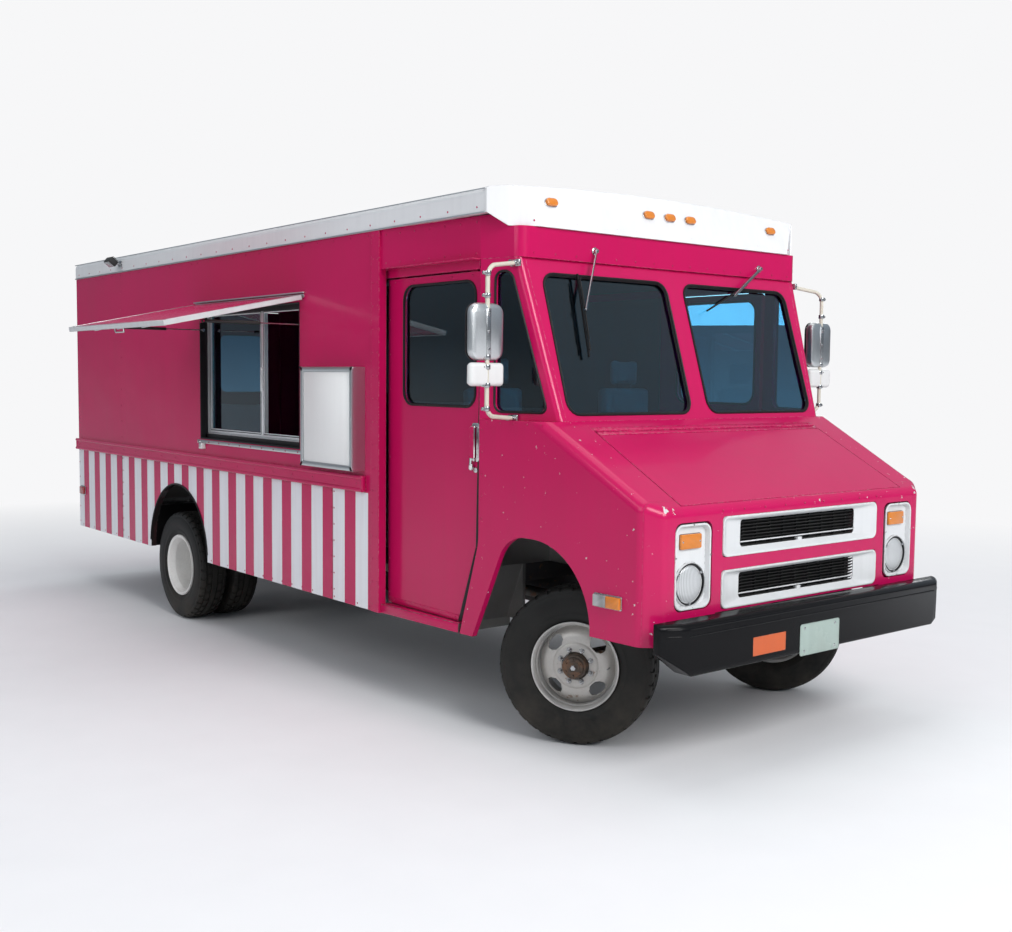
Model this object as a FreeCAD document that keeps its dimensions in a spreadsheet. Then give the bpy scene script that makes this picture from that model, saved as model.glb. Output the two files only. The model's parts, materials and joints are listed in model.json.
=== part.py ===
import FreeCAD, Part
import math
import os
import re
import Sketcher
from FreeCAD import Placement, Rotation, Vector

# Food truck on a step-van chassis, in millimetres. X points to the front, Y to the driver's side,
# Z up. Every sub-part is drawn about the truck's own centreline (y = 0) and then carried sideways by
# centreline_y, so that the origin lies on the ground under the middle of the whole outline, which
# the open serving flap makes wider on one side.

doc = FreeCAD.newDocument("food_truck")
sheet = doc.addObject("Spreadsheet::Sheet", "sizes")

# alias, value, what it is
SIZES = [
    ("overall_length", 7070, "rear step to front bumper face"),
    ("front_overhang", 910, "front bumper face to front axle"),
    ("wheelbase", 3988, "front axle to rear axle"),
    ("rear_step_depth", 150, "rear step, ahead of the rearmost point"),
    ("bumper_gap", 138, "nose face behind the bumper face"),
    ("body_half_width", 1170, "centreline to outer face of the body side"),
    ("skirt_bottom", 485, "ground to lower edge of the body"),
    ("wall_top", 2610, "ground to top of the side walls"),
    ("roof_band_top", 2735, "ground to the roof's side corner"),
    ("roof_crown", 2815, "ground to the roof's ridge point before rounding"),
    ("roof_crown_radius", 15000, "rounding of the roof across the truck"),
    ("roof_overhang", 5, "roof band proud of the body side"),
    ("wall", 40, "body wall thickness"),
    ("panel", 30, "cab and bonnet panel thickness"),
    ("floor_top", 880, "ground to floor surface"),
    ("floor_depth", 45, "floor thickness"),
    ("pillar_width", 80, "upright bar behind the cab door"),
    ("pillar_proud", 8, "upright bar proud of the body side"),
    ("door_width", 840, "cab door, front to back"),
    ("door_bottom", 538, "ground to lower edge of the cab door"),
    ("door_top", 2340, "ground to upper edge of the cab door"),
    ("door_thick", 35, "cab door thickness"),
    ("door_inset", 70, "body side's outer face to the cab door's"),
    ("door_lap", 20, "cab door behind the pillar when shut"),
    ("door_travel", 760, "how far the cab door slides back"),
    ("track_depth", 48, "height of the door track"),
    ("track_width", 65, "width of the door track"),
    ("header_bottom", 2396, "ground to lower edge of the panel over the windshields"),
    ("header_forward", 17, "header face ahead of the windshield plane"),
    ("belt", 1600, "ground to the foot of the windshields"),
    ("windshield_top_back", 251, "how far the windshield plane leans back, belt to header"),
    ("belt_back", 678, "foot of the windshield plane behind the nose face"),
    ("nose_drop", 368, "belt to the nose's top edge"),
    ("cab_taper", 0.055, "cab side narrowing towards the front"),
    ("quarter_taper", 0.25, "quarter panel narrowing towards the front"),
    ("nose_inset", 195, "body side's outer face to the flat nose's corner"),
    ("nose_corner_length", 72, "length of the rounded nose corner"),
    ("hood_inset", 322, "body side's outer face to the hood's edge"),
    ("hood_gap", 6, "gap round the hood"),
    ("hood_hinge_behind", 594, "hood hinge line behind the nose face"),
    ("fender_bottom", 627, "ground to the fender's lower edge ahead of the wheel"),
    ("front_arch_top", 1034, "ground to the top of the front wheel arch"),
    ("rear_arch_radius", 500, "rear wheel arch"),
    ("rear_arch_forward", 40, "rear arch centre ahead of the axle"),
    ("tyre_radius", 395, "tyre outside radius"),
    ("tyre_half_width", 104, "tyre half width at the sidewalls"),
    ("rim_radius", 212, "bead seat radius"),
    ("bead_clearance", 0.3, "rim inside the tyre's bead"),
    ("kingpin_inset", 420, "body side's outer face to the steering axis"),
    ("front_offset", 60, "steering axis to the front wheel's middle"),
    ("rear_wheel_inset", 125, "body side's outer face to the outer rear wheel's middle"),
    ("dual_spacing", 255, "inner to outer rear wheel, middle to middle"),
    ("rest_steer", 34, "left turn at which the front wheels stand, in degrees"),
    ("bearing_clearance", 0.05, "running clearance of a shaft in its hole"),
    ("hatch_rear", 2470, "hatch opening's rear edge ahead of the body's rear"),
    ("hatch_length", 1415, "hatch opening, front to back"),
    ("hatch_sill", 1360, "ground to the hatch opening's lower edge"),
    ("hatch_height", 890, "hatch opening's height"),
    ("flap_lap", 62.5, "flap past the hatch opening at each end"),
    ("flap_drop", 900, "flap from its hinge line to its free edge"),
    ("flap_thick", 28, "flap thickness"),
    ("flap_open", 78, "angle at which the flap stands open, in degrees"),
    ("flap_hinge_z", 2270, "ground to the flap's hinge line"),
    ("hinge_radius", 7, "hinge barrel radius"),
    ("hinge_stand_off", 8, "hinge line outside the face it serves"),
    ("strut_inset", 20, "strut pivot inside the wall's outer face"),
    ("strut_eye_drop", 626, "strut's eye below the hinge line with the flap shut"),
    ("strut_eye_inset", 22, "strut's eye inside the hinge line with the flap shut"),
    ("strut_tube_length", 360, "length of the strut's tube"),
    ("rear_jamb_inset", 410, "body side's outer face to the jamb of the rear doorway"),
    ("rear_door_bottom", 606, "ground to the rear doors' lower edge"),
    ("rear_door_top", 2394, "ground to the rear doors' upper edge"),
    ("shut_gap", 6, "gap round the rear doors"),
    ("bumper_inset", 90, "body side's outer face to the front bumper's end"),
    ("bumper_bottom", 520, "ground to the front bumper's lower edge"),
    ("bumper_top", 765, "ground to the front bumper's upper edge"),
    ("bumper_plate", 10, "bumper and rear step plate thickness"),
    ("hitch_hole_radius", 12.7, "hole for a tow ball in the rear step"),
    ("plate_screw_spacing", 177.8, "rear plate's screw holes, centre to centre"),
    ("plate_screw_radius", 3.2, "rear plate's screw holes"),
    ("rail_outer", 432, "centreline to the frame rail's web"),
    ("rail_width", 62, "frame rail's flange width"),
    ("rail_bottom", 540, "ground to the frame rail"),
    ("rail_height", 200, "frame rail's height"),
    ("rail_plate", 8, "frame rail's plate thickness"),
    ("axle_height", 395, "ground to the wheel centres"),
    ("mirror_proud", 220, "mirrors outside the body side's outer face"),
    ("glass", 6, "glass thickness"),
    ("seat_gap", 0.3, "clearance round glass, lamps and grilles in their openings"),
]

# places worked out from the sizes above
PLACES = {
    "front_x": "overall_length / 2",
    "rear_x": "-overall_length / 2",
    "body_rear_x": "rear_x + rear_step_depth",
    "nose_x": "front_x - bumper_gap",
    "front_axle_x": "front_x - front_overhang",
    "rear_axle_x": "front_axle_x - wheelbase",
    "belt_x": "nose_x - belt_back",
    "windshield_top_x": "belt_x - windshield_top_back",
    "header_x": "windshield_top_x + header_forward",
    "hood_hinge_x": "nose_x - hood_hinge_behind",
    "quarter_rear_x": "belt_x - 479",
    "door_front_x": "quarter_rear_x - 15",
    "door_rear_x": "door_front_x - door_width",
    "pillar_front_x": "door_rear_x + door_lap",
    "pillar_rear_x": "pillar_front_x - pillar_width",
    "hood_slope": "nose_drop / belt_back",
    "nose_top_z": "belt - nose_drop",
    "inner_wall_y": "body_half_width - wall",
    "floor_bottom": "floor_top - floor_depth",
    "cab_side_y": "body_half_width - 5",
    "door_outer": "body_half_width - door_inset",
    "nose_half_width": "body_half_width - nose_inset",
    "hood_half_width": "body_half_width - hood_inset",
    "kingpin_y": "body_half_width - kingpin_inset",
    "rear_outer_y": "body_half_width - rear_wheel_inset",
    "rear_inner_y": "rear_outer_y - dual_spacing",
    "rear_door_half_opening": "body_half_width - rear_jamb_inset",
    "bumper_half_width": "body_half_width - bumper_inset",
    "mirror_reach": "body_half_width + mirror_proud",
    "step_inner_y": "body_half_width - 390",
    "door_slot_y": "door_outer - door_thick - 10",
    "front_box_y": "body_half_width - 550",
    "seat_middle_y": "body_half_width - 650",
    "tool_y": "body_half_width + 130",
    "quarter_rear_y": "cab_side_y - cab_taper * (quarter_rear_x - pillar_front_x)",
    "belt_corner_y": "quarter_rear_y - quarter_taper * (belt_x - quarter_rear_x)",
    "header_corner_y": "quarter_rear_y - quarter_taper * (header_x - quarter_rear_x)",
    "nose_side_x": "nose_x - nose_corner_length",
    "nose_side_y": "cab_side_y - cab_taper * (nose_side_x - pillar_front_x)",
    "hatch_rear_x": "body_rear_x + hatch_rear",
    "hatch_front_x": "hatch_rear_x + hatch_length",
    "hatch_top": "hatch_sill + hatch_height",
    "flap_length": "hatch_length + 2 * flap_lap",
    "flap_middle_x": "hatch_rear_x + hatch_length / 2 + 2.5",
    "flap_hinge_y": "-(body_half_width + hinge_stand_off)",
    "strut_y": "-(body_half_width - strut_inset)",
    "strut_z": "flap_hinge_z - strut_eye_inset * sin(flap_open) - strut_eye_drop * cos(flap_open)",
    "strut_reach": "hinge_stand_off + strut_inset + strut_eye_drop * sin(flap_open)"
                   " - strut_eye_inset * cos(flap_open)",
    "strut_front_x": "hatch_front_x - 16",
    "strut_rear_x": "hatch_rear_x + 16",
    "track_outer": "door_outer + 15",
    "track_bottom": "header_bottom - track_depth",
    "rail_top": "rail_bottom + rail_height",
    "step_front_x": "door_front_x - 160",
    "engine_front_x": "front_axle_x + 395",
    "engine_rear_x": "front_axle_x - 205",
    "firewall_x": "belt_x - 79",
    "front_box_rear_x": "front_axle_x - 430",
    "front_box_front_x": "front_axle_x + 435",
    "dual_middle_y": "(rear_inner_y + rear_outer_y) / 2",
    "centreline_y": "(body_half_width + hinge_stand_off + flap_reach - mirror_reach) / 2",
    "flap_reach": "sin(flap_open) * flap_drop + cos(flap_open) * (flap_thick - 2)",
}

for row, (alias, size, note) in enumerate(SIZES, 1):
    sheet.set(f"A{row}", note)
    sheet.set(f"B{row}", str(size))
    sheet.setAlias(f"B{row}", alias)
doc.recompute()

aliases = {alias for alias, size, note in SIZES}
nodes = []


def bound(expression):
    # the same expression in the sheet's own names, with places written out
    def swap(match):
        word = match.group(0)
        if word in PLACES:
            return f"({bound(PLACES[word])})"
        return f"sizes.{word}" if word in aliases else word
    return re.sub(r"[A-Za-z_]\w*", swap, str(expression))


def value(expression):
    return float(sheet.evalExpression(bound(expression)))


def keep(item, name):
    item.Label = name
    nodes.append(item)
    return item


# ---- sketches and features -------------------------------------------------------------------

PLANE_ROLES = {"plan": "XY_Plane", "side": "XZ_Plane", "end": "YZ_Plane"}


def add_sketch(body, view, level, outlines):
    # plan outlines are (x, y), side outlines (x, z) and end outlines (y, z), each with an optional
    # corner radius; level is the sketch's place along the axis that is left
    plane = next(item for item in body.Origin.OriginFeatures if item.Role == PLANE_ROLES[view])
    sketch = body.newObject("Sketcher::SketchObject", f"{body.Name}_{view}")
    sketch.AttachmentSupport = [(plane, "")]
    sketch.MapMode = "FlatFace"
    sign = "-" if view == "side" else ""
    sketch.setExpression("AttachmentOffset.Base.z", bound(f"{sign}({level})"))
    for outline in outlines:
        if isinstance(outline, tuple):
            draw_circle(sketch, *outline)
        else:
            draw_outline(sketch, outline)
    return sketch


def set_place(sketch, geometry, point, across, up):
    for kind, expression in (("DistanceX", across), ("DistanceY", up)):
        index = sketch.addConstraint(
            Sketcher.Constraint(kind, -1, 1, geometry, point, value(expression)))
        sketch.setExpression(f"Constraints[{index}]", bound(expression))


def set_radius(sketch, geometry, radius):
    index = sketch.addConstraint(Sketcher.Constraint("Radius", geometry, value(radius)))
    sketch.setExpression(f"Constraints[{index}]", bound(radius))


def draw_circle(sketch, across, up, radius):
    centre = Vector(value(across), value(up), 0)
    circle = sketch.addGeometry(Part.Circle(centre, Vector(0, 0, 1), value(radius)))
    set_place(sketch, circle, 3, across, up)
    set_radius(sketch, circle, radius)


def draw_outline(sketch, corners):
    count = len(corners)
    points = [Vector(value(corner[0]), value(corner[1]), 0) for corner in corners]
    along = [(points[(i + 1) % count] - points[i]).normalize() for i in range(count)]
    enter, leave = list(points), list(points)
    for i, corner in enumerate(corners):
        if len(corner) > 2:
            half_turn = along[i - 1].getAngle(along[i]) / 2
            trim = value(corner[2]) * math.tan(half_turn)
            enter[i] = points[i] - along[i - 1] * trim
            leave[i] = points[i] + along[i] * trim
    lines = [sketch.addGeometry(Part.LineSegment(leave[i], enter[(i + 1) % count]))
             for i in range(count)]
    for i, corner in enumerate(corners):
        before, after = lines[i - 1], lines[i]
        if len(corner) == 2:
            sketch.addConstraint(Sketcher.Constraint("Coincident", before, 2, after, 1))
            set_place(sketch, after, 1, corner[0], corner[1])
            continue
        left_turn = along[i - 1].cross(along[i]).z > 0
        radius = value(corner[2])
        inward = Vector(0, 0, 1).cross(along[i - 1]) * (radius if left_turn else -radius)
        centre = enter[i] + inward
        first, last = (enter[i], leave[i]) if left_turn else (leave[i], enter[i])
        angles = [math.atan2(point.y - centre.y, point.x - centre.x) for point in (first, last)]
        arc = sketch.addGeometry(
            Part.ArcOfCircle(Part.Circle(centre, Vector(0, 0, 1), radius), *angles))
        enter_point, leave_point = (1, 2) if left_turn else (2, 1)
        sharp = sketch.addGeometry(Part.Point(points[i]), True)
        set_place(sketch, sharp, 1, corner[0], corner[1])
        sketch.addConstraint(Sketcher.Constraint("PointOnObject", sharp, 1, before))
        sketch.addConstraint(Sketcher.Constraint("PointOnObject", sharp, 1, after))
        sketch.addConstraint(Sketcher.Constraint("Tangent", before, 2, arc, enter_point))
        sketch.addConstraint(Sketcher.Constraint("Tangent", arc, leave_point, after, 1))
        set_radius(sketch, arc, corner[2])


def new_body(name):
    return doc.addObject("PartDesign::Body", name)


def pad(body, view, level, depth, *outlines):
    # material from level to level + depth along +X, +Y or +Z
    feature = body.newObject("PartDesign::Pad", f"{body.Name}_pad")
    feature.Profile = add_sketch(body, view, level, outlines)
    feature.setExpression("Length", bound(depth))
    feature.Reversed = view == "side"
    return body


def cut_through(body, view, *outlines):
    feature = body.newObject("PartDesign::Pocket", f"{body.Name}_opening")
    feature.Profile = add_sketch(body, view, "0", outlines)
    feature.Type = "ThroughAll"
    feature.SideType = "Symmetric"
    return body


def cut_between(body, view, level, depth, *outlines):
    # a pocket from level to level + depth along +X, +Y or +Z
    feature = body.newObject("PartDesign::Pocket", f"{body.Name}_pocket")
    feature.Profile = add_sketch(body, view, level, outlines)
    feature.setExpression("Length", bound(depth))
    feature.Reversed = view != "side"
    return body


def turn(body, view, *outlines):
    # revolve an outline about the sketch's vertical axis through the body's own origin
    sketch = add_sketch(body, view, "0", outlines)
    feature = body.newObject("PartDesign::Revolution", f"{body.Name}_turned")
    feature.Profile = sketch
    feature.ReferenceAxis = (sketch, ["V_Axis"])
    feature.Angle = 360
    return body


def round_edges(body, radius, chosen):
    # fillet every edge of the body so far whose two ends satisfy the test
    doc.recompute()
    base = body.Tip
    names = [f"Edge{number}" for number, edge in enumerate(base.Shape.Edges, 1)
             if len(edge.Vertexes) == 2 and chosen(*[vertex.Point for vertex in edge.Vertexes])]
    feature = body.newObject("PartDesign::Fillet", f"{body.Name}_rounding")
    feature.Base = (base, names)
    feature.setExpression("Radius", bound(radius))
    return body


def rectangle(low_u, high_u, low_v, high_v, radius=None):
    corners = [(low_u, low_v), (high_u, low_v), (high_u, high_v), (low_u, high_v)]
    return [corner + (radius,) for corner in corners] if radius else corners


def mirrored(outline):
    # the same outline on the other side of the first coordinate's zero
    return [(f"-({corner[0]})",) + tuple(corner[1:]) for corner in reversed(outline)]


def swap_side(outline):
    # the same outline on the other side of the second coordinate's zero
    return [(corner[0], f"-({corner[1]})") + tuple(corner[2:]) for corner in reversed(outline)]


def box(name, low_x, high_x, low_y, high_y, low_z, high_z):
    item = doc.addObject("Part::Box", name)
    spans = ((low_x, high_x, "Length", "x"), (low_y, high_y, "Width", "y"),
             (low_z, high_z, "Height", "z"))
    for low, high, size, axis in spans:
        item.setExpression(size, bound(f"({high}) - ({low})"))
        item.setExpression(f"Placement.Base.{axis}", bound(low))
    return item


AXIS_TURNS = {"x": Rotation(Vector(0, 1, 0), 90), "y": Rotation(Vector(1, 0, 0), -90),
              "z": Rotation()}


def cylinder(name, axis, radius, length, at_x, at_y, at_z):
    # from its base point along +X, +Y or +Z
    item = doc.addObject("Part::Cylinder", name)
    item.setExpression("Radius", bound(radius))
    item.setExpression("Height", bound(length))
    item.Placement = Placement(Vector(), AXIS_TURNS[axis])
    for letter, expression in zip("xyz", (at_x, at_y, at_z)):
        item.setExpression(f"Placement.Base.{letter}", bound(expression))
    return item


def join(name, items):
    item = doc.addObject("Part::MultiFuse", name)
    item.Shapes = items
    item.Refine = True
    return item


def remove(name, base, tool):
    item = doc.addObject("Part::Cut", name)
    item.Base = base
    item.Tool = tool
    return item


def overlap(name, base, tool):
    item = doc.addObject("Part::Common", name)
    item.Base = base
    item.Tool = tool
    return item


def group(name, items):
    item = doc.addObject("Part::Compound", name)
    item.Links = items
    return item


def rods(name, runs):
    # round bars joined end to end; each run is (first point, last point, radius)
    shapes = []
    for first, last, radius in runs:
        start, end = (Vector(*[value(number) for number in point]) for point in (first, last))
        size = value(radius)
        shapes.append(Part.makeCylinder(size, (end - start).Length, start, end - start))
        shapes.append(Part.makeSphere(size, end))
    item = doc.addObject("Part::Feature", name)
    item.Shape = shapes[0].multiFuse(shapes[1:]).removeSplitter()
    return item


# ---- chassis ---------------------------------------------------------------------------------

def chassis_frame():
    inner = "rail_outer - rail_width"
    web = "rail_outer - rail_plate"
    channel = [(inner, "rail_bottom"), ("rail_outer", "rail_bottom"), ("rail_outer", "rail_top"),
               (inner, "rail_top"), (inner, "rail_top - rail_plate"), (web, "rail_top - rail_plate"),
               (web, "rail_bottom + rail_plate"), (inner, "rail_bottom + rail_plate")]
    pieces = []
    for side, outline in (("left", channel), ("right", mirrored(channel))):
        pieces.append(pad(new_body(f"rail_{side}"), "end", "body_rear_x + wall + 5",
                          "nose_x - 2 - body_rear_x - wall", outline))
    # crossmember centre, half length, lower face, upper face
    crossmembers = [("body_rear_x + 85", web, 620, 700), ("body_rear_x + 1300", web, 620, 700),
                    ("body_rear_x + 2585", web, 620, 700), ("body_rear_x + 3585", web, 620, 700),
                    ("body_rear_x + 4685", web, 620, 700), ("nose_x - 67", web, 620, 700),
                    ("front_axle_x - 585", "rail_outer", "rail_bottom - 60", "rail_bottom"),
                    ("front_axle_x + 75", "rail_outer", "rail_bottom - 60", "rail_bottom")]
    for number, (middle, half, low, high) in enumerate(crossmembers):
        pieces.append(box(f"crossmember_{number}", f"{middle} - 30", f"{middle} + 30",
                          f"-({half})", half, low, high))
    # floor bearer centre, clear half width about the centreline, half length
    bearers = [("body_rear_x + 75", 0, "inner_wall_y"), ("body_rear_x + 782", 0, "inner_wall_y"),
               ("rear_axle_x - 590", 0, "inner_wall_y"), ("rear_axle_x + 600", 0, "inner_wall_y"),
               ("rear_axle_x + 1260", 0, "inner_wall_y"), ("rear_axle_x + 1960", 0, "door_slot_y"),
               ("pillar_rear_x - 30", 0, "door_slot_y"), ("pillar_front_x + 345", 0, "step_inner_y"),
               ("step_front_x + 120", 0, "step_inner_y"), ("belt_x - 119", 265, "front_box_y - 20")]
    for number, (middle, clear, half) in enumerate(bearers):
        spans = [(clear, half), (f"-({half})", -clear)] if clear else [(f"-({half})", half)]
        for part, (low, high) in enumerate(spans):
            pieces.append(box(f"bearer_{number}_{part}", f"{middle} - 25", f"{middle} + 25",
                              low, high, "rail_top", "floor_bottom"))
    for side, low, high in (("left", "rail_outer - 52", "rail_outer"),
                            ("right", "-rail_outer", "52 - rail_outer")):
        pieces.append(box(f"bumper_horn_{side}", "nose_x + 3", "front_x - bumper_plate", low, high,
                          "rail_bottom + 40", "rail_top"))
    keep(group("chassis_frame", pieces), "chassis_frame")


def fender_inner_y(x):
    return f"cab_side_y - cab_taper * ({x} - pillar_front_x) - panel"


def truck_floor():
    cargo = box("cargo_floor", "body_rear_x + wall", "pillar_rear_x + 40", "-inner_wall_y",
                "inner_wall_y", "floor_bottom", "floor_top")
    cab = pad(new_body("cab_floor"), "plan", "floor_bottom", "floor_depth",
              [("pillar_rear_x + 40", "-(step_inner_y + 20)"),
               ("front_box_rear_x + 20", "-(step_inner_y + 20)"),
               ("front_box_rear_x + 20", "-front_box_y"), ("belt_x - 29", "-front_box_y"),
               ("belt_x - 29", "front_box_y"), ("front_box_rear_x + 20", "front_box_y"),
               ("front_box_rear_x + 20", "step_inner_y + 20"),
               ("pillar_rear_x + 40", "step_inner_y + 20")])
    solid = [cargo, cab]
    holes = [box("engine_hole", "engine_rear_x - 30", "belt_x", -265, 265,
                 "floor_bottom - 10", "floor_top + 10")]
    for side, sign in (("left", 1), ("right", -1)):
        def across(inner, outer):
            # low and high y of a span that is given from the centreline outwards
            return (inner, outer) if sign > 0 else (f"-({outer})", f"-({inner})")
        # room for the cab door as it slides back beside the floor
        holes.append(box(f"door_slot_{side}", "door_rear_x - door_travel - 10", "pillar_rear_x + 50",
                         *across("door_slot_y", "inner_wall_y + 10"), "floor_bottom - 10",
                         "floor_top + 10"))
        rear = across("body_half_width - 480", "inner_wall_y")
        solid.append(box(f"rear_box_{side}", "rear_axle_x - 560", "rear_axle_x + 560", *rear,
                         "floor_bottom", 1060))
        holes.append(box(f"rear_box_room_{side}", "rear_axle_x - 540", "rear_axle_x + 540",
                         *across("body_half_width - 460", "inner_wall_y + 10"), "floor_bottom - 10", 1040))
        corner_x = "quarter_rear_x + 10"
        edge_y = "body_half_width - 115"
        lining = [("front_box_rear_x", "front_box_y - 20"), ("front_box_front_x", "front_box_y - 20"),
                  ("front_box_front_x", fender_inner_y("front_box_front_x")),
                  (corner_x, fender_inner_y(corner_x)), (corner_x, edge_y),
                  ("front_box_rear_x", edge_y)]
        solid.append(pad(new_body(f"front_box_{side}"), "plan", "floor_bottom", "1070 - floor_bottom",
                         lining if sign > 0 else swap_side(lining)))
        holes.append(box(f"front_box_room_{side}", "front_box_rear_x + 20", "front_box_front_x - 20",
                         *across("front_box_y", "body_half_width - 50"), "floor_bottom - 10", 1050))
        tread = [("pillar_front_x", f"{sign} * step_inner_y"),
                 ("step_front_x + 20", f"{sign} * step_inner_y"),
                 ("step_front_x + 20", f"{sign} * (body_half_width - 45)"),
                 ("pillar_front_x", f"{sign} * (body_half_width - 10)")]
        solid.append(pad(new_body(f"step_tread_{side}"), "plan", "skirt_bottom", 48, tread))
        solid.append(box(f"step_riser_{side}", "pillar_front_x", "step_front_x + 145",
                         *across("step_inner_y", "step_inner_y + 20"), "skirt_bottom + 48",
                         "floor_bottom"))
        slope = [("step_front_x", "skirt_bottom + 48"), ("step_front_x + 20", "skirt_bottom + 48"),
                 ("step_front_x + 145", "floor_bottom"), ("step_front_x + 125", "floor_bottom")]
        low, high = across("step_inner_y", "body_half_width - 120")
        solid.append(pad(new_body(f"step_front_{side}"), "side", low, f"{high} - ({low})", slope))
        solid.append(box(f"step_back_{side}", "pillar_front_x", "pillar_front_x + 15",
                         *across("step_inner_y", "body_half_width - 120"), "skirt_bottom + 48",
                         "floor_top"))
    keep(remove("floor", join("floor_solid", solid), join("floor_openings", holes)), "floor")


# ---- body ------------------------------------------------------------------------------------

def body_side(side, sign):
    outer, inner = "body_half_width", "inner_wall_y"
    wall_level = inner if sign > 0 else f"-({outer})"
    body = pad(new_body(f"side_wall_{side}"), "side", wall_level, "wall",
               rectangle("body_rear_x", "pillar_front_x", "skirt_bottom", "wall_top"))
    pillar_level = outer if sign > 0 else f"-({outer} + pillar_proud)"
    pad(body, "side", pillar_level, "pillar_proud",
        rectangle("pillar_rear_x", "pillar_front_x", "skirt_bottom", "wall_top"))
    rail_end = [("body_half_width", 1152), ("body_half_width + 24", 1160, 14),
                ("body_half_width + 24", 1239, 14), ("body_half_width", 1247)]
    pad(body, "end", "body_rear_x", "pillar_rear_x - 65 - body_rear_x",
        rail_end if sign > 0 else mirrored(rail_end))
    cut_through(body, "side", ("rear_axle_x + rear_arch_forward", 500, "rear_arch_radius"))
    if sign < 0:
        cut_through(body, "side", rectangle("hatch_rear_x", "hatch_front_x", "hatch_sill", "hatch_top"))
        for level in ("hatch_rear_x", "hatch_front_x - 7"):
            pad(body, "end", level, 7, ("strut_y", "strut_z", 8))
        hinge_leaf = box("flap_hinge_leaf", "flap_middle_x - flap_length / 2",
                         "flap_middle_x + flap_length / 2", "-(body_half_width + 3)",
                         "-body_half_width", "flap_hinge_z + 9", "flap_hinge_z + 30")
        barrels = hinge_barrels("flap_hinge", FLAP_KNUCKLES, 1)
        for number, centre in enumerate(FLAP_KNUCKLES):
            for part, (start, length) in enumerate(((centre - 100.3, 60), (centre + 40.3, 60))):
                low = f"flap_middle_x + {start}"
                barrels.append(box(f"flap_hinge_lug_{number}_{part}", low, f"{low} + {length}",
                                   "flap_hinge_y", "-body_half_width", "flap_hinge_z",
                                   "flap_hinge_z + 12"))
        keep(join(f"body_side_{side}", [body, hinge_leaf] + barrels), f"body_side_{side}")
    else:
        keep(body, f"body_side_{side}")


# centre of each moving hinge knuckle from the flap's middle
FLAP_KNUCKLES = [-600, -200, 200, 600]


def hinge_barrels(name, centres, fixed):
    # flap hinge knuckles along X: moving ones on the centres, fixed ones on both sides of each
    pieces = []
    for number, centre in enumerate(centres):
        spans = [(centre - 100.3, 60), (centre + 40.3, 60)] if fixed else [(centre - 40, 80)]
        for part, (start, length) in enumerate(spans):
            middle = "flap_middle_x + " if fixed else ""
            place = ("flap_hinge_y", "flap_hinge_z") if fixed else ("0", "0")
            pieces.append(cylinder(f"{name}_knuckle_{number}_{part}", "x", "hinge_radius", length,
                                   f"{middle}({start})", *place))
    return pieces


def rear_frame():
    jamb, low, high = "rear_door_half_opening", "rear_door_bottom - shut_gap", "rear_door_top + shut_gap"
    plate = pad(new_body("rear_plate"), "end", "body_rear_x", "wall",
                rectangle("-inner_wall_y", "inner_wall_y", "skirt_bottom", "wall_top"),
                rectangle(f"-{jamb}", jamb, low, high))
    pieces = [plate]
    for side, sign in (("left", 1), ("right", -1)):
        for number, height in enumerate(REAR_HINGES):
            pieces += door_knuckles(f"rear_frame_{side}_{number}", sign, height, 1)
    keep(join("rear_frame", pieces), "rear_frame")


# heights of the rear doors' hinges
REAR_HINGES = [900, 1500, 2100]


def door_knuckles(name, sign, height, fixed):
    # vertical hinge at a rear door's outer edge: a leaf on the rear face and its barrels
    axis_x = "body_rear_x - hinge_stand_off"
    axis_y = f"{sign} * rear_door_half_opening"
    spans = [(height - 80.3, 50), (height + 30.3, 50)] if fixed else [(height - 30, 60)]
    reach = 36 if fixed else -36
    low_y, high_y = sorted((0, sign * reach))
    pieces = []
    for number, (start, length) in enumerate(spans):
        pieces.append(cylinder(f"{name}_barrel_{number}", "z", "hinge_radius", length,
                               axis_x, axis_y, start))
        pieces.append(box(f"{name}_leaf_{number}", "body_rear_x - 3", "body_rear_x",
                          f"{axis_y} + ({low_y})", f"{axis_y} + ({high_y})", start, start + length))
    return pieces


def rear_door(side, sign):
    edge, meeting = "rear_door_half_opening - shut_gap", 3
    span = (meeting, edge) if sign > 0 else (f"-({edge})", -meeting)
    window = (150, "rear_door_half_opening - 156") if sign > 0 else ("156 - rear_door_half_opening", -150)
    plate = pad(new_body(f"rear_door_{side}_plate"), "end", "body_rear_x", 35,
                rectangle(*span, "rear_door_bottom", "rear_door_top"),
                rectangle(*window, 1640, 2180, 60))
    pieces = [plate]
    for number, height in enumerate(REAR_HINGES):
        pieces += door_knuckles(f"rear_door_{side}_{number}", sign, height, 0)
    keep(join(f"rear_door_{side}", pieces), f"rear_door_{side}")


def rear_door_glass(side, sign):
    gap = "seat_gap"
    window = [f"150 + {gap}", f"rear_door_half_opening - 156 - {gap}"]
    span = window if sign > 0 else [f"-({window[1]})", f"-({window[0]})"]
    name = f"rear_door_glass_{side}"
    keep(pad(new_body(name), "end", "body_rear_x + 14", "glass",
             rectangle(*span, f"1640 + {gap}", f"2180 - {gap}", f"60 - {gap}")), name)


def roof_outline(inset):
    # across the truck: upright band, rounded corner, low crown
    edge = f"body_half_width + roof_overhang - {inset}"
    corner, crown = f"roof_band_top - {inset}", f"roof_crown - {inset}"
    small = f"45 - {inset} / 2"
    return [(f"-({edge})", "wall_top"), (f"-({edge})", corner, small),
            (0, crown, f"roof_crown_radius - {inset}"), (edge, corner, small), (edge, "wall_top")]


def roof():
    outer = roof_outline(0)
    inner = roof_outline(40)
    length = "windshield_top_x - 131 - body_rear_x"
    body = pad(new_body("roof"), "end", "body_rear_x", length, outer + inner[::-1])
    pad(body, "end", "body_rear_x", "wall", outer)
    keep(body, "roof")


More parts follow.
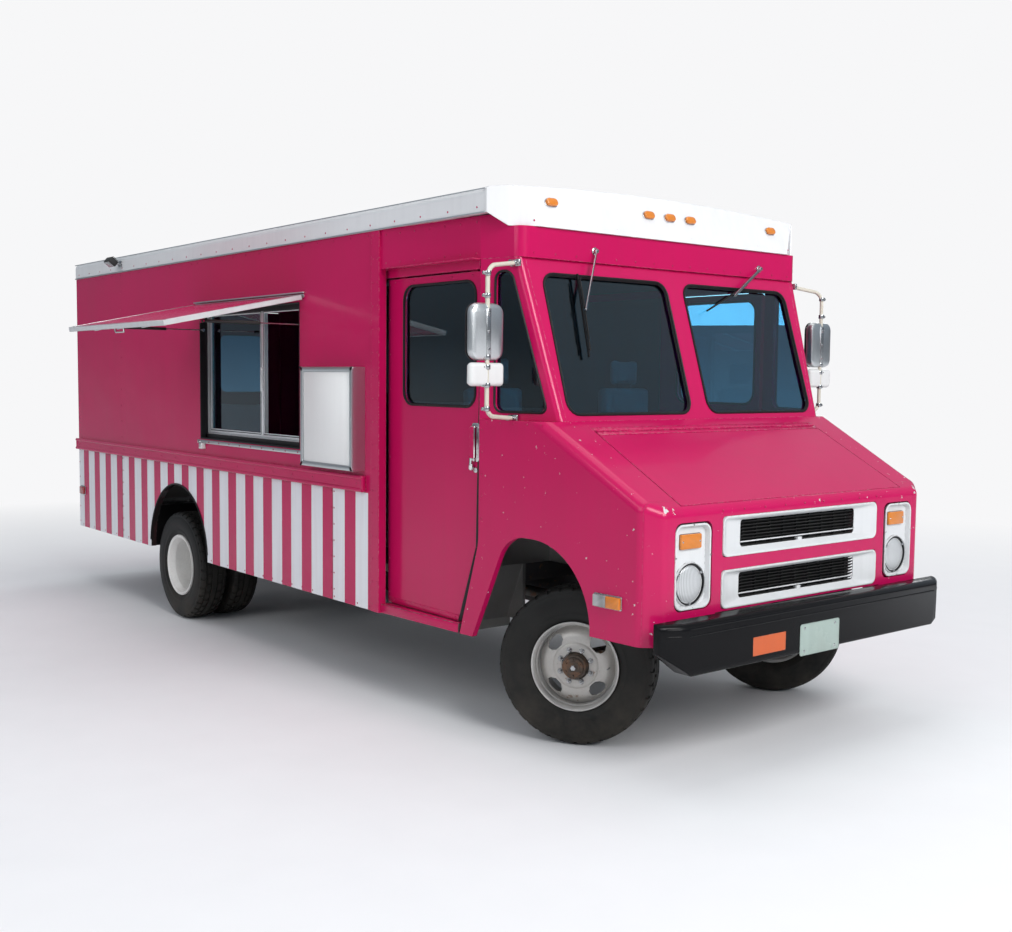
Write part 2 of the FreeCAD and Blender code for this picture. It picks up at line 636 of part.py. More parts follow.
def front_cap():
    rear = "windshield_top_x - 131"
    corner_side, corner_front = "windshield_top_x - 49", "header_x + 15"
    outline = [(rear, "-(body_half_width + roof_overhang)"),
               ("windshield_top_x - 112", "-(body_half_width + roof_overhang)"),
               (corner_side, "-(body_half_width - 80)"), (corner_front, "-(body_half_width - 215)")]
    outline += swap_side(outline)
    block = pad(new_body("cap_block"), "plan", "header_bottom + 151", 300, outline)
    cut_through(block, "side", [(corner_front, "header_bottom + 151"),
                                (f"{corner_front} - 108", "header_bottom + 421"),
                                (f"{corner_front} + 60", "header_bottom + 421"),
                                (f"{corner_front} + 60", "header_bottom + 151")])
    cut_through(block, "side", cap_underside(-1))
    crown = pad(new_body("cap_crown"), "end", f"{rear} - 10", 260,
                [("-tool_y", "header_bottom + 100")] + roof_outline(0)[1:4]
                + [("tool_y", "header_bottom + 100")])
    keep(overlap("front_cap", block, crown), "front_cap")


def cap_underside(below):
    # the slanted lower edge of the cap's sides; the header's top follows the same line
    back, front = "windshield_top_x - 112", "windshield_top_x - 49"
    low = "header_bottom + 151"
    far = "windshield_top_x - 300" if below < 0 else "header_x + 100"
    level = f"{low} - 100" if below < 0 else "wall_top + 100"
    if below < 0:
        return [(far, level), (front, level), (front, low), (back, "wall_top"), (far, "wall_top")]
    return [(back, level), (back, "wall_top"), (front, low), (far, low), (far, level)]


def header_plan(inset):
    # half of the header in plan, from the pillar round to the front, moved in by the inset
    return [("pillar_front_x", f"cab_side_y - {inset}"),
            ("quarter_rear_x", f"quarter_rear_y - {inset}"),
            (f"header_x - {inset}", f"header_corner_y - {inset} * 0.75", f"60 - {inset} / 2")]


def cab_header():
    outer, inner = header_plan("0"), header_plan("wall")
    half = outer + [(corner[0], f"-({corner[1]})") + tuple(corner[2:]) for corner in outer[::-1]]
    back = inner + [(corner[0], f"-({corner[1]})") + tuple(corner[2:]) for corner in inner[::-1]]
    body = pad(new_body("cab_header"), "plan", "header_bottom", "wall_top - header_bottom",
               half + back[::-1])
    cut_through(body, "side", cap_underside(1))
    keep(body, "cab_header")


def quarter_y(x):
    return f"quarter_rear_y - quarter_taper * ({x} - quarter_rear_x)"


def quarter_window(inset):
    # in the side view, with its front edge along the windshield post
    slope = "windshield_top_back / (header_bottom - belt)"
    low, high = f"belt + 40 + {inset}", f"header_bottom - 66 - {inset}"

    def front(height):
        return f"belt_x - ({height} - belt) * {slope} - 60 - {inset} * 1.05"
    back = f"quarter_rear_x + 93 + {inset}"
    radius = f"42 - {inset}"
    return [(back, low, radius), (front(low), low, radius), (front(high), high, radius),
            (back, high, radius)]


def quarter_panel(sign):
    plan = [("quarter_rear_x", "quarter_rear_y"), ("belt_x + 40", quarter_y("(belt_x + 40)")),
            ("belt_x + 40", f"{quarter_y('(belt_x + 40)')} - wall"),
            ("quarter_rear_x", "quarter_rear_y - wall")]
    name = "quarter_panel_left" if sign > 0 else "quarter_panel_right"
    body = pad(new_body(name), "plan", "belt", "header_bottom - belt",
               plan if sign > 0 else swap_side(plan))
    cut_through(body, "side", [("belt_x", "belt"), ("windshield_top_x", "header_bottom"),
                               ("belt_x + 200", "header_bottom"), ("belt_x + 200", "belt")])
    cut_through(body, "side", quarter_window("0"))
    top = value("header_bottom")

    def is_post_edge(first, last):
        outer = [abs(abs(point.y) - value(quarter_y(point.x))) < 0.1 for point in (first, last)]
        return all(outer) and abs(first.z - last.z) > 500 and max(first.z, last.z) > top - 1 \
            and first.x > value("quarter_rear_x") + 100 and last.x > value("quarter_rear_x") + 100
    round_edges(body, "wall - 8", is_post_edge)
    return body


def windshield_outline(inset, sign):
    low, high = f"belt + 32 + {inset}", f"header_bottom - 73 - {inset}"
    inner, outer = f"66 + {inset}", f"body_half_width - 234 - {inset}"
    radius = f"70 - {inset}"
    outline = rectangle(inner, outer, low, high, radius)
    return outline if sign > 0 else mirrored(outline)


def leaning_slab(name, front, depth, low, high, half):
    # a slab parallel to the windshields; front is its distance behind their outer plane
    slope = "windshield_top_back / (header_bottom - belt)"

    def plane(height, behind):
        return f"belt_x - ({height} - belt) * {slope} - ({behind})"
    outline = [(plane(low, front), low), (plane(high, front), high),
               (plane(high, f"{front} + {depth}"), high), (plane(low, f"{front} + {depth}"), low)]
    return pad(new_body(name), "side", f"-({half})", f"2 * ({half})", outline)


def windshield_frame():
    slab = leaning_slab("windshield_slab", "0", "wall * 1.05", "belt", "header_bottom",
                        "body_half_width - 70")
    inner_back = f"{quarter_y('(belt_x - 420)')} - wall"
    inner_front = f"{quarter_y('(belt_x + 60)')} - wall"
    plan = [("belt_x - 420", inner_back), ("belt_x - 420", f"-({inner_back})"),
            ("belt_x + 60", f"-({inner_front})"), ("belt_x + 60", inner_front)]
    between = pad(new_body("windshield_span"), "plan", "belt", "header_bottom - belt", plan)
    cut_through(between, "end", windshield_outline("0", 1), windshield_outline("0", -1))
    keep(overlap("windshield_frame", slab, between), "windshield_frame")


def windshield_glass(sign):
    name = "glass_left" if sign > 0 else "glass_right"
    slab = leaning_slab(f"{name}_slab", "15", "glass", "belt", "header_bottom",
                        "body_half_width - 70")
    room = pad(new_body(f"{name}_room"), "end", "windshield_top_x - 100", "400",
               windshield_outline("seat_gap", sign))
    return overlap(name, slab, room)


def quarter_glass(sign):
    # follows the quarter panel, in the middle of its thickness
    plan = [("quarter_rear_x", "quarter_rear_y - 15"),
            ("belt_x + 40", f"{quarter_y('(belt_x + 40)')} - 15"),
            ("belt_x + 40", f"{quarter_y('(belt_x + 40)')} - 15 - glass"),
            ("quarter_rear_x", "quarter_rear_y - 15 - glass")]
    name = "quarter_glass_left" if sign > 0 else "quarter_glass_right"
    sheet_body = pad(new_body(f"{name}_sheet"), "plan", "belt", "header_bottom - belt",
                     plan if sign > 0 else swap_side(plan))
    room = pad(new_body(f"{name}_room"), "side", "-tool_y", "2 * tool_y", quarter_window("seat_gap"))
    return overlap(name, sheet_body, room)


# ---- bonnet, fenders and nose ----------------------------------------------------------------

def front_shell():
    # the fenders, cowl, hood and nose are cut from one shell, so that their faces run on
    shells = []
    for name, inset, low in (("shell_outer", "0", "skirt_bottom"),
                             ("shell_inner", "panel", "skirt_bottom - 50")):
        start = "step_front_x + 30" if inset == "0" else "step_front_x"
        start_y = f"cab_side_y - cab_taper * ({start} - pillar_front_x) - {inset}"
        half = [(start, start_y),
                ("nose_side_x", f"nose_side_y - {inset}", f"60 - {inset}"),
                (f"nose_x - {inset}", f"nose_half_width - {inset} * 0.6", f"50 - {inset}")]
        outline = half + swap_side(half)
        body = pad(new_body(name), "plan", low, f"belt - {inset} - ({low})", outline)
        drop = f"{inset} * 1.14"
        front = "nose_x + 60"
        cut_through(body, "side",
                    [("belt_x", f"belt - {drop} + 0.01"),
                     (front, f"belt - {drop} - hood_slope * (belt_back + 60)"),
                     (front, "belt + 60"), ("belt_x", "belt + 60")])
        shells.append(body)
    outer, inner = shells

    def is_shoulder(first, last):
        slope = value("hood_slope")
        level = [abs(point.z - (value("belt") - slope * (point.x - value("belt_x")))) < 0.5
                 for point in (first, last)]
        return all(level) and first.x > value("belt_x") - 1 and last.x > value("belt_x") - 1 \
            and abs(first.x - last.x) > 10 and abs(first.y) > 500 and first.y * last.y > 0
    round_edges(outer, 55, is_shoulder)
    shell = remove("front_shell", outer, inner)
    return shell


def fenders(shell):
    cab_room_rear = "belt_x - 700"
    inner_rear = f"{quarter_y('(belt_x - 700)')} - wall"
    inner_belt = f"{quarter_y('(belt_x - 42)')} - wall"
    cab_room = pad(new_body("cab_room"), "plan", "belt - 60", 120,
                   [(cab_room_rear, inner_rear), (cab_room_rear, f"-({inner_rear})"),
                    ("belt_x - 42", f"-({inner_belt})"), ("belt_x - 42", inner_belt)])
    gap = "hood_half_width + hood_gap"
    hood_room = box("hood_room", "belt_x - 42", "nose_x + 50", f"-({gap})", gap,
                    "fender_bottom - 200", "belt + 50")
    nose_room = box("nose_room", "nose_side_x + 5", "nose_x + 50", "-tool_y", "tool_y", 400, "belt + 50")
    door_room = pad(new_body("door_front_room"), "side", "-tool_y", "2 * tool_y",
                    [("step_front_x + 8", 400), ("quarter_rear_x - 5", 955), ("quarter_rear_x", 1000),
                     ("quarter_rear_x", "belt + 80"), ("step_front_x - 100", "belt + 80"),
                     ("step_front_x - 100", 400)])
    arch = pad(new_body("front_arch"), "side", "-tool_y", "2 * tool_y",
               [("front_axle_x - 435", 470), ("front_axle_x - 173", "front_arch_top", 200),
                ("front_axle_x + 401", "front_arch_top", 394), ("front_axle_x + 401", "fender_bottom"),
                ("nose_x + 60", "fender_bottom"), ("nose_x + 60", 400), ("front_axle_x - 435", 400)])
    rooms = join("fender_rooms", [cab_room, hood_room, nose_room, door_room, arch])
    keep(remove("front_fenders", shell, rooms), "front_fenders")


def cowl_panel(shell):
    span = box("cowl_span", "belt_x - 42", "hood_hinge_x - 6", "-(hood_half_width + hood_gap)",
               "hood_half_width + hood_gap", "belt - 160", "belt + 50")
    leaf = overlap("cowl_plate", shell, span)
    keep(join("cowl_panel", [leaf] + hood_knuckles(1)), "cowl_panel")


# centre of each moving knuckle of the hood hinge from the centreline
HOOD_KNUCKLES = [-600, 0, 600]


def hood_knuckles(fixed):
    axis_z = "belt - hood_slope * (hood_hinge_x - belt_x) + 2"
    pieces = []
    for number, centre in enumerate(HOOD_KNUCKLES):
        spans = [(centre - 110.3, 70), (centre + 40.3, 70)] if fixed else [(centre - 40, 80)]
        for part, (start, length) in enumerate(spans):
            word = "cowl" if fixed else "hood"
            reach = ("hood_hinge_x - 9", "hood_hinge_x") if fixed else ("hood_hinge_x", "hood_hinge_x + 9")
            pieces.append(cylinder(f"{word}_knuckle_{number}_{part}", "y", 5, length,
                                   "hood_hinge_x", start, axis_z))
            pieces.append(box(f"{word}_leaf_{number}_{part}", *reach, start, start + length,
                              f"{axis_z} - 9", axis_z))
    return pieces


def hood(shell):
    span = box("hood_span", "hood_hinge_x + 6", "nose_x - panel - 1", "-hood_half_width",
               "hood_half_width", "nose_top_z - 60", "belt + 50")
    plate = overlap("hood_plate", shell, span)
    keep(join("hood", [plate] + hood_knuckles(0)), "hood")


# nose openings: half width and heights of both grilles, then the headlamp recess
GRILLES = [("upper", "body_half_width - 570", 997, 1186), ("lower", "body_half_width - 565", 757, 937)]
BEZEL_INNER, BEZEL_OUTER = "body_half_width - 500", "body_half_width - 255"
BEZEL_LOW, BEZEL_HIGH = 775, 1173
LAMP_Y, LAMP_Z, TURN_Z = "body_half_width - 371", 891, 1086


def bezel_outline(inset, sign):
    outline = rectangle(f"{BEZEL_INNER} + {inset}", f"{BEZEL_OUTER} - {inset}",
                        f"{BEZEL_LOW} + {inset}", f"{BEZEL_HIGH} - {inset}", f"40 - {inset}")
    return outline if sign > 0 else mirrored(outline)


def grille_outline(half, low, high, inset):
    return rectangle(f"-({half} - {inset})", f"{half} - {inset}", f"{low} + {inset}",
                     f"{high} - {inset}", f"18 - {inset}")


def nose_panel(shell):
    span = box("nose_span", "nose_side_x + 5", "nose_x + 20", "-tool_y", "tool_y", "fender_bottom",
               "belt")
    face = overlap("nose_face", shell, span)
    gap = "hood_half_width + hood_gap"
    hood_room = box("nose_hood_room", "nose_side_x - 50", "nose_x - panel + 4", f"-({gap})", gap,
                    "nose_top_z - 70", "belt")
    openings = new_body("nose_openings")
    outlines = [grille_outline(half, low, high, "0") for name, half, low, high in GRILLES]
    outlines += [bezel_outline("0", 1), bezel_outline("0", -1)]
    pad(openings, "end", "nose_x - 100", 200, *outlines)
    rail_room = box("nose_rail_room", "nose_x - 100", "nose_x + 100", -640, 640,
                    "fender_bottom - 10", 747)
    rooms = join("nose_rooms", [hood_room, openings, rail_room])
    keep(remove("nose_panel", face, rooms), "nose_panel")


def grille(name, half, low, high):
    frame = pad(new_body(f"{name}_grille"), "end", "nose_x - panel", "panel + 6",
                grille_outline(half, low, high, "seat_gap"))
    middle = (low + high) / 2 + 8
    cut_between(frame, "end", "nose_x - panel + 8", "panel",
                rectangle("730 - body_half_width", "body_half_width - 730", f"{middle} - 62",
                          f"{middle} + 58", 16))
    slots = [rectangle("750 - body_half_width", "body_half_width - 750", middle - 44 + 18 * i,
                       middle - 32 + 18 * i) for i in range(5)]
    return cut_through(frame, "end", *slots)


def headlamp_bezel(sign):
    body = pad(new_body("bezel_left" if sign > 0 else "bezel_right"), "end", "nose_x - panel",
               "panel + 6", bezel_outline("seat_gap", sign))
    cut_between(body, "end", "nose_x - 16", "30", bezel_outline("20", sign))
    middle = f"{sign} * ({LAMP_Y})"
    turn_window = rectangle(f"{middle} - 70", f"{middle} + 70", TURN_Z - 37, TURN_Z + 37, 8)
    return cut_through(body, "end", (middle, LAMP_Z, 93), turn_window)


def lamps(sign):
    word = "left" if sign > 0 else "right"
    middle = f"{sign} * ({LAMP_Y})"
    beam = cylinder(f"headlamp_{word}", "x", "93 - seat_gap", 60, "nose_x - 80", middle, LAMP_Z)
    gap = "seat_gap"
    turn_lamp = pad(new_body(f"turn_lamp_{word}"), "end", "nose_x - panel", "panel - 8",
                    rectangle(f"{middle} - 70 + {gap}", f"{middle} + 70 - {gap}",
                              f"{TURN_Z - 37} + {gap}", f"{TURN_Z + 37} - {gap}", f"8 - {gap}"))
    return [beam, turn_lamp]


def front_bumper():
    end, back = "bumper_half_width", "front_x - 105"
    outline = [(back, f"-{end}"), ("front_x - 60", f"-{end}", 20), ("front_x", f"105 - {end}", 40)]
    body = pad(new_body("front_bumper"), "plan", "bumper_bottom", "bumper_top - bumper_bottom",
               outline + swap_side(outline))
    front = value("front_x")

    def is_top_edge(first, last):
        return all(abs(point.z - value("bumper_top")) < 0.1 and point.x > front - 62
                   for point in (first, last))
    round_edges(body, 34, is_top_edge)
    inset = "bumper_plate"
    inner = [(f"{back} - 5", f"{inset} - {end}"), (f"front_x - 60 - {inset} * 0.4", f"{inset} - {end}", 12),
             (f"front_x - {inset}", f"105 + {inset} * 0.4 - {end}", 30)]
    cut_between(body, "plan", f"bumper_bottom + {inset}", f"bumper_top - bumper_bottom - 2.2 * {inset}",
                inner + swap_side(inner))
    for sign in (1, -1):
        low = f"{sign} * (bumper_half_width + 10)"
        corner = [(low, "bumper_bottom - 10"), (f"{sign} * (bumper_half_width - 90)", "bumper_bottom - 10"),
                  (low, "bumper_bottom + 100")]
        cut_through(body, "end", corner)
    keep(body, "front_bumper")


def rear_step():
    top, deep = 560, "skirt_bottom"
    section = [("rear_x", deep), ("rear_x", top), ("body_rear_x", top), ("body_rear_x", deep),
               ("body_rear_x - bumper_plate", deep), ("body_rear_x - bumper_plate", f"{top} - bumper_plate"),
               ("rear_x + bumper_plate", f"{top} - bumper_plate"), ("rear_x + bumper_plate", deep)]
    body = pad(new_body("rear_step"), "side", "70 - body_half_width", "2 * (body_half_width - 70)",
               section)
    cut_through(body, "plan", ("rear_x + rear_step_depth / 2", 0, "hitch_hole_radius"))
    half = "plate_screw_spacing / 2"
    cut_between(body, "end", "rear_x - 5", "bumper_plate + 6", (f"-{half}", 522, "plate_screw_radius"),
                (half, 522, "plate_screw_radius"))
    keep(body, "rear_step")


# ---- cab doors -------------------------------------------------------------------------------

# hanger centres behind the door's front edge
HANGERS = [80, 720]


def cab_door_plate(side, sign):
    level = "door_outer - door_thick" if sign > 0 else "-door_outer"
    outline = [("door_rear_x", "door_bottom"), ("door_front_x - 148", "door_bottom"),
               ("door_front_x", 955, 60), ("door_front_x", "door_top", 25),
               ("door_rear_x", "door_top")]
    window = door_window("0")
    body = pad(new_body(f"cab_door_{side}_plate"), "side", level, "door_thick", outline, window)
    pieces = [body]
    neck = ("door_outer - 22", "door_outer - 12")
    head = ("door_outer - 38", "door_outer + 3")
    for number, place in enumerate(HANGERS):
        middle = f"door_front_x - {place}"
        for word, span, low, high in (("neck", neck, "door_top", "track_bottom + 24"),
                                      ("head", head, "track_bottom + 6.3", "track_bottom + 24")):
            low_y, high_y = span if sign > 0 else (f"-({span[1]})", f"-({span[0]})")
            pieces.append(box(f"hanger_{word}_{side}_{number}", f"{middle} - 30", f"{middle} + 30",
                              low_y, high_y, low, high))
    grip_x = "door_front_x - 36"
    grip_low, grip_high = ("door_outer", "door_outer + 30") if sign > 0 else \
        ("-(door_outer + 30)", "-door_outer")
    pieces.append(box(f"door_grip_{side}", f"{grip_x} - 14", f"{grip_x} + 14", grip_low, grip_high,
                      1400, 1560))
    keep(join(f"cab_door_{side}", pieces), f"cab_door_{side}")


def door_window(inset):
    return rectangle(f"door_front_x - 688 + {inset}", f"door_front_x - 42 - {inset}",
                     f"1658 + {inset}", f"2296 - {inset}", f"75 - {inset}")


def door_glass(side, sign):
    level = "door_outer - 20" if sign > 0 else "14 - door_outer"
    name = f"cab_door_glass_{side}"
    keep(pad(new_body(name), "side", level, "glass", door_window("seat_gap")), name)


def door_tracks():
    tracks = []
    for side, sign in (("left", 1), ("right", -1)):
        outer, inner = "track_outer", "track_outer - track_width"
        low, high = "track_bottom", "header_bottom"
        section = [(inner, low), ("door_outer - 28", low), ("door_outer - 28", f"{low} + 6"),
                   (f"{inner} + 6", f"{low} + 6"), (f"{inner} + 6", f"{high} - 6"),
                   (f"{outer} - 6", f"{high} - 6"), (f"{outer} - 6", f"{low} + 6"),
                   ("door_outer - 6", f"{low} + 6"), ("door_outer - 6", low), (outer, low),
                   (outer, high), (inner, high)]
        start = f"door_front_x - {HANGERS[1]} - door_travel - 60"
        body = pad(new_body(f"track_channel_{side}"), "end", start, f"door_front_x + 5 - ({start})",
                   section if sign > 0 else mirrored(section))
        flange_y = (outer, "inner_wall_y") if sign > 0 else ("-inner_wall_y", f"-({outer})")
        flange = box(f"track_flange_{side}", start, "pillar_front_x", *flange_y,
                     f"{high} - 6", high)
        tracks.append(join(f"door_track_{side}", [body, flange]))
    keep(group("door_tracks", tracks), "door_tracks")


# ---- serving hatch ---------------------------------------------------------------------------

def service_window():
    # a lining ring behind the wall, with the sash across it
    middle = "hatch_rear_x + hatch_length / 2 + 105"
    body = pad(new_body("service_window"), "side", "-inner_wall_y", 70,
               rectangle("hatch_rear_x - 25", "hatch_front_x + 25", "hatch_sill - 25", "hatch_top + 25"),
               rectangle("hatch_rear_x", "hatch_front_x", "hatch_sill", "hatch_top"))
    pad(body, "side", "25 - inner_wall_y", 30,
        rectangle("hatch_rear_x - 5", "hatch_front_x + 5", "hatch_sill - 5", "hatch_top + 5"),
        rectangle("hatch_rear_x + 32", f"{middle} - 18", "hatch_sill + 60", "hatch_top - 30"),
        rectangle(f"{middle} + 18", "hatch_front_x - 30", "hatch_sill + 60", "hatch_top - 30"))
    keep(body, "service_window")


def service_glass():
    middle = "hatch_rear_x + hatch_length / 2 + 105"
    gap = "seat_gap"
    return pad(new_body("service_glass"), "side", "37 - inner_wall_y", "glass",
               rectangle(f"hatch_rear_x + 32 + {gap}", f"{middle} - 18 - {gap}",
                         f"hatch_sill + 60 + {gap}", f"hatch_top - 30 - {gap}"))


def serving_flap():
    # drawn shut about its hinge line, then opened
    plate = box("flap_plate", "-flap_length / 2", "flap_length / 2", "2 - flap_thick", 2,
                "-flap_drop", -8)
    pieces = [plate]
    for number, centre in enumerate(FLAP_KNUCKLES):
        pieces.append(box(f"flap_lug_{number}", centre - 40, centre + 40, -7, 0, -9, 0))
    # the struts' pins stand on brackets beside their eyes, towards the flap's middle
    for end, away in (("front", -1), ("rear", 1)):
        pin_x = f"strut_{end}_x - flap_middle_x"
        low, high = (-18, -12) if away < 0 else (12, 18)
        pieces.append(box(f"strut_bracket_{end}", f"{pin_x} + {low}", f"{pin_x} + {high}", 2,
                          "strut_eye_inset + 9", "-strut_eye_drop - 14", "14 - strut_eye_drop"))
        pieces.append(cylinder(f"strut_pin_{end}", "x", 5, 24, f"{pin_x} - {18 if away < 0 else 6}",
                               "strut_eye_inset", "-strut_eye_drop"))
    flap = join("serving_flap", pieces + hinge_barrels("flap", FLAP_KNUCKLES, 0))
    flap.Placement = Placement(Vector(), Rotation(Vector(-1, 0, 0), 1))
    flap.setExpression("Placement.Rotation.Angle", bound("flap_open"))
    place(flap, "flap_middle_x", "flap_hinge_y", "flap_hinge_z")
    keep(flap, "serving_flap")


def strut(end):
    # a gas strut, drawn level: its tube turns on the flap's pin, its rod slides in the tube
    # and stands beside the stud on the jamb
    rod = join(f"strut_rod_{end}",
               [cylinder(f"strut_boss_{end}", "x", 11, 12, -6, 0, 0),
                cylinder(f"strut_shaft_{end}", "y", 4, "strut_reach - 190", 0, "190 - strut_reach", 0)])
    case = join(f"strut_case_{end}",
                [cylinder(f"strut_barrel_{end}", "y", 10, "strut_tube_length - 16", 0,
                          "16 - strut_reach", 0),
                 cylinder(f"strut_neck_{end}", "y", 5, 20, 0, "-strut_reach", 0),
                 cylinder(f"strut_eye_{end}", "x", 11, 12, -6, "-strut_reach", 0)])
    bores = join(f"strut_bores_{end}",
                 [cylinder(f"strut_barrel_bore_{end}", "y", "4 + bearing_clearance",
                           "strut_tube_length - 20", 0, "22 - strut_reach", 0),
                  cylinder(f"strut_eye_bore_{end}", "x", "5 + bearing_clearance", 40, -20,
                           "-strut_reach", 0)])
    for item, name in ((rod, f"strut_rod_{end}"), (remove(f"strut_tube_{end}", case, bores),
                                                    f"strut_tube_{end}")):
        place(item, f"strut_{end}_x", "strut_y", "strut_z")
        keep(item, name)


def menu_case():
    keep(box("menu_case", "pillar_rear_x - 660", "pillar_rear_x - 75", "-(body_half_width + 80)",
             "-body_half_width", 1273, 1860), "menu_case")


# ---- wheels, axles and steering --------------------------------------------------------------

def place(item, at_x, at_y, at_z):
    for letter, expression in zip("xyz", (at_x, at_y, at_z)):
        item.setExpression(f"Placement.Base.{letter}", bound(expression))


def tyre_outline(middle):
    # radius, place along the axle
    edge = "tyre_half_width"
    return [("rim_radius", f"{middle} - 80"), ("rim_radius + 78", f"{middle} - {edge} - 3", 70),
            ("tyre_radius", f"{middle} - {edge} + 12", 26), ("tyre_radius", f"{middle} + {edge} - 12", 26),
            ("rim_radius + 78", f"{middle} + {edge} + 3", 70), ("rim_radius", f"{middle} + 80")]


def lay_axis(item, sign, turned):
    # bodies are turned about their own Z; this lays the axis outwards along the axle
    rotation = Rotation(Vector(1, 0, 0), -90 if sign > 0 else 90)
    if turned:
        rotation = Rotation(Vector(0, 0, 1), value("rest_steer")) * rotation
    item.Placement = Placement(Vector(), rotation)
    return item


def turned_body(name, outline):
    return turn(new_body(name), "end", outline)


def barrel_side(middle, first, last):
    # outer surface of one rim barrel, from the flange at first * 92 to the flange at last * 92
    seat = "rim_radius - bead_clearance"
    return [("rim_radius + 13", f"{middle} + {first} * 92"), ("rim_radius + 13", f"{middle} + {first} * 86"),
            (seat, f"{middle} + {first} * 82"), (seat, f"{middle} + {first} * 62"),
            ("rim_radius - 16", f"{middle} + {first} * 50"), ("rim_radius - 16", f"{middle} + {last} * 50"),
            (seat, f"{middle} + {last} * 62"), (seat, f"{middle} + {last} * 82"),
            ("rim_radius + 13", f"{middle} + {last} * 86"), ("rim_radius + 13", f"{middle} + {last} * 92")]


def front_wheel(side, sign):
    hub_bore = "25 + bearing_clearance"
    middle = "front_offset"
    outline = barrel_side(middle, -1, 1)
    outline += [("rim_radius - 8", f"{middle} + 92"), ("rim_radius - 25", f"{middle} + 62"),
                (150, f"{middle} + 70"), (105, f"{middle} + 78"), (62, f"{middle} + 78"),
                (58, f"{middle} + 112"), (46, f"{middle} + 122"), (0, f"{middle} + 122"),
                (0, f"{middle} + 62"), (hub_bore, f"{middle} + 62"), (hub_bore, f"{middle} - 4"),
                (62, f"{middle} - 4"), (62, f"{middle} + 66"), (105, f"{middle} + 66"),
                (150, f"{middle} + 58"), ("rim_radius - 34", f"{middle} + 50"),
                ("rim_radius - 25", f"{middle} + 40"), ("rim_radius - 25", f"{middle} - 50"),
                ("rim_radius - 8", f"{middle} - 92")]
    rim = turned_body(f"front_rim_{side}", outline)
    holes = [(f"148 * cos({angle})", f"148 * sin({angle})", 24) for angle in (45, 135, 225, 315)]
    cut_through(rim, "plan", *holes)
    tyre = turned_body(f"front_tyre_{side}", tyre_outline(middle))
    for body in (rim, tyre):
        lay_axis(body, sign, True)
        place(body, "front_axle_x", f"{sign} * kingpin_y", "axle_height")
        keep(body, body.Name)


def rear_wheels(side, sign):
    middle, inner, outer = "dual_middle_y", "rear_inner_y", "rear_outer_y"
    hub_bore = "30 + bearing_clearance"
    outline = barrel_side(inner, -1, 1)
    outline += [("rim_radius - 20", f"{inner} + 92"), ("rim_radius - 42", f"{middle} - 14"),
                ("rim_radius - 42", f"{middle} + 14"), ("rim_radius - 20", f"{outer} - 92")]
    outline += barrel_side(outer, -1, 1)
    outline += [("rim_radius - 8", f"{outer} + 92"), ("rim_radius - 25", f"{outer} + 50"),
                ("rim_radius - 25", f"{outer} - 84"), ("rim_radius - 52", f"{middle} + 16"),
                (78, f"{middle} + 16"), (74, f"{middle} + 80"), (52, f"{middle} + 90"),
                (0, f"{middle} + 90"), (0, f"{middle} + 60"), (hub_bore, f"{middle} + 60"),
                (hub_bore, f"{middle} - 118"), (78, f"{middle} - 118"), (78, f"{middle} - 14"),
                ("rim_radius - 52", f"{middle} - 14"), ("rim_radius - 25", f"{inner} + 84"),
                ("rim_radius - 25", f"{inner} - 50"), ("rim_radius - 8", f"{inner} - 92")]
    rims = turned_body(f"rear_rims_{side}", outline)
    tyres = group(f"rear_tyres_{side}", [turned_body(f"rear_tyre_inner_{side}", tyre_outline(inner)),
                                         turned_body(f"rear_tyre_outer_{side}", tyre_outline(outer))])
    for item in (rims, tyres):
        lay_axis(item, sign, False)
        place(item, "rear_axle_x", "0", "axle_height")
        keep(item, item.Name)


KINGPIN_RADIUS, BOSS_RADIUS, PIN_RADIUS = 15, 32, 8


def front_axle():
    beam = box("axle_beam", "front_axle_x - 35", "front_axle_x + 35", "10 - kingpin_y",
               "kingpin_y - 10", "axle_height - 45", "axle_height + 40")
    pieces = [beam]
    for side, sign in (("left", 1), ("right", -1)):
        centre = ("front_axle_x", f"{sign} * kingpin_y")
        pieces.append(cylinder(f"axle_boss_{side}", "z", BOSS_RADIUS, 110, *centre, "axle_height - 55"))
        pieces.append(cylinder(f"kingpin_{side}", "z", KINGPIN_RADIUS, 190, *centre, "axle_height - 95"))
    keep(join("front_axle", pieces), "front_axle")


def knuckle(side, sign):
    # about its kingpin, outboard along the signed Y
    out = f"{sign} * "

    def span(near, far):
        return (near, far) if sign > 0 else (-far, -near)
    solids = [box(f"upper_ear_{side}", -30, 30, *span(-26, 50), 60, 82),
              box(f"lower_ear_{side}", -30, 30, *span(-26, 50), -82, -60),
              box(f"knuckle_web_{side}", -30, 30, *span(38, 54), -82, 82),
              cylinder(f"spindle_{side}", "y", 25, "front_offset + 56 - 54", 0,
                       54 if sign > 0 else "-(front_offset + 56)", 0),
              box(f"steering_arm_{side}", -134, 0, -14, 14, -82, -60),
              cylinder(f"arm_end_{side}", "z", 16, 22, -120, 0, -82),
              cylinder(f"arm_pin_{side}", "z", PIN_RADIUS, 34, -120, 0, -61)]
    bore = cylinder(f"knuckle_bore_{side}", "z", f"{KINGPIN_RADIUS} + bearing_clearance", 220, 0, 0, -110)
    body = remove(f"knuckle_{side}", join(f"knuckle_blank_{side}", solids), bore)
    body.Placement = Placement(Vector(), Rotation(Vector(0, 0, 1), 10))
    body.setExpression("Placement.Rotation.Angle", bound("rest_steer"))
    place(body, "front_axle_x", f"{out}kingpin_y", "axle_height")
    keep(body, f"knuckle_{side}")


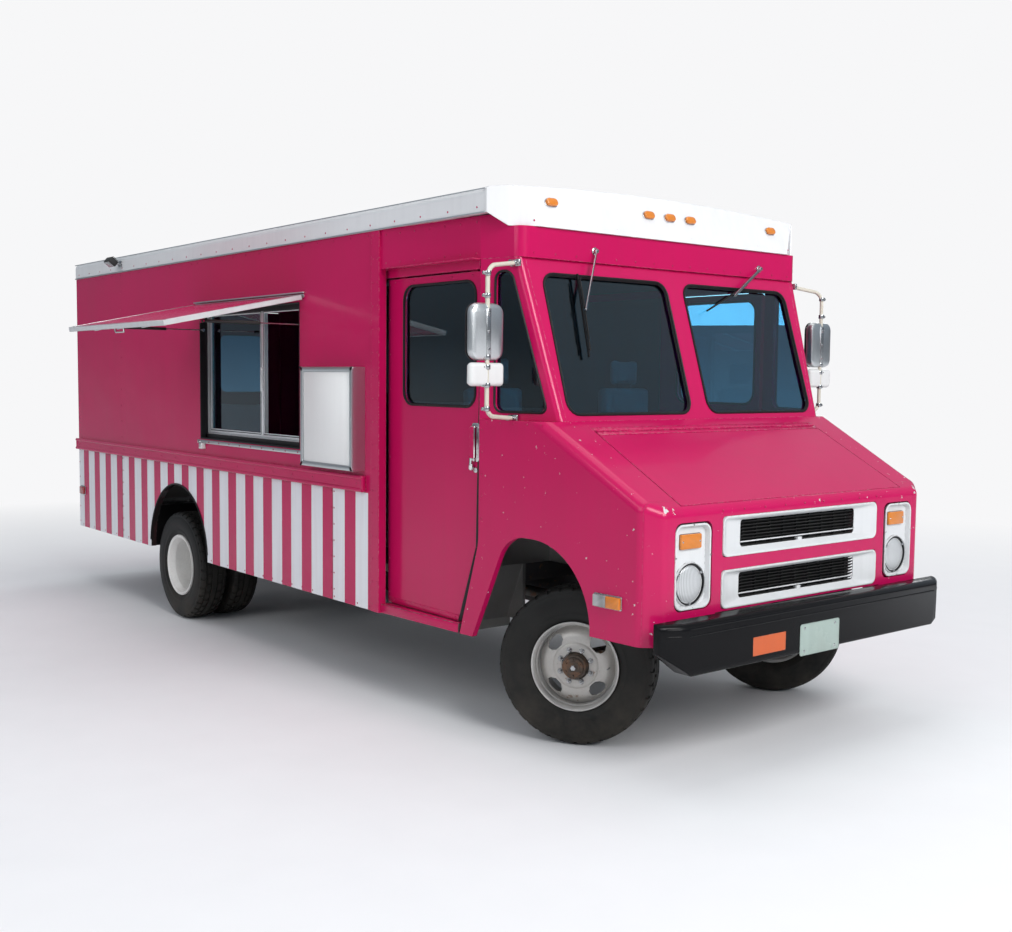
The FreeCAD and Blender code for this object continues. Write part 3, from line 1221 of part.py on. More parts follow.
def tie_rod():
    # between the two arm ends, which swing together
    rod = cylinder("tie_bar", "y", 11, "2 * kingpin_y - 30", 0, "15 - kingpin_y", 0)
    solids = [rod]
    bores = []
    for side, sign in (("left", 1), ("right", -1)):
        solids.append(cylinder(f"rod_eye_{side}", "z", 18, 24, 0, f"{sign} * kingpin_y", -12))
        bores.append(cylinder(f"rod_bore_{side}", "z", f"{PIN_RADIUS} + bearing_clearance", 60, 0,
                              f"{sign} * kingpin_y", -30))
    body = remove("tie_rod", join("tie_rod_blank", solids), join("tie_rod_bores", bores))
    place(body, "front_axle_x - 120 * cos(rest_steer)", "-120 * sin(rest_steer)", "axle_height - 47.7")
    keep(body, "tie_rod")


def rear_axle():
    pieces = [cylinder("axle_tube", "y", 55, "2 * (dual_middle_y - 124)", "rear_axle_x",
                       "124 - dual_middle_y", "axle_height"),
              cylinder("axle_spindle", "y", 30, "2 * (dual_middle_y + 54)", "rear_axle_x",
                       "-(dual_middle_y + 54)", "axle_height")]
    round_case = doc.addObject("Part::Sphere", "differential")
    round_case.Radius = 150
    place(round_case, "rear_axle_x", "0", "axle_height")
    gearbox_rear = ("front_axle_x - 677", "0", 620)
    pieces += [round_case, rods("drive_shaft", [(("rear_axle_x + 100", "0", "axle_height"),
                                                 gearbox_rear, 36)])]
    keep(join("rear_axle", pieces), "rear_axle")


def leaf_springs():
    # axle place, half length, seat height, leaf pack height
    springs = [("front_axle_x", 520, "axle_height + 40", 36), ("rear_axle_x", 640, "axle_height + 55", 56)]
    items = []
    for place_x, half, seat, thick in springs:
        for sign in (1, -1):
            level = "rail_outer - rail_width" if sign > 0 else "-rail_outer"
            eye = "rail_bottom"
            outline = [(f"{place_x} - 70", seat), (f"{place_x} + 70", seat),
                       (f"{place_x} + {half}", f"{eye} - 26"), (f"{place_x} + {half}", eye),
                       (f"{place_x} + {half} - 50", eye), (f"{place_x} + 70", f"{seat} + {thick}"),
                       (f"{place_x} - 70", f"{seat} + {thick}"), (f"{place_x} - {half} + 50", eye),
                       (f"{place_x} - {half}", eye), (f"{place_x} - {half}", f"{eye} - 26")]
            items.append(pad(new_body(f"leaf_spring_{len(items)}"), "side", level, "rail_width", outline))
    keep(group("leaf_springs", items), "leaf_springs")


# ---- drive, cab fittings, lamps and mirrors --------------------------------------------------

def engine_block():
    engine = box("engine", "engine_rear_x", "engine_front_x", -240, 240, "rail_bottom", 1080)
    gearbox = box("gearbox", "front_axle_x - 640", "engine_rear_x", -130, 130, "rail_bottom", 720)
    keep(join("engine_block", [engine, gearbox]), "engine_block")


def exhaust():
    across = "-(rail_outer + 80.3)"
    keep(join("exhaust_pipe",
              [cylinder("exhaust_tube", "x", 30, "front_axle_x - 475 - (rear_axle_x + 660)",
                        "rear_axle_x + 660", across, 620),
               cylinder("silencer", "x", 80, 620, "rear_axle_x + 1500", across, 620)]), "exhaust_pipe")


def fuel_tank():
    body = pad(new_body("fuel_tank"), "end", "rear_axle_x + 700", 1100,
               rectangle("rail_outer", "rail_outer + 460", 490, 730, 40))
    keep(body, "fuel_tank")


def dashboard():
    firewall = pad(new_body("firewall"), "end", "firewall_x", 25,
                   rectangle("190 - body_half_width", "body_half_width - 190", "floor_top", "belt - 34"),
                   rectangle(-265, 265, "floor_top + 20", 1150))
    shelf = pad(new_body("dash_shelf"), "side", "190 - body_half_width", "2 * (body_half_width - 190)",
                [("firewall_x - 140", 1380, 20), ("firewall_x", 1340), ("firewall_x", 1500),
                 ("firewall_x - 140", 1470, 30)])
    cover = box("engine_cover", "front_axle_x - 595", "firewall_x", -300, 300, "floor_top", 1260)
    room = box("engine_cover_room", "front_axle_x - 575", "firewall_x + 60", -265, 265,
               "floor_top - 10", 1240)
    boxes = [box(f"wheel_room_{side}", "firewall_x - 10", "firewall_x + 60", low, high,
                 "floor_top - 10", 1070.3)
             for side, low, high in (("left", "front_box_y - 20.3", "body_half_width - 70"),
                                     ("right", "70 - body_half_width", "20.3 - front_box_y"))]
    keep(remove("dashboard", join("dashboard_blank", [firewall, shelf, cover]),
                join("dashboard_rooms", [room] + boxes)), "dashboard")


def steering_column():
    hub = ("front_axle_x - 375", "seat_middle_y", 1335)
    lean = Vector(-math.sin(math.radians(30)), 0, math.cos(math.radians(30)))
    centre = Vector(value(hub[0]), value(hub[1]), hub[2])
    rim = doc.addObject("Part::Feature", "steering_rim")
    rim.Shape = Part.makeTorus(225, 13, centre, lean)
    across = lean.cross(Vector(0, 1, 0))
    runs = []
    for angle in (0, 120, 240):
        turn_angle = math.radians(angle)
        tip = centre + (Vector(0, 1, 0) * math.cos(turn_angle) + across * math.sin(turn_angle)) * 222
        runs.append((tuple(centre), tuple(tip), 8))
    foot = centre - lean * ((hub[2] - value("floor_top")) / lean.z)
    runs.append((tuple(centre), tuple(foot + lean * 30), 24))
    base = cylinder("column_base", "z", 45, 40, foot.x, foot.y, "floor_top")
    keep(join("steering_column", [rim, rods("steering_spokes", runs), base]), "steering_column")


def seats():
    items = []
    for side, middle in (("driver", "seat_middle_y"), ("passenger", "-seat_middle_y")):
        low, high = f"{middle} - 215", f"{middle} + 215"
        items.append(join(f"seat_{side}", [
            box(f"seat_post_{side}", "front_axle_x - 945", "front_axle_x - 665",
                f"{middle} - 130", f"{middle} + 130", "floor_top", 1160),
            box(f"seat_cushion_{side}", "front_axle_x - 1015", "front_axle_x - 615", low, high, 1160, 1270),
            box(f"seat_back_{side}", "front_axle_x - 1075", "front_axle_x - 985", low, high, 1200, 1760),
            box(f"seat_head_{side}", "front_axle_x - 1065", "front_axle_x - 1000",
                f"{middle} - 120", f"{middle} + 120", 1760, 1930)]))
    keep(group("seats", items), "seats")


def mirrors():
    items = []
    for side, sign in (("left", 1), ("right", -1)):
        arm_x, bar_x = "quarter_rear_x + 208", "quarter_rear_x + 272"
        bar_y = f"{sign} * (mirror_reach - 105)"
        top = ("header_x - 33", f"{sign} * ({quarter_y('(header_x - 33)')} + 11)", "header_bottom - 30")
        foot = (arm_x, f"{sign} * ({quarter_y('(' + arm_x + ')')} + 20)", "belt + 10")
        upper, lower = (bar_x, bar_y, 2335), (bar_x, bar_y, 1625)
        bars = rods(f"mirror_bars_{side}", [(top, upper, 10), (upper, lower, 10), (lower, foot, 10)])
        head = box(f"mirror_head_{side}", f"{bar_x} - 45", f"{bar_x} + 12",
                   f"{bar_y} - 100", f"{bar_y} + 100", 1887, 2162)
        wide = box(f"wide_mirror_{side}", f"{bar_x} - 35", f"{bar_x} + 12",
                   f"{bar_y} - 105", f"{bar_y} + 105", 1764, 1882)
        base = box(f"mirror_foot_{side}", f"{arm_x} - 25", f"{arm_x} + 25",
                   f"{foot[1]} - 14", f"{foot[1]} + 14", "belt", "belt + 8")
        items.append(join(f"mirror_{side}", [bars, head, wide, base]))
    keep(group("mirrors", items), "mirrors")


def wipers():
    # pivot, elbow and the blade's two ends: place from the body side's face, and height
    slope = "windshield_top_back / (header_bottom - belt)"
    rows = [("right", -1, (-594, 2454), (-447, 2150), (-461, 2327), (-429, 1912)),
            ("left", 1, (-453, 2447), (-728, 2278), (-570, 2345), (-958, 2180))]

    def on_glass(point, off):
        across, height = point
        return (f"belt_x - ({height} - belt) * {slope} + {off}", across, height)
    items = []
    for side, sign, *points in rows:
        pivot, elbow, first, last = [(f"{sign} * (body_half_width + {inset})", height)
                                     for inset, height in points]
        boss = ("header_x + 14", pivot[0], pivot[1])
        start = ("header_x", pivot[0], pivot[1])
        items.append(rods(f"wiper_{side}", [(start, boss, 12), (boss, on_glass(elbow, 38), 6),
                                            (on_glass(first, 30), on_glass(last, 30), 8),
                                            (on_glass(elbow, 38), on_glass(elbow, 30), 4)]))
    keep(group("wipers", items), "wipers")


def marker_lamps():
    items = []
    cap_face = "header_x + 15 - 0.4 * (2673 - header_bottom - 151)"
    tilt = math.degrees(math.atan(0.4))
    outer = "body_half_width - 323"
    for number, middle in enumerate((f"-({outer})", -161, 0, 161, outer)):
        lamp = box(f"clearance_lamp_{number}", 0, 22, 0, 76, 0, 44)
        lamp.Placement = Placement(Vector(), Rotation(Vector(0, 1, 0), -tilt))
        place(lamp, f"{cap_face} + 8.5", f"{middle} - 38", 2673 - 21)
        items.append(lamp)
    for side, sign in (("left", 1), ("right", -1)):
        middle = "front_axle_x + 515"
        across = f"cab_side_y - cab_taper * ({middle} - 83 - pillar_front_x)"
        lamp = box(f"side_marker_{side}", 0, 166, 0, 20, 776, 836)
        taper = math.degrees(math.atan(value("cab_taper")))
        lamp.Placement = Placement(Vector(), Rotation(Vector(0, 0, 1), -sign * taper))
        place(lamp, f"{middle} - 83" if sign > 0 else f"{middle} - 83 + 20 * cab_taper",
              across if sign > 0 else f"-({across}) - 20", 776)
        items.append(lamp)
        low, high = ("body_half_width", "body_half_width + 18") if sign > 0 else \
            ("-(body_half_width + 18)", "-body_half_width")
        items.append(box(f"rear_marker_{side}", "body_rear_x + 40", "body_rear_x + 110", low, high,
                         990, 1040))
        for word, height in (("tail", 1080), ("high", 2480)):
            near, far = "body_half_width - 230", "body_half_width - 130"
            if sign < 0:
                near, far = f"-({far})", f"-({near})"
            items.append(box(f"{word}_lamp_{side}", "body_rear_x - 30", "body_rear_x", near, far,
                             height, height + (170 if word == "tail" else 50)))
    keep(group("marker_lamps", items), "marker_lamps")


# ---- the whole truck -------------------------------------------------------------------------

chassis_frame()
truck_floor()
for side, sign in (("right", -1), ("left", 1)):
    body_side(side, sign)
    rear_door(side, sign)
    rear_door_glass(side, sign)
    cab_door_plate(side, sign)
    door_glass(side, sign)
    front_wheel(side, sign)
    rear_wheels(side, sign)
    knuckle(side, sign)
rear_frame()
roof()
front_cap()
cab_header()
keep(group("quarter_panels", [quarter_panel(1), quarter_panel(-1)]), "quarter_panels")
windshield_frame()
keep(group("window_glass", [windshield_glass(1), windshield_glass(-1), quarter_glass(1),
                            quarter_glass(-1), service_glass()]), "window_glass")
shell = front_shell()
fenders(shell)
cowl_panel(shell)
hood(shell)
nose_panel(shell)
keep(group("grilles", [grille(*row) for row in GRILLES]), "grilles")
keep(group("headlamp_bezels", [headlamp_bezel(1), headlamp_bezel(-1)]), "headlamp_bezels")
keep(group("headlamps", lamps(1) + lamps(-1)), "headlamps")
front_bumper()
rear_step()
door_tracks()
service_window()
serving_flap()
strut("front")
strut("rear")
menu_case()
front_axle()
tie_rod()
rear_axle()
leaf_springs()
engine_block()
exhaust()
fuel_tank()
dashboard()
steering_column()
seats()
mirrors()
wipers()
marker_lamps()

for node in nodes:
    placed = dict(node.ExpressionEngine)
    base_y = placed.get("Placement.Base.y", placed.get(".Placement.Base.y", "0"))
    node.setExpression("Placement.Base.y", f"({base_y}) + {bound('centreline_y')}")
doc.recompute()

failed = [item.Label for item in doc.Objects if "Invalid" in item.State or "Error" in item.State]
failed += [node.Label for node in nodes if node.Shape.isNull() or not node.Shape.isValid()]
if failed:
    raise RuntimeError(f"not built: {failed}")
os.makedirs("parts", exist_ok=True)
for node in nodes:
    node.Shape.exportStep(f"parts/{node.Label}.step")
print(f"{len(nodes)} sub-parts written")
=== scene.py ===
import json
import math

import bmesh
import bpy
from mathutils import Matrix, Vector

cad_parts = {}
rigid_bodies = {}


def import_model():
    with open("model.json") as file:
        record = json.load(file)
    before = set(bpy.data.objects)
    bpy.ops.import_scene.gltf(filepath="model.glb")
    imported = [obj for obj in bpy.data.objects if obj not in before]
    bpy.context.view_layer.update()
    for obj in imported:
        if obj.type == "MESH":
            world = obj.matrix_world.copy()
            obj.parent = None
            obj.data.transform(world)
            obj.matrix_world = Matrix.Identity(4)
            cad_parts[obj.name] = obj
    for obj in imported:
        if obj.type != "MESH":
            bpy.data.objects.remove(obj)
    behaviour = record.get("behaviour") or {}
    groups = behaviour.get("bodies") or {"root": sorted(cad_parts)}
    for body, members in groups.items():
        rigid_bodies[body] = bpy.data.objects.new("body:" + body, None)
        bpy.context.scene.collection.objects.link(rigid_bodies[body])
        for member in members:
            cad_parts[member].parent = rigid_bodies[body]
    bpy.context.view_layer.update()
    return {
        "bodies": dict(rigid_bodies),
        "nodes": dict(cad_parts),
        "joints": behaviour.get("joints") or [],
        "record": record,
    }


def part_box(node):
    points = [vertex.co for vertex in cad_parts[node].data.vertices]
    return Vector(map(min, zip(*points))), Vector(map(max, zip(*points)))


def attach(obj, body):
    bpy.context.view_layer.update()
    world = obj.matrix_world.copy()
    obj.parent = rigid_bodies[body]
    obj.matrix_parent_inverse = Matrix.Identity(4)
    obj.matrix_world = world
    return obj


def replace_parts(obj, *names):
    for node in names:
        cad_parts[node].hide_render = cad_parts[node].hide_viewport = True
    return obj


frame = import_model()
nodes = frame["nodes"]
roofLow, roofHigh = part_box("roof")
middleY = (roofLow.y + roofHigh.y) / 2  # the truck's centreline
print("frame loaded", len(nodes), "nodes")


def spot(x, y, z):  # y is measured from the truck's centreline
    return Vector((x, y + middleY, z))


# camera, light and floor

view = {"place": (6.978, -4.769, 1.812), "yaw": 141.083, "pitch": -4.278, "roll": 0.5786, "lens": 42.35}


def aimCamera():
    yaw, pitch, roll = (math.radians(view[k]) for k in ("yaw", "pitch", "roll"))
    ahead = Vector((math.cos(pitch) * math.cos(yaw), math.cos(pitch) * math.sin(yaw), math.sin(pitch)))
    right = Vector((math.sin(yaw), -math.cos(yaw), 0))
    up = right.cross(ahead)
    tiltedRight = right * math.cos(roll) + up * math.sin(roll)
    tiltedUp = up * math.cos(roll) - right * math.sin(roll)
    turn = Matrix((tiltedRight, tiltedUp, -ahead)).transposed()
    bpy.ops.object.camera_add(location=spot(*view["place"]), rotation=turn.to_euler())
    camera = bpy.context.object
    camera.name = "streetCamera"
    camera.data.lens = view["lens"]
    camera.data.sensor_width = 36
    camera.data.clip_end = 200
    bpy.context.scene.camera = camera


lamps = [
    # name, place, looks at, size, power
    ("frontKey", (13.0, -1.5, 8.0), (1.5, -0.2, 1.2), 6.0, 1250),
    ("curbFill", (2.5, -12.0, 7.0), (-0.5, -0.4, 1.2), 7.0, 330),
    ("driverFill", (-7.0, 11.0, 6.5), (0.0, 0.3, 1.2), 8.0, 520),
    ("topSoft", (0.0, 0.0, 11.0), (0.0, 0.0, 0.0), 9.0, 330),
]


def lightTruck():
    for name, place, target, size, power in lamps:
        here = spot(*place)
        aim = (spot(*target) - here).to_track_quat("-Z", "Y").to_euler()
        bpy.ops.object.light_add(type="AREA", location=here, rotation=aim)
        lamp = bpy.context.object
        lamp.name = name
        lamp.data.size = size
        lamp.data.energy = power
    world = bpy.data.worlds.new("paleSky")
    bpy.context.scene.world = world
    world.use_nodes = True
    tree = world.node_tree
    backdrop = tree.nodes["Background"]
    backdrop.inputs["Strength"].default_value = 0.46
    # a soft sky with a darker band at eye height, so that glass and paint have something to mirror
    height = partsOf(tree, addNode(tree, "TexCoord").outputs["Generated"])["Z"]
    sky = addRamp(tree, ranged(tree, height, -0.35, 0.65), [
        (0.0, (0.50, 0.50, 0.51)), (0.33, (0.60, 0.62, 0.65)), (0.38, (0.30, 0.33, 0.37)),
        (0.47, (0.42, 0.47, 0.54)), (0.60, (0.66, 0.78, 0.92)), (1.0, (0.86, 0.93, 1.0))])
    tree.links.new(sky, backdrop.inputs["Color"])
    seen = addNode(tree, "Background", {"Color": (0.93, 0.93, 0.94, 1), "Strength": 1.0})
    rays = addNode(tree, "LightPath")
    mixer = addNode(tree, "MixShader", {0: rays.outputs["Is Camera Ray"], 1: backdrop.outputs[0],
                                        2: seen.outputs[0]})
    tree.links.new(mixer.outputs[0], tree.nodes["World Output"].inputs["Surface"])


def layFloor():
    bpy.ops.mesh.primitive_plane_add(size=120, location=(0, 0, -0.002))
    floor = bpy.context.object
    floor.name = "studioFloor"
    finish, tree, shader = newFinish("studioFloorPale", (0.80, 0.80, 0.81), 0.9)
    tint = blendColour(tree, noiseOf(tree, objectPlace(tree), 3.0, 4.0), (0.80, 0.80, 0.81),
                       (0.84, 0.84, 0.85))
    tree.links.new(tint, shader.inputs["Base Color"])
    # the floor melts into the backdrop for the camera, and keeps the truck's shadow
    rays = addNode(tree, "LightPath")
    glow = addNode(tree, "Emission", {"Color": (0.93, 0.93, 0.94, 1), "Strength": 1.0})
    far = addNode(tree, "VectorMath", {0: objectPlace(tree)}, operation="LENGTH").outputs["Value"]
    seen = maths(tree, "MULTIPLY", ranged(tree, far, 4.0, 10.0), rays.outputs["Is Camera Ray"])
    mixer = addNode(tree, "MixShader", {0: seen, 1: shader.outputs[0], 2: glow.outputs[0]})
    tree.links.new(mixer.outputs[0], tree.nodes["Material Output"].inputs["Surface"])
    dress(floor, finish)


# node helpers

def addNode(tree, kind, inlets=None, **settings):
    node = tree.nodes.new("ShaderNode" + kind)
    for key, item in settings.items():
        setattr(node, key, item)
    for key, item in (inlets or {}).items():
        if isinstance(item, bpy.types.NodeSocket):
            tree.links.new(item, node.inputs[key])
        else:
            node.inputs[key].default_value = item
    return node


def maths(tree, operation, *values, **settings):
    return addNode(tree, "Math", dict(enumerate(values)), operation=operation, **settings).outputs[0]


def ranged(tree, source, low, high, *results):  # low to high becomes 0 to 1, or the two results
    return addNode(tree, "MapRange", dict(enumerate((source, low, high, *results)))).outputs[0]


def partsOf(tree, vector):
    return addNode(tree, "SeparateXYZ", {0: vector}).outputs


def noiseOf(tree, place, scale, detail, roughness=0.5):
    return addNode(tree, "TexNoise", {"Vector": place, "Scale": scale, "Detail": detail,
                                      "Roughness": roughness}).outputs["Fac"]


def addRamp(tree, source, stops):
    node = addNode(tree, "ValToRGB", {0: source})
    marks = node.color_ramp.elements
    while len(marks) < len(stops):
        marks.new(0.5)
    for mark, (place, colour) in zip(marks, stops):
        mark.position = place
        mark.color = (*colour, 1)
    return node.outputs[0]


def blendColour(tree, mask, first, second):
    node = addNode(tree, "Mix", {0: mask}, data_type="RGBA")
    for key, item in ((6, first), (7, second)):
        if isinstance(item, bpy.types.NodeSocket):
            tree.links.new(item, node.inputs[key])
        else:
            node.inputs[key].default_value = (*item, 1)
    return node.outputs[2]


def objectPlace(tree):
    return addNode(tree, "TexCoord").outputs["Object"]


def newFinish(name, colour, roughness, metallic=0.0):
    finish = bpy.data.materials.new(name)
    finish.use_nodes = True
    finish.diffuse_color = (*colour, 1)
    shader = finish.node_tree.nodes["Principled BSDF"]
    shader.inputs["Base Color"].default_value = (*colour, 1)
    shader.inputs["Roughness"].default_value = roughness
    shader.inputs["Metallic"].default_value = metallic
    return finish, finish.node_tree, shader


def dress(piece, finish):
    piece.data.materials.clear()
    piece.data.materials.append(finish)


def effectGroup(name, inlets, outlets):
    tree = bpy.data.node_groups.new(name, "ShaderNodeTree")
    for label, start in inlets:
        socket = tree.interface.new_socket(label, in_out="INPUT", socket_type="NodeSocketFloat")
        socket.default_value = start
    for label in outlets:
        tree.interface.new_socket(label, in_out="OUTPUT", socket_type="NodeSocketFloat")
    return tree, tree.nodes.new("NodeGroupInput").outputs, tree.nodes.new("NodeGroupOutput").inputs


def useEffect(tree, group, **amounts):
    node = tree.nodes.new("ShaderNodeGroup")
    node.node_tree = group
    for label, amount in amounts.items():
        node.inputs[label].default_value = amount
    return node.outputs


def makeEdgeWear():  # bare edges, broken up by noise
    tree, given, result = effectGroup("edgeWear", [("Width", 0.004), ("Amount", 0.5), ("Scale", 40)],
                                      ["Mask"])
    rounded = addNode(tree, "Bevel", {"Radius": given["Width"]}, samples=4).outputs[0]
    facing = addNode(tree, "NewGeometry").outputs["Normal"]
    alike = addNode(tree, "VectorMath", {0: rounded, 1: facing}, operation="DOT_PRODUCT").outputs["Value"]
    broken = ranged(tree, noiseOf(tree, objectPlace(tree), given["Scale"], 5.0), 0.46, 0.60)
    worn = maths(tree, "MULTIPLY", ranged(tree, alike, 0.985, 0.80), broken)
    tree.links.new(maths(tree, "MULTIPLY", worn, given["Amount"]), result["Mask"])
    return tree


def upwardFacing(tree, low, high):
    return ranged(tree, partsOf(tree, addNode(tree, "NewGeometry").outputs["Normal"])["Z"], low, high)


def makeDust():  # road dirt: heavier low down, and on faces that look up
    tree, given, result = effectGroup("roadDust", [("Top", 1.0), ("Amount", 0.5), ("Settled", 0.15)],
                                      ["Mask"])
    place = objectPlace(tree)
    low = maths(tree, "POWER", ranged(tree, partsOf(tree, place)["Z"], given["Top"], 0.1), 1.6)
    patch = ranged(tree, noiseOf(tree, place, 7.0, 8.0, 0.65), 0.32, 0.68)
    thrown = maths(tree, "MULTIPLY", maths(tree, "MULTIPLY", low, patch), given["Amount"])
    fallen = maths(tree, "MULTIPLY", maths(tree, "MULTIPLY", upwardFacing(tree, 0.5, 1.0),
                                           given["Settled"]), patch)
    tree.links.new(maths(tree, "ADD", thrown, fallen, use_clamp=True), result["Mask"])
    return tree


def makeStreaks():  # rain runs, long in Z
    tree, given, result = effectGroup("rainRuns", [("Density", 22.0)], ["Mask"])
    stretch = addNode(tree, "Mapping", {"Vector": objectPlace(tree), "Scale": (1.0, 1.0, 0.06)}).outputs[0]
    tree.links.new(ranged(tree, noiseOf(tree, stretch, given["Density"], 5.0), 0.42, 0.72), result["Mask"])
    return tree


def makeRipple():  # sheet metal that isn't quite flat, and the paint's fine texture
    tree, given, result = effectGroup("sheetRipple", [("Wave", 1.0), ("Grain", 0.1)], ["Height"])
    place = objectPlace(tree)
    wave = maths(tree, "MULTIPLY", noiseOf(tree, place, 2.3, 1.0), given["Wave"])
    grain = maths(tree, "MULTIPLY", noiseOf(tree, place, 260.0, 2.0), given["Grain"])
    tree.links.new(maths(tree, "ADD", wave, grain), result["Height"])
    return tree


edgeWear, roadDust, rainRuns, sheetRipple = makeEdgeWear(), makeDust(), makeStreaks(), makeRipple()
dirt = (0.20, 0.165, 0.125)


def addBump(tree, shader, height, distance, strength, rounding=0.0):
    bump = addNode(tree, "Bump", {"Height": height, "Distance": distance, "Strength": strength})
    if rounding:
        soft = addNode(tree, "Bevel", {"Radius": rounding}, samples=4)
        tree.links.new(soft.outputs[0], bump.inputs["Normal"])
    tree.links.new(bump.outputs[0], shader.inputs["Normal"])


def varyRoughness(tree, shader, mask, low, high):
    tree.links.new(ranged(tree, mask, 0.0, 1.0, low, high), shader.inputs["Roughness"])


def combined(tree, operation, masks):
    total = masks[0]
    for mask in masks[1:]:
        total = maths(tree, operation, total, mask)
    return total


def shaded(colour, share, lift=0.0):
    return tuple(part * share + lift for part in colour)


def paintFinish(name, colour, coat=0.28, gloss=0.24, runs=0.10, chips=0.5, primer=(0.45, 0.42, 0.42),
                dust=0.06, dustTop=0.95, settled=0.02, wave=1.0, **marks):
    # glossy coach paint: dust low down, runs, chipped edges, faint ripple
    finish, tree, shader = newFinish(name, colour, 0.32)
    shader.inputs["Coat Weight"].default_value = coat
    shader.inputs["Specular IOR Level"].default_value = 0.20
    shader.inputs["Coat Roughness"].default_value = 0.08
    tint = blendColour(tree, noiseOf(tree, objectPlace(tree), 1.1, 3.0), colour, shaded(colour, 0.86))
    if "stripes" in marks:
        tint = stripedSide(tree, tint, marks["stripes"])
    if "edging" in marks:
        tint = edgedFlap(tree, tint, marks["edging"])
    if "peeled" in marks:
        tint = blendColour(tree, peelMask(tree, marks["peeled"]), tint, (0.62, 0.60, 0.60))
    faint = maths(tree, "MULTIPLY", useEffect(tree, rainRuns)["Mask"], runs)
    tint = blendColour(tree, faint, tint, shaded(colour, 0.55, 0.02))
    worn = useEffect(tree, edgeWear, Width=0.005, Amount=chips, Scale=55)["Mask"]
    tint = blendColour(tree, worn, tint, primer)
    dusty = useEffect(tree, roadDust, Top=dustTop, Amount=dust, Settled=settled)["Mask"]
    tree.links.new(blendColour(tree, dusty, tint, dirt), shader.inputs["Base Color"])
    varyRoughness(tree, shader, dusty, gloss, 0.70)
    ripple = useEffect(tree, sheetRipple, Wave=wave, Grain=0.012)["Height"]
    addBump(tree, shader, ripple, 0.012, 0.55, rounding=0.004)
    return finish


def stripedSide(tree, tint, stripe):
    # upright bands on the outer skin, bare grey lining inside, painted shade on the cut edge round the wheel
    # arch
    place = partsOf(tree, objectPlace(tree))
    away = maths(tree, "ABSOLUTE", maths(tree, "SUBTRACT", place["Y"], middleY))
    along = maths(tree, "SUBTRACT", place["X"], stripe["start"])
    phase = maths(tree, "FLOORED_MODULO", along, stripe["pitch"])
    edge = stripe["soft"]
    bands = combined(tree, "MULTIPLY", [
        ranged(tree, place["Z"], stripe["low"] - edge, stripe["low"] + edge),
        ranged(tree, place["Z"], stripe["high"] + edge, stripe["high"] - edge),
        maths(tree, "LESS_THAN", phase, stripe["width"]),
        maths(tree, "LESS_THAN", along, stripe["pitch"] * stripe["count"]),
        maths(tree, "GREATER_THAN", along, 0.0), maths(tree, "GREATER_THAN", away, stripe["skin"])])
    tint = blendColour(tree, bands, tint, (0.80, 0.81, 0.84))
    tint = blendColour(tree, ranged(tree, away, 1.1315, 1.1305), tint, (0.11, 0.11, 0.115))
    # painted shade: the arch's cut edge, low down, is coloured near black
    fromArch = maths(tree, "ABSOLUTE", maths(tree, "SUBTRACT", place["X"], stripe["arch"]))
    archEdgeShade = combined(tree, "MULTIPLY", [
        ranged(tree, away, 1.1690, 1.1680), ranged(tree, place["Z"], 1.020, 1.015),
        ranged(tree, fromArch, 0.560, 0.555)])
    return blendColour(tree, archEdgeShade, tint, (0.020, 0.018, 0.017))


def edgedFlap(tree, tint, edging):
    # folded aluminium along the flap's two ends and its free edge
    place = addNode(tree, "VectorMath", {0: objectPlace(tree), 1: spot(*edging["hinge"])},
                    operation="SUBTRACT").outputs[0]
    ends = maths(tree, "ABSOLUTE", partsOf(tree, place)["X"])
    out = addNode(tree, "VectorMath", {0: place, 1: edging["out"]}, operation="DOT_PRODUCT").outputs["Value"]
    trim = maths(tree, "MAXIMUM", ranged(tree, ends, edging["half"] - 0.0005, edging["half"] + 0.0005),
                 ranged(tree, out, edging["reach"] - 0.0005, edging["reach"] + 0.0005))
    return blendColour(tree, trim, tint, (0.62, 0.63, 0.64))


def peelMask(tree, patches):
    # flaked patches near the given places
    place = objectPlace(tree)
    near = []
    for at, reach in patches:
        away = addNode(tree, "VectorMath", {0: place, 1: spot(*at)}, operation="DISTANCE").outputs["Value"]
        near.append(ranged(tree, away, reach, 0.0, 0.0, 0.24))
    flaked = combined(tree, "MAXIMUM", near)
    return ranged(tree, maths(tree, "ADD", noiseOf(tree, place, 34.0, 6.0, 0.6), flaked), 0.690, 0.705)


def metalFinish(name, colour, metallic=1.0, shine=0.5, scale=90.0, rust=0.2, rustColour=(0.16, 0.075, 0.04),
                wear=0.3, dust=0.6, dustTop=1.0, settled=0.25, gloss=(0.28, 0.85), relief=0.0006):
    # metal, plain or painted: brushed or pitted, rust where it is worn, dirt low down
    finish, tree, shader = newFinish(name, colour, 0.35, metallic)
    shader.inputs["Specular IOR Level"].default_value = shine
    place = objectPlace(tree)
    grain = noiseOf(tree, place, scale, 6.0, 0.6)
    tint = blendColour(tree, grain, shaded(colour, 0.80), colour)
    edge = 0.72 - 0.30 * rust
    specks = ranged(tree, noiseOf(tree, place, 14.0, 8.0, 0.7), edge, edge + 0.07)
    worn = useEffect(tree, edgeWear, Width=0.003, Amount=wear, Scale=70)["Mask"]
    rusty = maths(tree, "MAXIMUM", specks, worn)
    dusty = useEffect(tree, roadDust, Top=dustTop, Amount=dust, Settled=settled)["Mask"]
    tint = blendColour(tree, dusty, blendColour(tree, rusty, tint, rustColour), dirt)
    tree.links.new(tint, shader.inputs["Base Color"])
    spoiled = maths(tree, "MAXIMUM", rusty, dusty)
    varyRoughness(tree, shader, spoiled, *gloss)
    if metallic:
        tree.links.new(ranged(tree, spoiled, 0.0, 1.0, metallic, 0.0), shader.inputs["Metallic"])
    addBump(tree, shader, grain, relief, 0.6, rounding=0.002)
    return finish


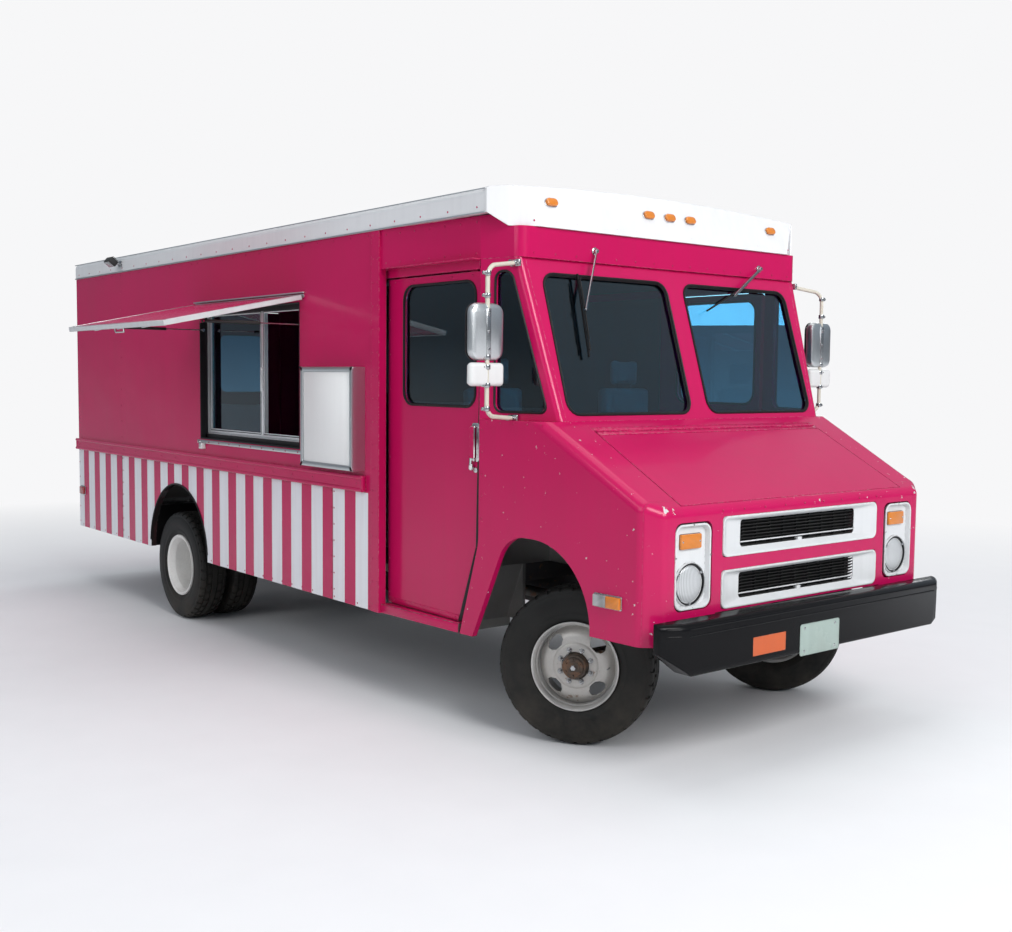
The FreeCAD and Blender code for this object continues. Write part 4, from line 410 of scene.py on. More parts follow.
def rubberFinish(name, colour, dust=0.16, gloss=0.50):
    finish, tree, shader = newFinish(name, colour, 0.62)
    shader.inputs["Specular IOR Level"].default_value = 0.18
    place = objectPlace(tree)
    tint = blendColour(tree, noiseOf(tree, place, 9.0, 7.0), colour, shaded(colour, 1.5, 0.004))
    dusty = useEffect(tree, roadDust, Top=0.7, Amount=dust, Settled=0.04)["Mask"]
    tree.links.new(blendColour(tree, dusty, tint, dirt), shader.inputs["Base Color"])
    varyRoughness(tree, shader, dusty, gloss, 0.92)
    addBump(tree, shader, noiseOf(tree, place, 420.0, 3.0), 0.0004, 0.6)
    return finish


def glassFinish(name, colour):
    finish, tree, shader = newFinish(name, colour, 0.0)
    shader.inputs["Transmission Weight"].default_value = 1.0
    shader.inputs["IOR"].default_value = 1.6
    place = objectPlace(tree)
    smear = noiseOf(tree, place, 3.0, 6.0)
    varyRoughness(tree, shader, smear, 0.0, 0.01)
    tree.links.new(blendColour(tree, smear, colour, shaded(colour, 0.86)), shader.inputs["Base Color"])
    addBump(tree, shader, noiseOf(tree, place, 1.6, 0.0), 0.0015, 0.5)
    return finish


def lensFinish(name, colour, ribs=60.0, along="Z", clear=0.25, dust=0.15):
    # moulded plastic lens: fine ribs, body colour inside
    finish, tree, shader = newFinish(name, colour, 0.12)
    shader.inputs["Transmission Weight"].default_value = clear
    shader.inputs["Coat Weight"].default_value = 0.6
    wave = addNode(tree, "TexWave", {"Vector": objectPlace(tree), "Scale": ribs}, wave_type="BANDS",
                   bands_direction=along).outputs["Fac"]
    tint = blendColour(tree, wave, shaded(colour, 0.55), colour)
    dusty = useEffect(tree, roadDust, Top=1.1, Amount=dust, Settled=0.1)["Mask"]
    tree.links.new(blendColour(tree, dusty, tint, dirt), shader.inputs["Base Color"])
    varyRoughness(tree, shader, dusty, 0.10, 0.6)
    addBump(tree, shader, wave, 0.0012, 0.7)
    return finish


def plasticFinish(name, colour, grain=420.0, gloss=0.42, relief=0.0006):
    finish, tree, shader = newFinish(name, colour, 0.55)
    place = objectPlace(tree)
    cells = addNode(tree, "TexVoronoi", {"Vector": place, "Scale": grain}).outputs["Distance"]
    fade = noiseOf(tree, place, 4.0, 5.0)
    tint = blendColour(tree, fade, shaded(colour, 0.75), colour)
    worn = useEffect(tree, edgeWear, Width=0.004, Amount=0.4, Scale=30)["Mask"]
    tint = blendColour(tree, worn, tint, shaded(colour, 1.5, 0.03))
    dusty = useEffect(tree, roadDust, Top=0.9, Amount=0.4, Settled=0.3)["Mask"]
    tree.links.new(blendColour(tree, dusty, tint, (0.30, 0.27, 0.23)), shader.inputs["Base Color"])
    varyRoughness(tree, shader, fade, gloss, 0.72)
    addBump(tree, shader, cells, relief, 0.6, rounding=0.004)
    return finish


def treadPlateFinish(name, colour):
    # raised lozenges in two crossed directions on level faces, worn bright on top
    finish, tree, shader = newFinish(name, colour, 0.4, 0.9)
    heights = []
    for turn in (0.785, -0.785):
        turned = addNode(tree, "Mapping", {"Vector": objectPlace(tree), "Rotation": (0, 0, turn),
                                           "Scale": (26.0, 60.0, 1.0)}).outputs[0]
        cells = addNode(tree, "TexVoronoi", {"Vector": turned, "Scale": 1.0, "Randomness": 0.0})
        heights.append(ranged(tree, cells.outputs["Distance"], 0.42, 0.20))
    raised = maths(tree, "MULTIPLY", maths(tree, "MAXIMUM", *heights), upwardFacing(tree, 0.6, 0.8))
    tint = blendColour(tree, raised, shaded(colour, 0.55), colour)
    dusty = useEffect(tree, roadDust, Top=1.2, Amount=0.7, Settled=0.35)["Mask"]
    tree.links.new(blendColour(tree, dusty, tint, dirt), shader.inputs["Base Color"])
    varyRoughness(tree, shader, dusty, 0.32, 0.8)
    addBump(tree, shader, raised, 0.0018, 0.9, rounding=0.003)
    return finish


pink, white, sealBlack = (0.560, 0.005, 0.098), (0.82, 0.82, 0.83), (0.010, 0.010, 0.011)
stripes = {"start": -3.404, "pitch": 0.253, "width": 0.133, "count": 19, "low": 0.40, "high": 1.150,
           "soft": 0.0006, "skin": 1.1685, "arch": -1.323}
edging = {"hinge": (-0.205, -1.178, 2.270), "out": (0, -0.978, -0.208), "half": 0.741, "reach": 0.872}
flaked = [((3.385, -0.955, 1.235), 0.060), ((3.385, 0.955, 1.235), 0.045), ((3.28, -1.05, 1.15), 0.035)]

looks = [
    (paintFinish, {
        "bodyPaint": {"colour": pink},
        "sidePaint": {"colour": pink, "stripes": stripes, "wave": 1.6, "dust": 0.07},
        "nosePaint": {"colour": pink, "peeled": flaked, "chips": 0.12, "dust": 0.08},
        "flapPaint": {"colour": pink, "edging": edging, "chips": 0.2},
        "rivetPaint": {"colour": (0.520, 0.012, 0.100), "chips": 0.2},
        "roofPaint": {"colour": white, "chips": 0.25, "dust": 0.0, "settled": 0.12},
        "bezelPaint": {"colour": (0.74, 0.75, 0.76), "chips": 0.9, "dust": 0.35, "dustTop": 1.3,
                       "primer": (0.10, 0.09, 0.08), "wave": 0.2},
        "plateEnamel": {"colour": (0.38, 0.47, 0.43), "chips": 0.3, "dust": 0.5, "runs": 0.2},
        "stickerVinyl": {"colour": (0.64, 0.12, 0.035), "coat": 0.1, "chips": 0.6, "dust": 0.5,
                         "gloss": 0.5},
        "whiteEnamel": {"colour": (0.78, 0.78, 0.77), "dust": 0.1},
        "menuPaper": {"colour": (0.90, 0.90, 0.89), "coat": 0.2, "gloss": 0.6, "chips": 0.0, "dust": 0.0,
                      "runs": 0.04},
    }),
    (metalFinish, {
        "chassisPaint": {"colour": (0.030, 0.030, 0.032), "metallic": 0.0, "shine": 0.25, "rust": 0.45,
                         "gloss": (0.45, 0.9), "relief": 0.0015},
        "bumperPaint": {"colour": (0.006, 0.006, 0.007), "metallic": 0.0, "shine": 0.12, "rust": 0.03,
                        "rustColour": (0.10, 0.09, 0.08), "gloss": (0.20, 0.6), "dust": 0.02,
                        "settled": 0.02},
        "lampSilver": {"colour": (0.88, 0.90, 0.92), "metallic": 0.55, "rust": 0.0, "wear": 0.0,
                       "dust": 0.0, "gloss": (0.22, 0.5), "relief": 0.0},
        "axleIron": {"colour": (0.10, 0.095, 0.09), "metallic": 0.4, "rust": 0.6, "gloss": (0.5, 0.9),
                     "relief": 0.002},
        "rimPaint": {"colour": (0.55, 0.53, 0.50), "metallic": 0.4, "rust": 0.40, "wear": 0.8,
                     "gloss": (0.42, 0.8), "rustColour": (0.20, 0.12, 0.08), "dust": 0.35,
                     "dustTop": 0.8},
        "rearRimPaint": {"colour": (0.88, 0.87, 0.84), "metallic": 0.0, "shine": 0.25, "rust": 0.10,
                         "wear": 0.5, "gloss": (0.40, 0.8), "dust": 0.15, "dustTop": 0.8},
        "rimEdge": {"colour": (0.62, 0.61, 0.59), "metallic": 0.5, "rust": 0.25, "wear": 0.5,
                    "gloss": (0.30, 0.7), "dust": 0.2, "dustTop": 0.8},
        "hubRust": {"colour": (0.065, 0.045, 0.035), "metallic": 0.3, "rust": 0.75, "gloss": (0.55, 0.9),
                    "relief": 0.002},
        "bareSteel": {"colour": (0.52, 0.53, 0.54), "rust": 0.05, "wear": 0.1, "dust": 0.2,
                      "gloss": (0.24, 0.6)},
        "brightAluminium": {"colour": (0.70, 0.72, 0.73), "rust": 0.0, "wear": 0.0, "dust": 0.1,
                            "gloss": (0.30, 0.6), "scale": 160.0, "rustColour": (0.30, 0.30, 0.30)},
        "sashMetal": {"colour": (0.86, 0.88, 0.89), "metallic": 0.45, "rust": 0.0, "wear": 0.0,
                      "gloss": (0.25, 0.5), "dust": 0.05},
        "chromeTrim": {"colour": (0.80, 0.80, 0.80), "rust": 0.02, "wear": 0.05, "dust": 0.15,
                       "gloss": (0.08, 0.5), "relief": 0.0001},
        "mirrorGlass": {"colour": (0.86, 0.88, 0.89), "rust": 0.0, "wear": 0.0, "dust": 0.05,
                        "gloss": (0.02, 0.3), "relief": 0.0},
        "creamEnamel": {"colour": (0.70, 0.66, 0.56), "metallic": 0.0, "shine": 0.25, "rust": 0.12,
                        "wear": 0.5, "gloss": (0.3, 0.7), "dust": 0.1},
    }),
    (rubberFinish, {
        "tyreRubber": {"colour": (0.010, 0.010, 0.0095)},
        "sealRubber": {"colour": sealBlack, "dust": 0.1, "gloss": 0.42},
    }),
    (plasticFinish, {
        "cabPlastic": {"colour": (0.060, 0.062, 0.066)},
        "louvrePlastic": {"colour": (0.012, 0.012, 0.012), "gloss": 0.5},
        # partly painted light: the seat vinyl is made lighter to stand in for light inside the cab
        "seatVinyl": {"colour": (0.32, 0.33, 0.36), "grain": 520.0, "gloss": 0.38, "relief": 0.0010},
    }),
    (lensFinish, {
        "amberLens": {"colour": (1.0, 0.30, 0.02), "clear": 0.10},
        "redLens": {"colour": (0.60, 0.012, 0.010)},
        "clearLens": {"colour": (0.80, 0.82, 0.82), "ribs": 70.0, "clear": 0.55, "along": "Y"},
        # partly painted highlight: the headlamp lens colour is raised near white to stand in for its gleam
        "beamGlass": {"colour": (0.96, 0.98, 1.0), "ribs": 34.0, "clear": 0.35, "along": "Y",
                      "dust": 0.03},
    }),
    (glassFinish, {"cabGlass": {"colour": (0.24, 0.54, 0.72)}}),
    (treadPlateFinish, {"treadPlate": {"colour": (0.46, 0.46, 0.45)}}),
]
finishes = {name: make(name, **look) for make, group in looks for name, look in group.items()}
print("finishes made", len(finishes))

nodeFinish = {
    "bodyPaint": ["cab_door_right", "cab_door_left", "rear_frame", "rear_door_right", "rear_door_left",
                  "cab_header", "quarter_panels", "windshield_frame", "door_tracks", "cowl_panel", "hood"],
    "sidePaint": ["body_side_right", "body_side_left"],
    "nosePaint": ["front_fenders", "nose_panel"],
    "roofPaint": ["roof", "front_cap"],
    "bezelPaint": ["headlamp_bezels", "grilles"],
    "chassisPaint": ["chassis_frame", "fuel_tank"],
    "bumperPaint": ["front_bumper", "rear_step"],
    "axleIron": ["front_axle", "knuckle_right", "knuckle_left", "tie_rod", "rear_axle", "leaf_springs",
                 "engine_block", "exhaust_pipe"],
    "rimPaint": ["front_rim_right", "front_rim_left"],
    "rearRimPaint": ["rear_rims_right", "rear_rims_left"],
    "tyreRubber": ["front_tyre_right", "front_tyre_left", "rear_tyres_right", "rear_tyres_left"],
    "brightAluminium": ["menu_case"],
    "sashMetal": ["service_window"],
    "flapPaint": ["serving_flap"],
    "bareSteel": ["strut_rod_front", "strut_rod_rear"],
    "louvrePlastic": ["strut_tube_front", "strut_tube_rear"],
    "cabGlass": ["window_glass", "cab_door_glass_right", "cab_door_glass_left", "rear_door_glass_right",
                 "rear_door_glass_left"],
    "cabPlastic": ["dashboard", "steering_column", "seats"],
    "treadPlate": ["floor"],
    "chromeTrim": ["mirrors", "wipers", "headlamps"],
    "amberLens": ["marker_lamps"],
}
for word, names in nodeFinish.items():
    for name in names:
        dress(nodes[name], finishes[word])
missed = set(nodes) - {name for names in nodeFinish.values() for name in names}
print("nodes dressed", "missed:", sorted(missed))


# modelling helpers: each piece ends at the origin with its place in the mesh

def pick(*pieces):
    if bpy.context.mode != "OBJECT":
        leaveMesh()
    bpy.ops.object.select_all(action="DESELECT")
    for piece in pieces:
        piece.select_set(True)
    bpy.context.view_layer.objects.active = pieces[-1]


def chooseAll(action="SELECT"):
    bpy.ops.mesh.select_all(action=action)


def openMesh(piece):
    pick(piece)
    bpy.ops.object.mode_set(mode="EDIT")
    chooseAll()


def leaveMesh():
    bpy.ops.object.mode_set(mode="OBJECT")


def faceOutwards():
    chooseAll()
    bpy.ops.mesh.normals_make_consistent(inside=False)


def closeMesh(piece):  # doubles merged, normals outwards, then back to the object
    chooseAll()
    bpy.ops.mesh.remove_doubles(threshold=0.00002)
    faceOutwards()
    leaveMesh()
    return piece


def chooseFaces(piece, test):  # test(middle, normal)
    chooseAll("DESELECT")
    mesh = bmesh.from_edit_mesh(piece.data)
    for face in mesh.faces:
        face.select_set(bool(test(face.calc_center_median(), face.normal)))
    bmesh.update_edit_mesh(piece.data)


def chooseEdges(piece, test):  # test(first, second)
    chooseAll("DESELECT")
    mesh = bmesh.from_edit_mesh(piece.data)
    for edge in mesh.edges:
        edge.select_set(bool(test(edge.verts[0].co, edge.verts[1].co)))
    bmesh.update_edit_mesh(piece.data)


def push(move):  # what is selected, extruded by a vector
    bpy.ops.mesh.extrude_region_move(TRANSFORM_OT_translate={"value": move})


def scaleAbout(middle, scale):
    bpy.ops.transform.resize(value=scale, center_override=middle)


def roundEdges(offset, steps):
    bpy.ops.mesh.bevel(offset=offset, segments=steps, affect="EDGES")


def roundCorners(offset, steps):
    bpy.ops.mesh.bevel(offset=offset, segments=steps, affect="VERTICES")


def roundSharp(angle, offset, steps):  # every edge sharper than the angle
    chooseAll("DESELECT")
    bpy.ops.mesh.select_mode(type="EDGE")
    bpy.ops.mesh.edges_select_sharp(sharpness=math.radians(angle))
    roundEdges(offset, steps)
    bpy.ops.mesh.select_mode(type="VERT")


def settle(piece):
    pick(piece)
    bpy.ops.object.transform_apply(location=True, rotation=True, scale=True)
    return piece


def turnTo(piece, at, turn):
    piece.rotation_mode = "QUATERNION"
    piece.rotation_quaternion = turn
    piece.location = at


def layAlong(piece, at, axis):  # drawn along Z at the origin
    turnTo(piece, at, Vector(axis).to_track_quat("Z", "Y"))
    return settle(piece)


def startLine(name, places):
    bpy.ops.object.select_all(action="DESELECT")
    bpy.ops.mesh.primitive_plane_add(size=0.01, location=(0, 0, 0))
    piece = bpy.context.object
    piece.name = name
    openMesh(piece)
    bpy.ops.mesh.merge(type="CENTER")
    bpy.ops.transform.translate(value=places[0])
    for first, second in zip(places, places[1:]):
        push(tuple(b - a for a, b in zip(first, second)))
    return piece


def lathe(name, profile, at, axis, steps):  # profile: radius, place along the axis
    piece = startLine(name, [(radius, 0, along) for radius, along in profile])
    chooseAll()
    bpy.ops.mesh.spin(steps=steps, angle=2 * math.pi, center=(0, 0, 0), axis=up)
    closeMesh(piece)
    return layAlong(piece, at, axis)


def spun(name, profile, steps):  # a lathe piece left about Z at the origin
    return lathe(name, profile, (0, 0, 0), up, steps)


def boltHead(at, axis, steps, tall, flat, rim, wide, skirt):
    return lathe("boltHead", [(0, tall), (flat, rim), (wide, skirt), (wide, 0), (0, 0)], at, axis, steps)


def stick(name, first, second, radius, steps=12):
    first, second = Vector(first), Vector(second)
    length = (second - first).length
    cut = radius * 0.2
    return lathe(name, [(0, 0), (radius - cut, 0), (radius, cut), (radius, length - cut),
                        (radius - cut, length), (0, length)], first, second - first, steps)


def block(name, low, high, soft=0.002, steps=2):
    middle = [(a + b) / 2 for a, b in zip(low, high)]
    size = [abs(b - a) for a, b in zip(low, high)]
    bpy.ops.object.select_all(action="DESELECT")
    bpy.ops.mesh.primitive_cube_add(size=1, location=middle, scale=size)
    piece = bpy.context.object
    piece.name = name
    settle(piece)
    openMesh(piece)
    roundEdges(min(soft, min(size) * 0.49), steps)
    return closeMesh(piece)


def box(name, low, high, soft=0.002, steps=2):  # a block measured from the centreline
    return block(name, spot(*low), spot(*high), soft, steps)


def bent(name, places, radius, corner=0.0, rounds=4, sides=2):
    # a round bar along the places, its corners rounded
    piece = startLine(name, [tuple(place) for place in places])
    if corner:
        chooseAll()
        roundCorners(corner, rounds)
    leaveMesh()
    return tubeFrom(piece, radius, sides)


def tubeFrom(piece, radius, sides):
    pick(piece)
    bpy.ops.object.convert(target="CURVE")
    curve = bpy.context.object
    curve.data.bevel_depth = radius
    curve.data.bevel_resolution = sides
    curve.data.use_fill_caps = True
    bpy.ops.object.convert(target="MESH")
    piece = bpy.context.object
    openMesh(piece)
    return closeMesh(piece)


def onSide(y, low, high):  # corners facing sideways, low and high being x and z
    (left, foot), (right, top) = low, high
    return [(left, y, foot), (right, y, foot), (right, y, top), (left, y, top)]


def onEnd(x, low, high):  # corners facing forwards, low and high being y and z
    (left, foot), (right, top) = low, high
    return [(x, left, foot), (x, right, foot), (x, right, top), (x, left, top)]


def grown(low, high, margin):
    return (low[0] - margin, low[1] - margin), (high[0] + margin, high[1] + margin)


def spots(corners):
    return [spot(*corner) for corner in corners]


def flatShape(name, corners, rounding):
    # a flat face with the given corners, left open in edit mode with everything selected
    bpy.ops.object.select_all(action="DESELECT")
    bpy.ops.mesh.primitive_plane_add(size=1, location=(0, 0, 0))
    piece = bpy.context.object
    piece.name = name
    order = [0, 1, 3, 2]  # the plane's own corner order, walked round
    for index, corner in zip(order, corners):
        piece.data.vertices[index].co = corner
    openMesh(piece)
    if rounding:
        roundCorners(rounding, 5)
    return piece


def gasket(name, corners, rounding, radius, sides=2):  # a bead that runs round the corners
    piece = flatShape(name, corners, rounding)
    bpy.ops.mesh.delete(type="ONLY_FACE")
    leaveMesh()
    return tubeFrom(piece, radius, sides)


def beadRound(name, corners, rounding, radius, sides=2):  # a gasket measured from the centreline
    return gasket(name, spots(corners), rounding, radius, sides)


def plate(name, corners, thick, rounding, soft, width=0.0):
    # a sheet raised by the vector thick; with a width, only a ring along its edge
    piece = flatShape(name, corners, rounding)
    if width:
        bpy.ops.mesh.inset(thickness=width, depth=0)
        bpy.ops.mesh.delete(type="FACE")
        chooseAll()
    push(thick)
    faceOutwards()
    if soft:
        roundSharp(55, soft, 2)
    return closeMesh(piece)


def slab(name, corners, thick, rounding, soft, width=0.0):  # a plate measured from the centreline
    return plate(name, spots(corners), thick, rounding, soft, width)


def thicken(piece, depth):  # a sheet gets its thickness on the inner side
    pick(piece)
    bpy.ops.object.modifier_add(type="SOLIDIFY")
    piece.modifiers[0].thickness = depth
    piece.modifiers[0].offset = -1
    bpy.ops.object.modifier_apply(modifier=piece.modifiers[0].name)


def joinAll(name, pieces, word=None):
    pick(*pieces)
    if len(pieces) > 1:
        bpy.ops.object.join()
    piece = bpy.context.object
    piece.name = name
    piece.data.name = name
    return dressed(piece, word) if word else piece


def copyOf(piece, name, turn):  # the copy has its own mesh
    twin = piece.copy()
    twin.data = piece.data.copy()
    twin.name = name
    bpy.context.scene.collection.objects.link(twin)
    twin.matrix_world = turn @ twin.matrix_world
    settle(twin)
    if turn.determinant() < 0:
        openMesh(twin)
        closeMesh(twin)
    return twin


acrossTruck = Matrix.Translation((0, 2 * middleY, 0)) @ Matrix.Scale(-1, 4, (0, 1, 0))
forward, backward, rightward, up = (1, 0, 0), (-1, 0, 0), (0, -1, 0), (0, 0, 1)
cabDoors = ("cab_door_right", "cab_door_left")
rearDoors = ("rear_door_right", "rear_door_left")


def dressed(piece, word):
    dress(piece, finishes[word])
    return piece


def fit(piece, body, word, angle=35):
    # word: the finish, or None where the pieces that were joined have their own
    pick(piece)
    bpy.ops.object.shade_smooth_by_angle(angle=math.radians(angle))
    if word:
        dressed(piece, word)
    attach(piece, body)
    return piece


def fixed(piece, word=None):  # it stays on the truck's body
    return fit(piece, "truck_body", word)


def fitBoth(piece, word=None, bodies=("truck_body", "truck_body"), angle=35):
    # the piece is drawn on the right side; its mirror image goes on the left
    other = copyOf(piece, piece.name + "Left", acrossTruck)
    piece.name += "Right"
    return fit(piece, bodies[0], word, angle), fit(other, bodies[1], word, angle)


slope = 0.251 / 0.796  # the windshields' lean


def shieldX(z, off):  # x of the windshields' plane, off metres ahead of it
    return 2.719 - (z - 1.6) * slope + off


def quarterY(x):  # outer face of the quarter panels
    return 1.1191 - 0.25 * (x - 2.240)


def cabY(x):  # outer face of the fenders and header
    return 1.165 - 0.055 * (x - 1.405)


fenderOut = Vector((0.055, -1, 0)).normalized()  # the way that face looks, on the right


rivetRows = []


def rivetRow(body, first, last, gap, normal, both=False):
    # places along a line, from first to last, measured from the centreline
    first, last = Vector(first), Vector(last)
    count = max(1, round((last - first).length / gap))
    mirrored = Vector((1, -1, 1))
    for number in range(count + 1):
        place = first.lerp(last, number / count)
        rivetRows.append((body, place, Vector(normal)))
        if both:
            rivetRows.append((body, place * mirrored, Vector(normal) * mirrored))


def bodyRow(first, last, gap, normal=rightward):
    rivetRow("truck_body", first, last, gap, normal)


def bothSides(y, first, last, gap):  # first and last: x and z
    rivetRow("truck_body", (first[0], -y, first[1]), (last[0], -y, last[1]), gap, rightward, True)


def setRivets():
    rivet = spun("rivet", [(0, 0), (0.0055, 0), (0.0050, 0.0014), (0.0032, 0.0024), (0, 0.0028)], 8)
    byBody = {}
    for body, place, normal in rivetRows:
        twin = rivet.copy()
        twin.data = rivet.data.copy()
        bpy.context.scene.collection.objects.link(twin)
        turnTo(twin, spot(*place), normal.to_track_quat("Z", "Y"))
        byBody.setdefault(body, []).append(twin)
    bpy.data.objects.remove(rivet)
    for body, twins in byBody.items():
        fit(settle(joinAll(f"rivets_{body}", twins)), body, "rivetPaint", 60)
    print("rivets set", len(rivetRows))


# nose: grilles, lamps, bumper and plate

bumper = {"rear": 3.430, "front": 3.531, "half": 1.080, "low": 0.520, "high": 0.754,
          "plate": ((-0.188, 0.506), (0.115, 0.656)), "sticker": ((-0.529, 0.553), (-0.295, 0.640))}


def buildBumper():
    face = bumper["front"]
    low = spot(bumper["rear"], -bumper["half"], bumper["low"])
    high = spot(face, bumper["half"], bumper["high"])
    bpy.ops.mesh.primitive_cube_add(size=1, location=(low + high) / 2, scale=high - low)
    bar = settle(bpy.context.object)
    openMesh(bar)
    for side in (1, -1):  # each end: a chamfer ahead, then one below
        for place, away in ((spot(3.471, side * 1.080, 0.6), Vector((0.105, side * 0.060, 0))),
                            (spot(3.5, side * 0.940, 0.520), Vector((0, side * 0.100, -0.140)))):
            chooseAll()
            bpy.ops.mesh.bisect(plane_co=place, plane_no=away, use_fill=True, clear_outer=True)
    # the ends wrap round, then the top edge rolls over
    for near, far, rounding in ((3.50, 3.54, 0.050), (3.46, 3.48, 0.028)):
        chooseEdges(bar, lambda a, b: abs(a.z - b.z) > 0.05 and near < a.x < far and near < b.x < far)
        roundEdges(rounding, 5)
    top = bumper["high"] - 0.001
    chooseEdges(bar, lambda a, b: a.z > top and b.z > top and min(a.x, b.x) > 3.46)
    roundEdges(0.030, 6)
    roundSharp(30, 0.006, 3)
    bpy.ops.mesh.select_mode(type="FACE")
    chooseFaces(bar, lambda middle, normal: normal.x < -0.9)
    bpy.ops.mesh.inset(thickness=0.010, depth=0)
    push((0.075, 0, 0))
    scaleAbout((low + high) / 2, (1, 0.86, 0.90))
    bpy.ops.mesh.select_mode(type="VERT")
    closeMesh(bar).name = "bumperBar"
    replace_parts(fixed(bar, "bumperPaint"), "front_bumper")
    fixed(slab("numberPlateBlank", onEnd(face, *bumper["plate"]), (0.0025, 0, 0), 0.012, 0.0006),
          "plateEnamel")
    fixed(beadRound("numberPlateRim", onEnd(face + 0.0022, *bumper["plate"]), 0.012, 0.0015), "plateEnamel")
    fixed(slab("bumperStickerBlank", onEnd(face, *bumper["sticker"]), (0.0008, 0, 0), 0.004, 0),
          "stickerVinyl")
    # plate screws, and two beads pressed along the top
    heads = [lathe("screw", [(0, 0.0018), (0.005, 0.0015), (0.0075, 0), (0, 0)],
                   spot(3.5332, -0.0365 + across, height), forward, 14)
             for across in (0.118, -0.118) for height in (0.526, 0.636)]
    fixed(joinAll("plateScrews", heads), "bareSteel")
    beads = []
    for height, x, radius in ((0.730, 3.522, 0.010), (0.700, 3.5265, 0.0065)):
        half = [(3.432, 1.079 - radius), (x - 0.055, 1.079 - radius), (x, 0.973)]
        beads.append(bent("bead", [spot(at, -y, height) for at, y in half] +
                          [spot(at, y, height) for at, y in reversed(half)], radius, 0.034, 5, 3))
    fixed(joinAll("bumperBeads", beads), "bumperPaint")
    print("bumper built")


grilles = [
    # half width, lower and upper edge
    {"name": "grilleUpper", "half": 0.6, "low": 0.997, "high": 1.186},
    {"name": "grilleLower", "half": 0.605, "low": 0.757, "high": 0.937},
]


def buildGrille(part):
    gap, face, back = 0.0004, 3.397, 3.367
    half, low, high = part["half"] - gap, part["low"] + gap, part["high"] - gap
    shell = flatShape(part["name"] + "Frame", spots(onEnd(back, (-half, low), (half, high))), 0.034)
    push((0.035, 0, 0))
    # the rim is flat, then the walls slope in, most of all at the two ends
    middle = spot(face, 0, (low + high) / 2)
    widths, heights = (0.945, 0.800), (0.93, 0.82)
    bpy.ops.mesh.inset(thickness=0.007, depth=0)
    bpy.ops.mesh.inset(thickness=0.004, depth=0)
    bpy.ops.transform.translate(value=(-0.003, 0, 0))
    for step, across, tall in zip(((-0.012, 0, 0), (-0.018, 0, 0.004)), widths, heights):
        push(step)
        scaleAbout(middle, (1, across, tall))
    bpy.ops.mesh.delete(type="FACE")
    chooseFaces(shell, lambda place, normal: place.x < back + 0.0005 and abs(normal.x) > 0.9)
    bpy.ops.mesh.delete(type="FACE")
    faceOutwards()
    roundSharp(28, 0.0016, 2)
    closeMesh(shell)
    thicken(shell, 0.003)
    fixed(shell, "bezelPaint")
    room = (high - low) * heights[0] * heights[1] / 2
    reach = half * widths[0] * widths[1]
    # dark louvres lean down behind the opening, with uprights between them
    slats = []
    count = 9
    for number in range(count):
        share = (number + 0.5) * 2 / count - 1
        slat = block("slat", (-0.016, -reach - 0.012, -0.0014), (0.016, reach + 0.012, 0.0014), 0.001, 1)
        slat.rotation_euler = (0, math.radians(-32), 0)
        slat.location = spot(3.348, 0, middle.z + room * share)
        slats.append(settle(slat))
        slats.append(box("upright", (3.332, reach * share - 0.002, middle.z - room),
                         (3.350, reach * share + 0.002, middle.z + room), 0.0008, 1))
    slats.append(box("backing", (3.318, -reach - 0.02, middle.z - room - 0.012),
                     (3.322, reach + 0.02, middle.z + room + 0.012), 0.001, 1))
    level = middle.z - room * 0.52
    rails = [box("rail", (3.366, -reach * 0.99, level - 0.003), (3.372, reach * 0.99, level + 0.003), 0.0012),
             box("bracket", (3.350, -0.016, middle.z - room), (3.374, 0.016, middle.z - room + 0.026), 0.003)]
    fixed(joinAll(part["name"] + "Louvres", [joinAll("slats", slats, "louvrePlastic"),
                                             joinAll("rails", rails, "bezelPaint")]))
    return shell


headlamp = {"y": 0.799, "z": 0.891, "turnZ": 1.086, "face": 3.377, "scale": 1.045}


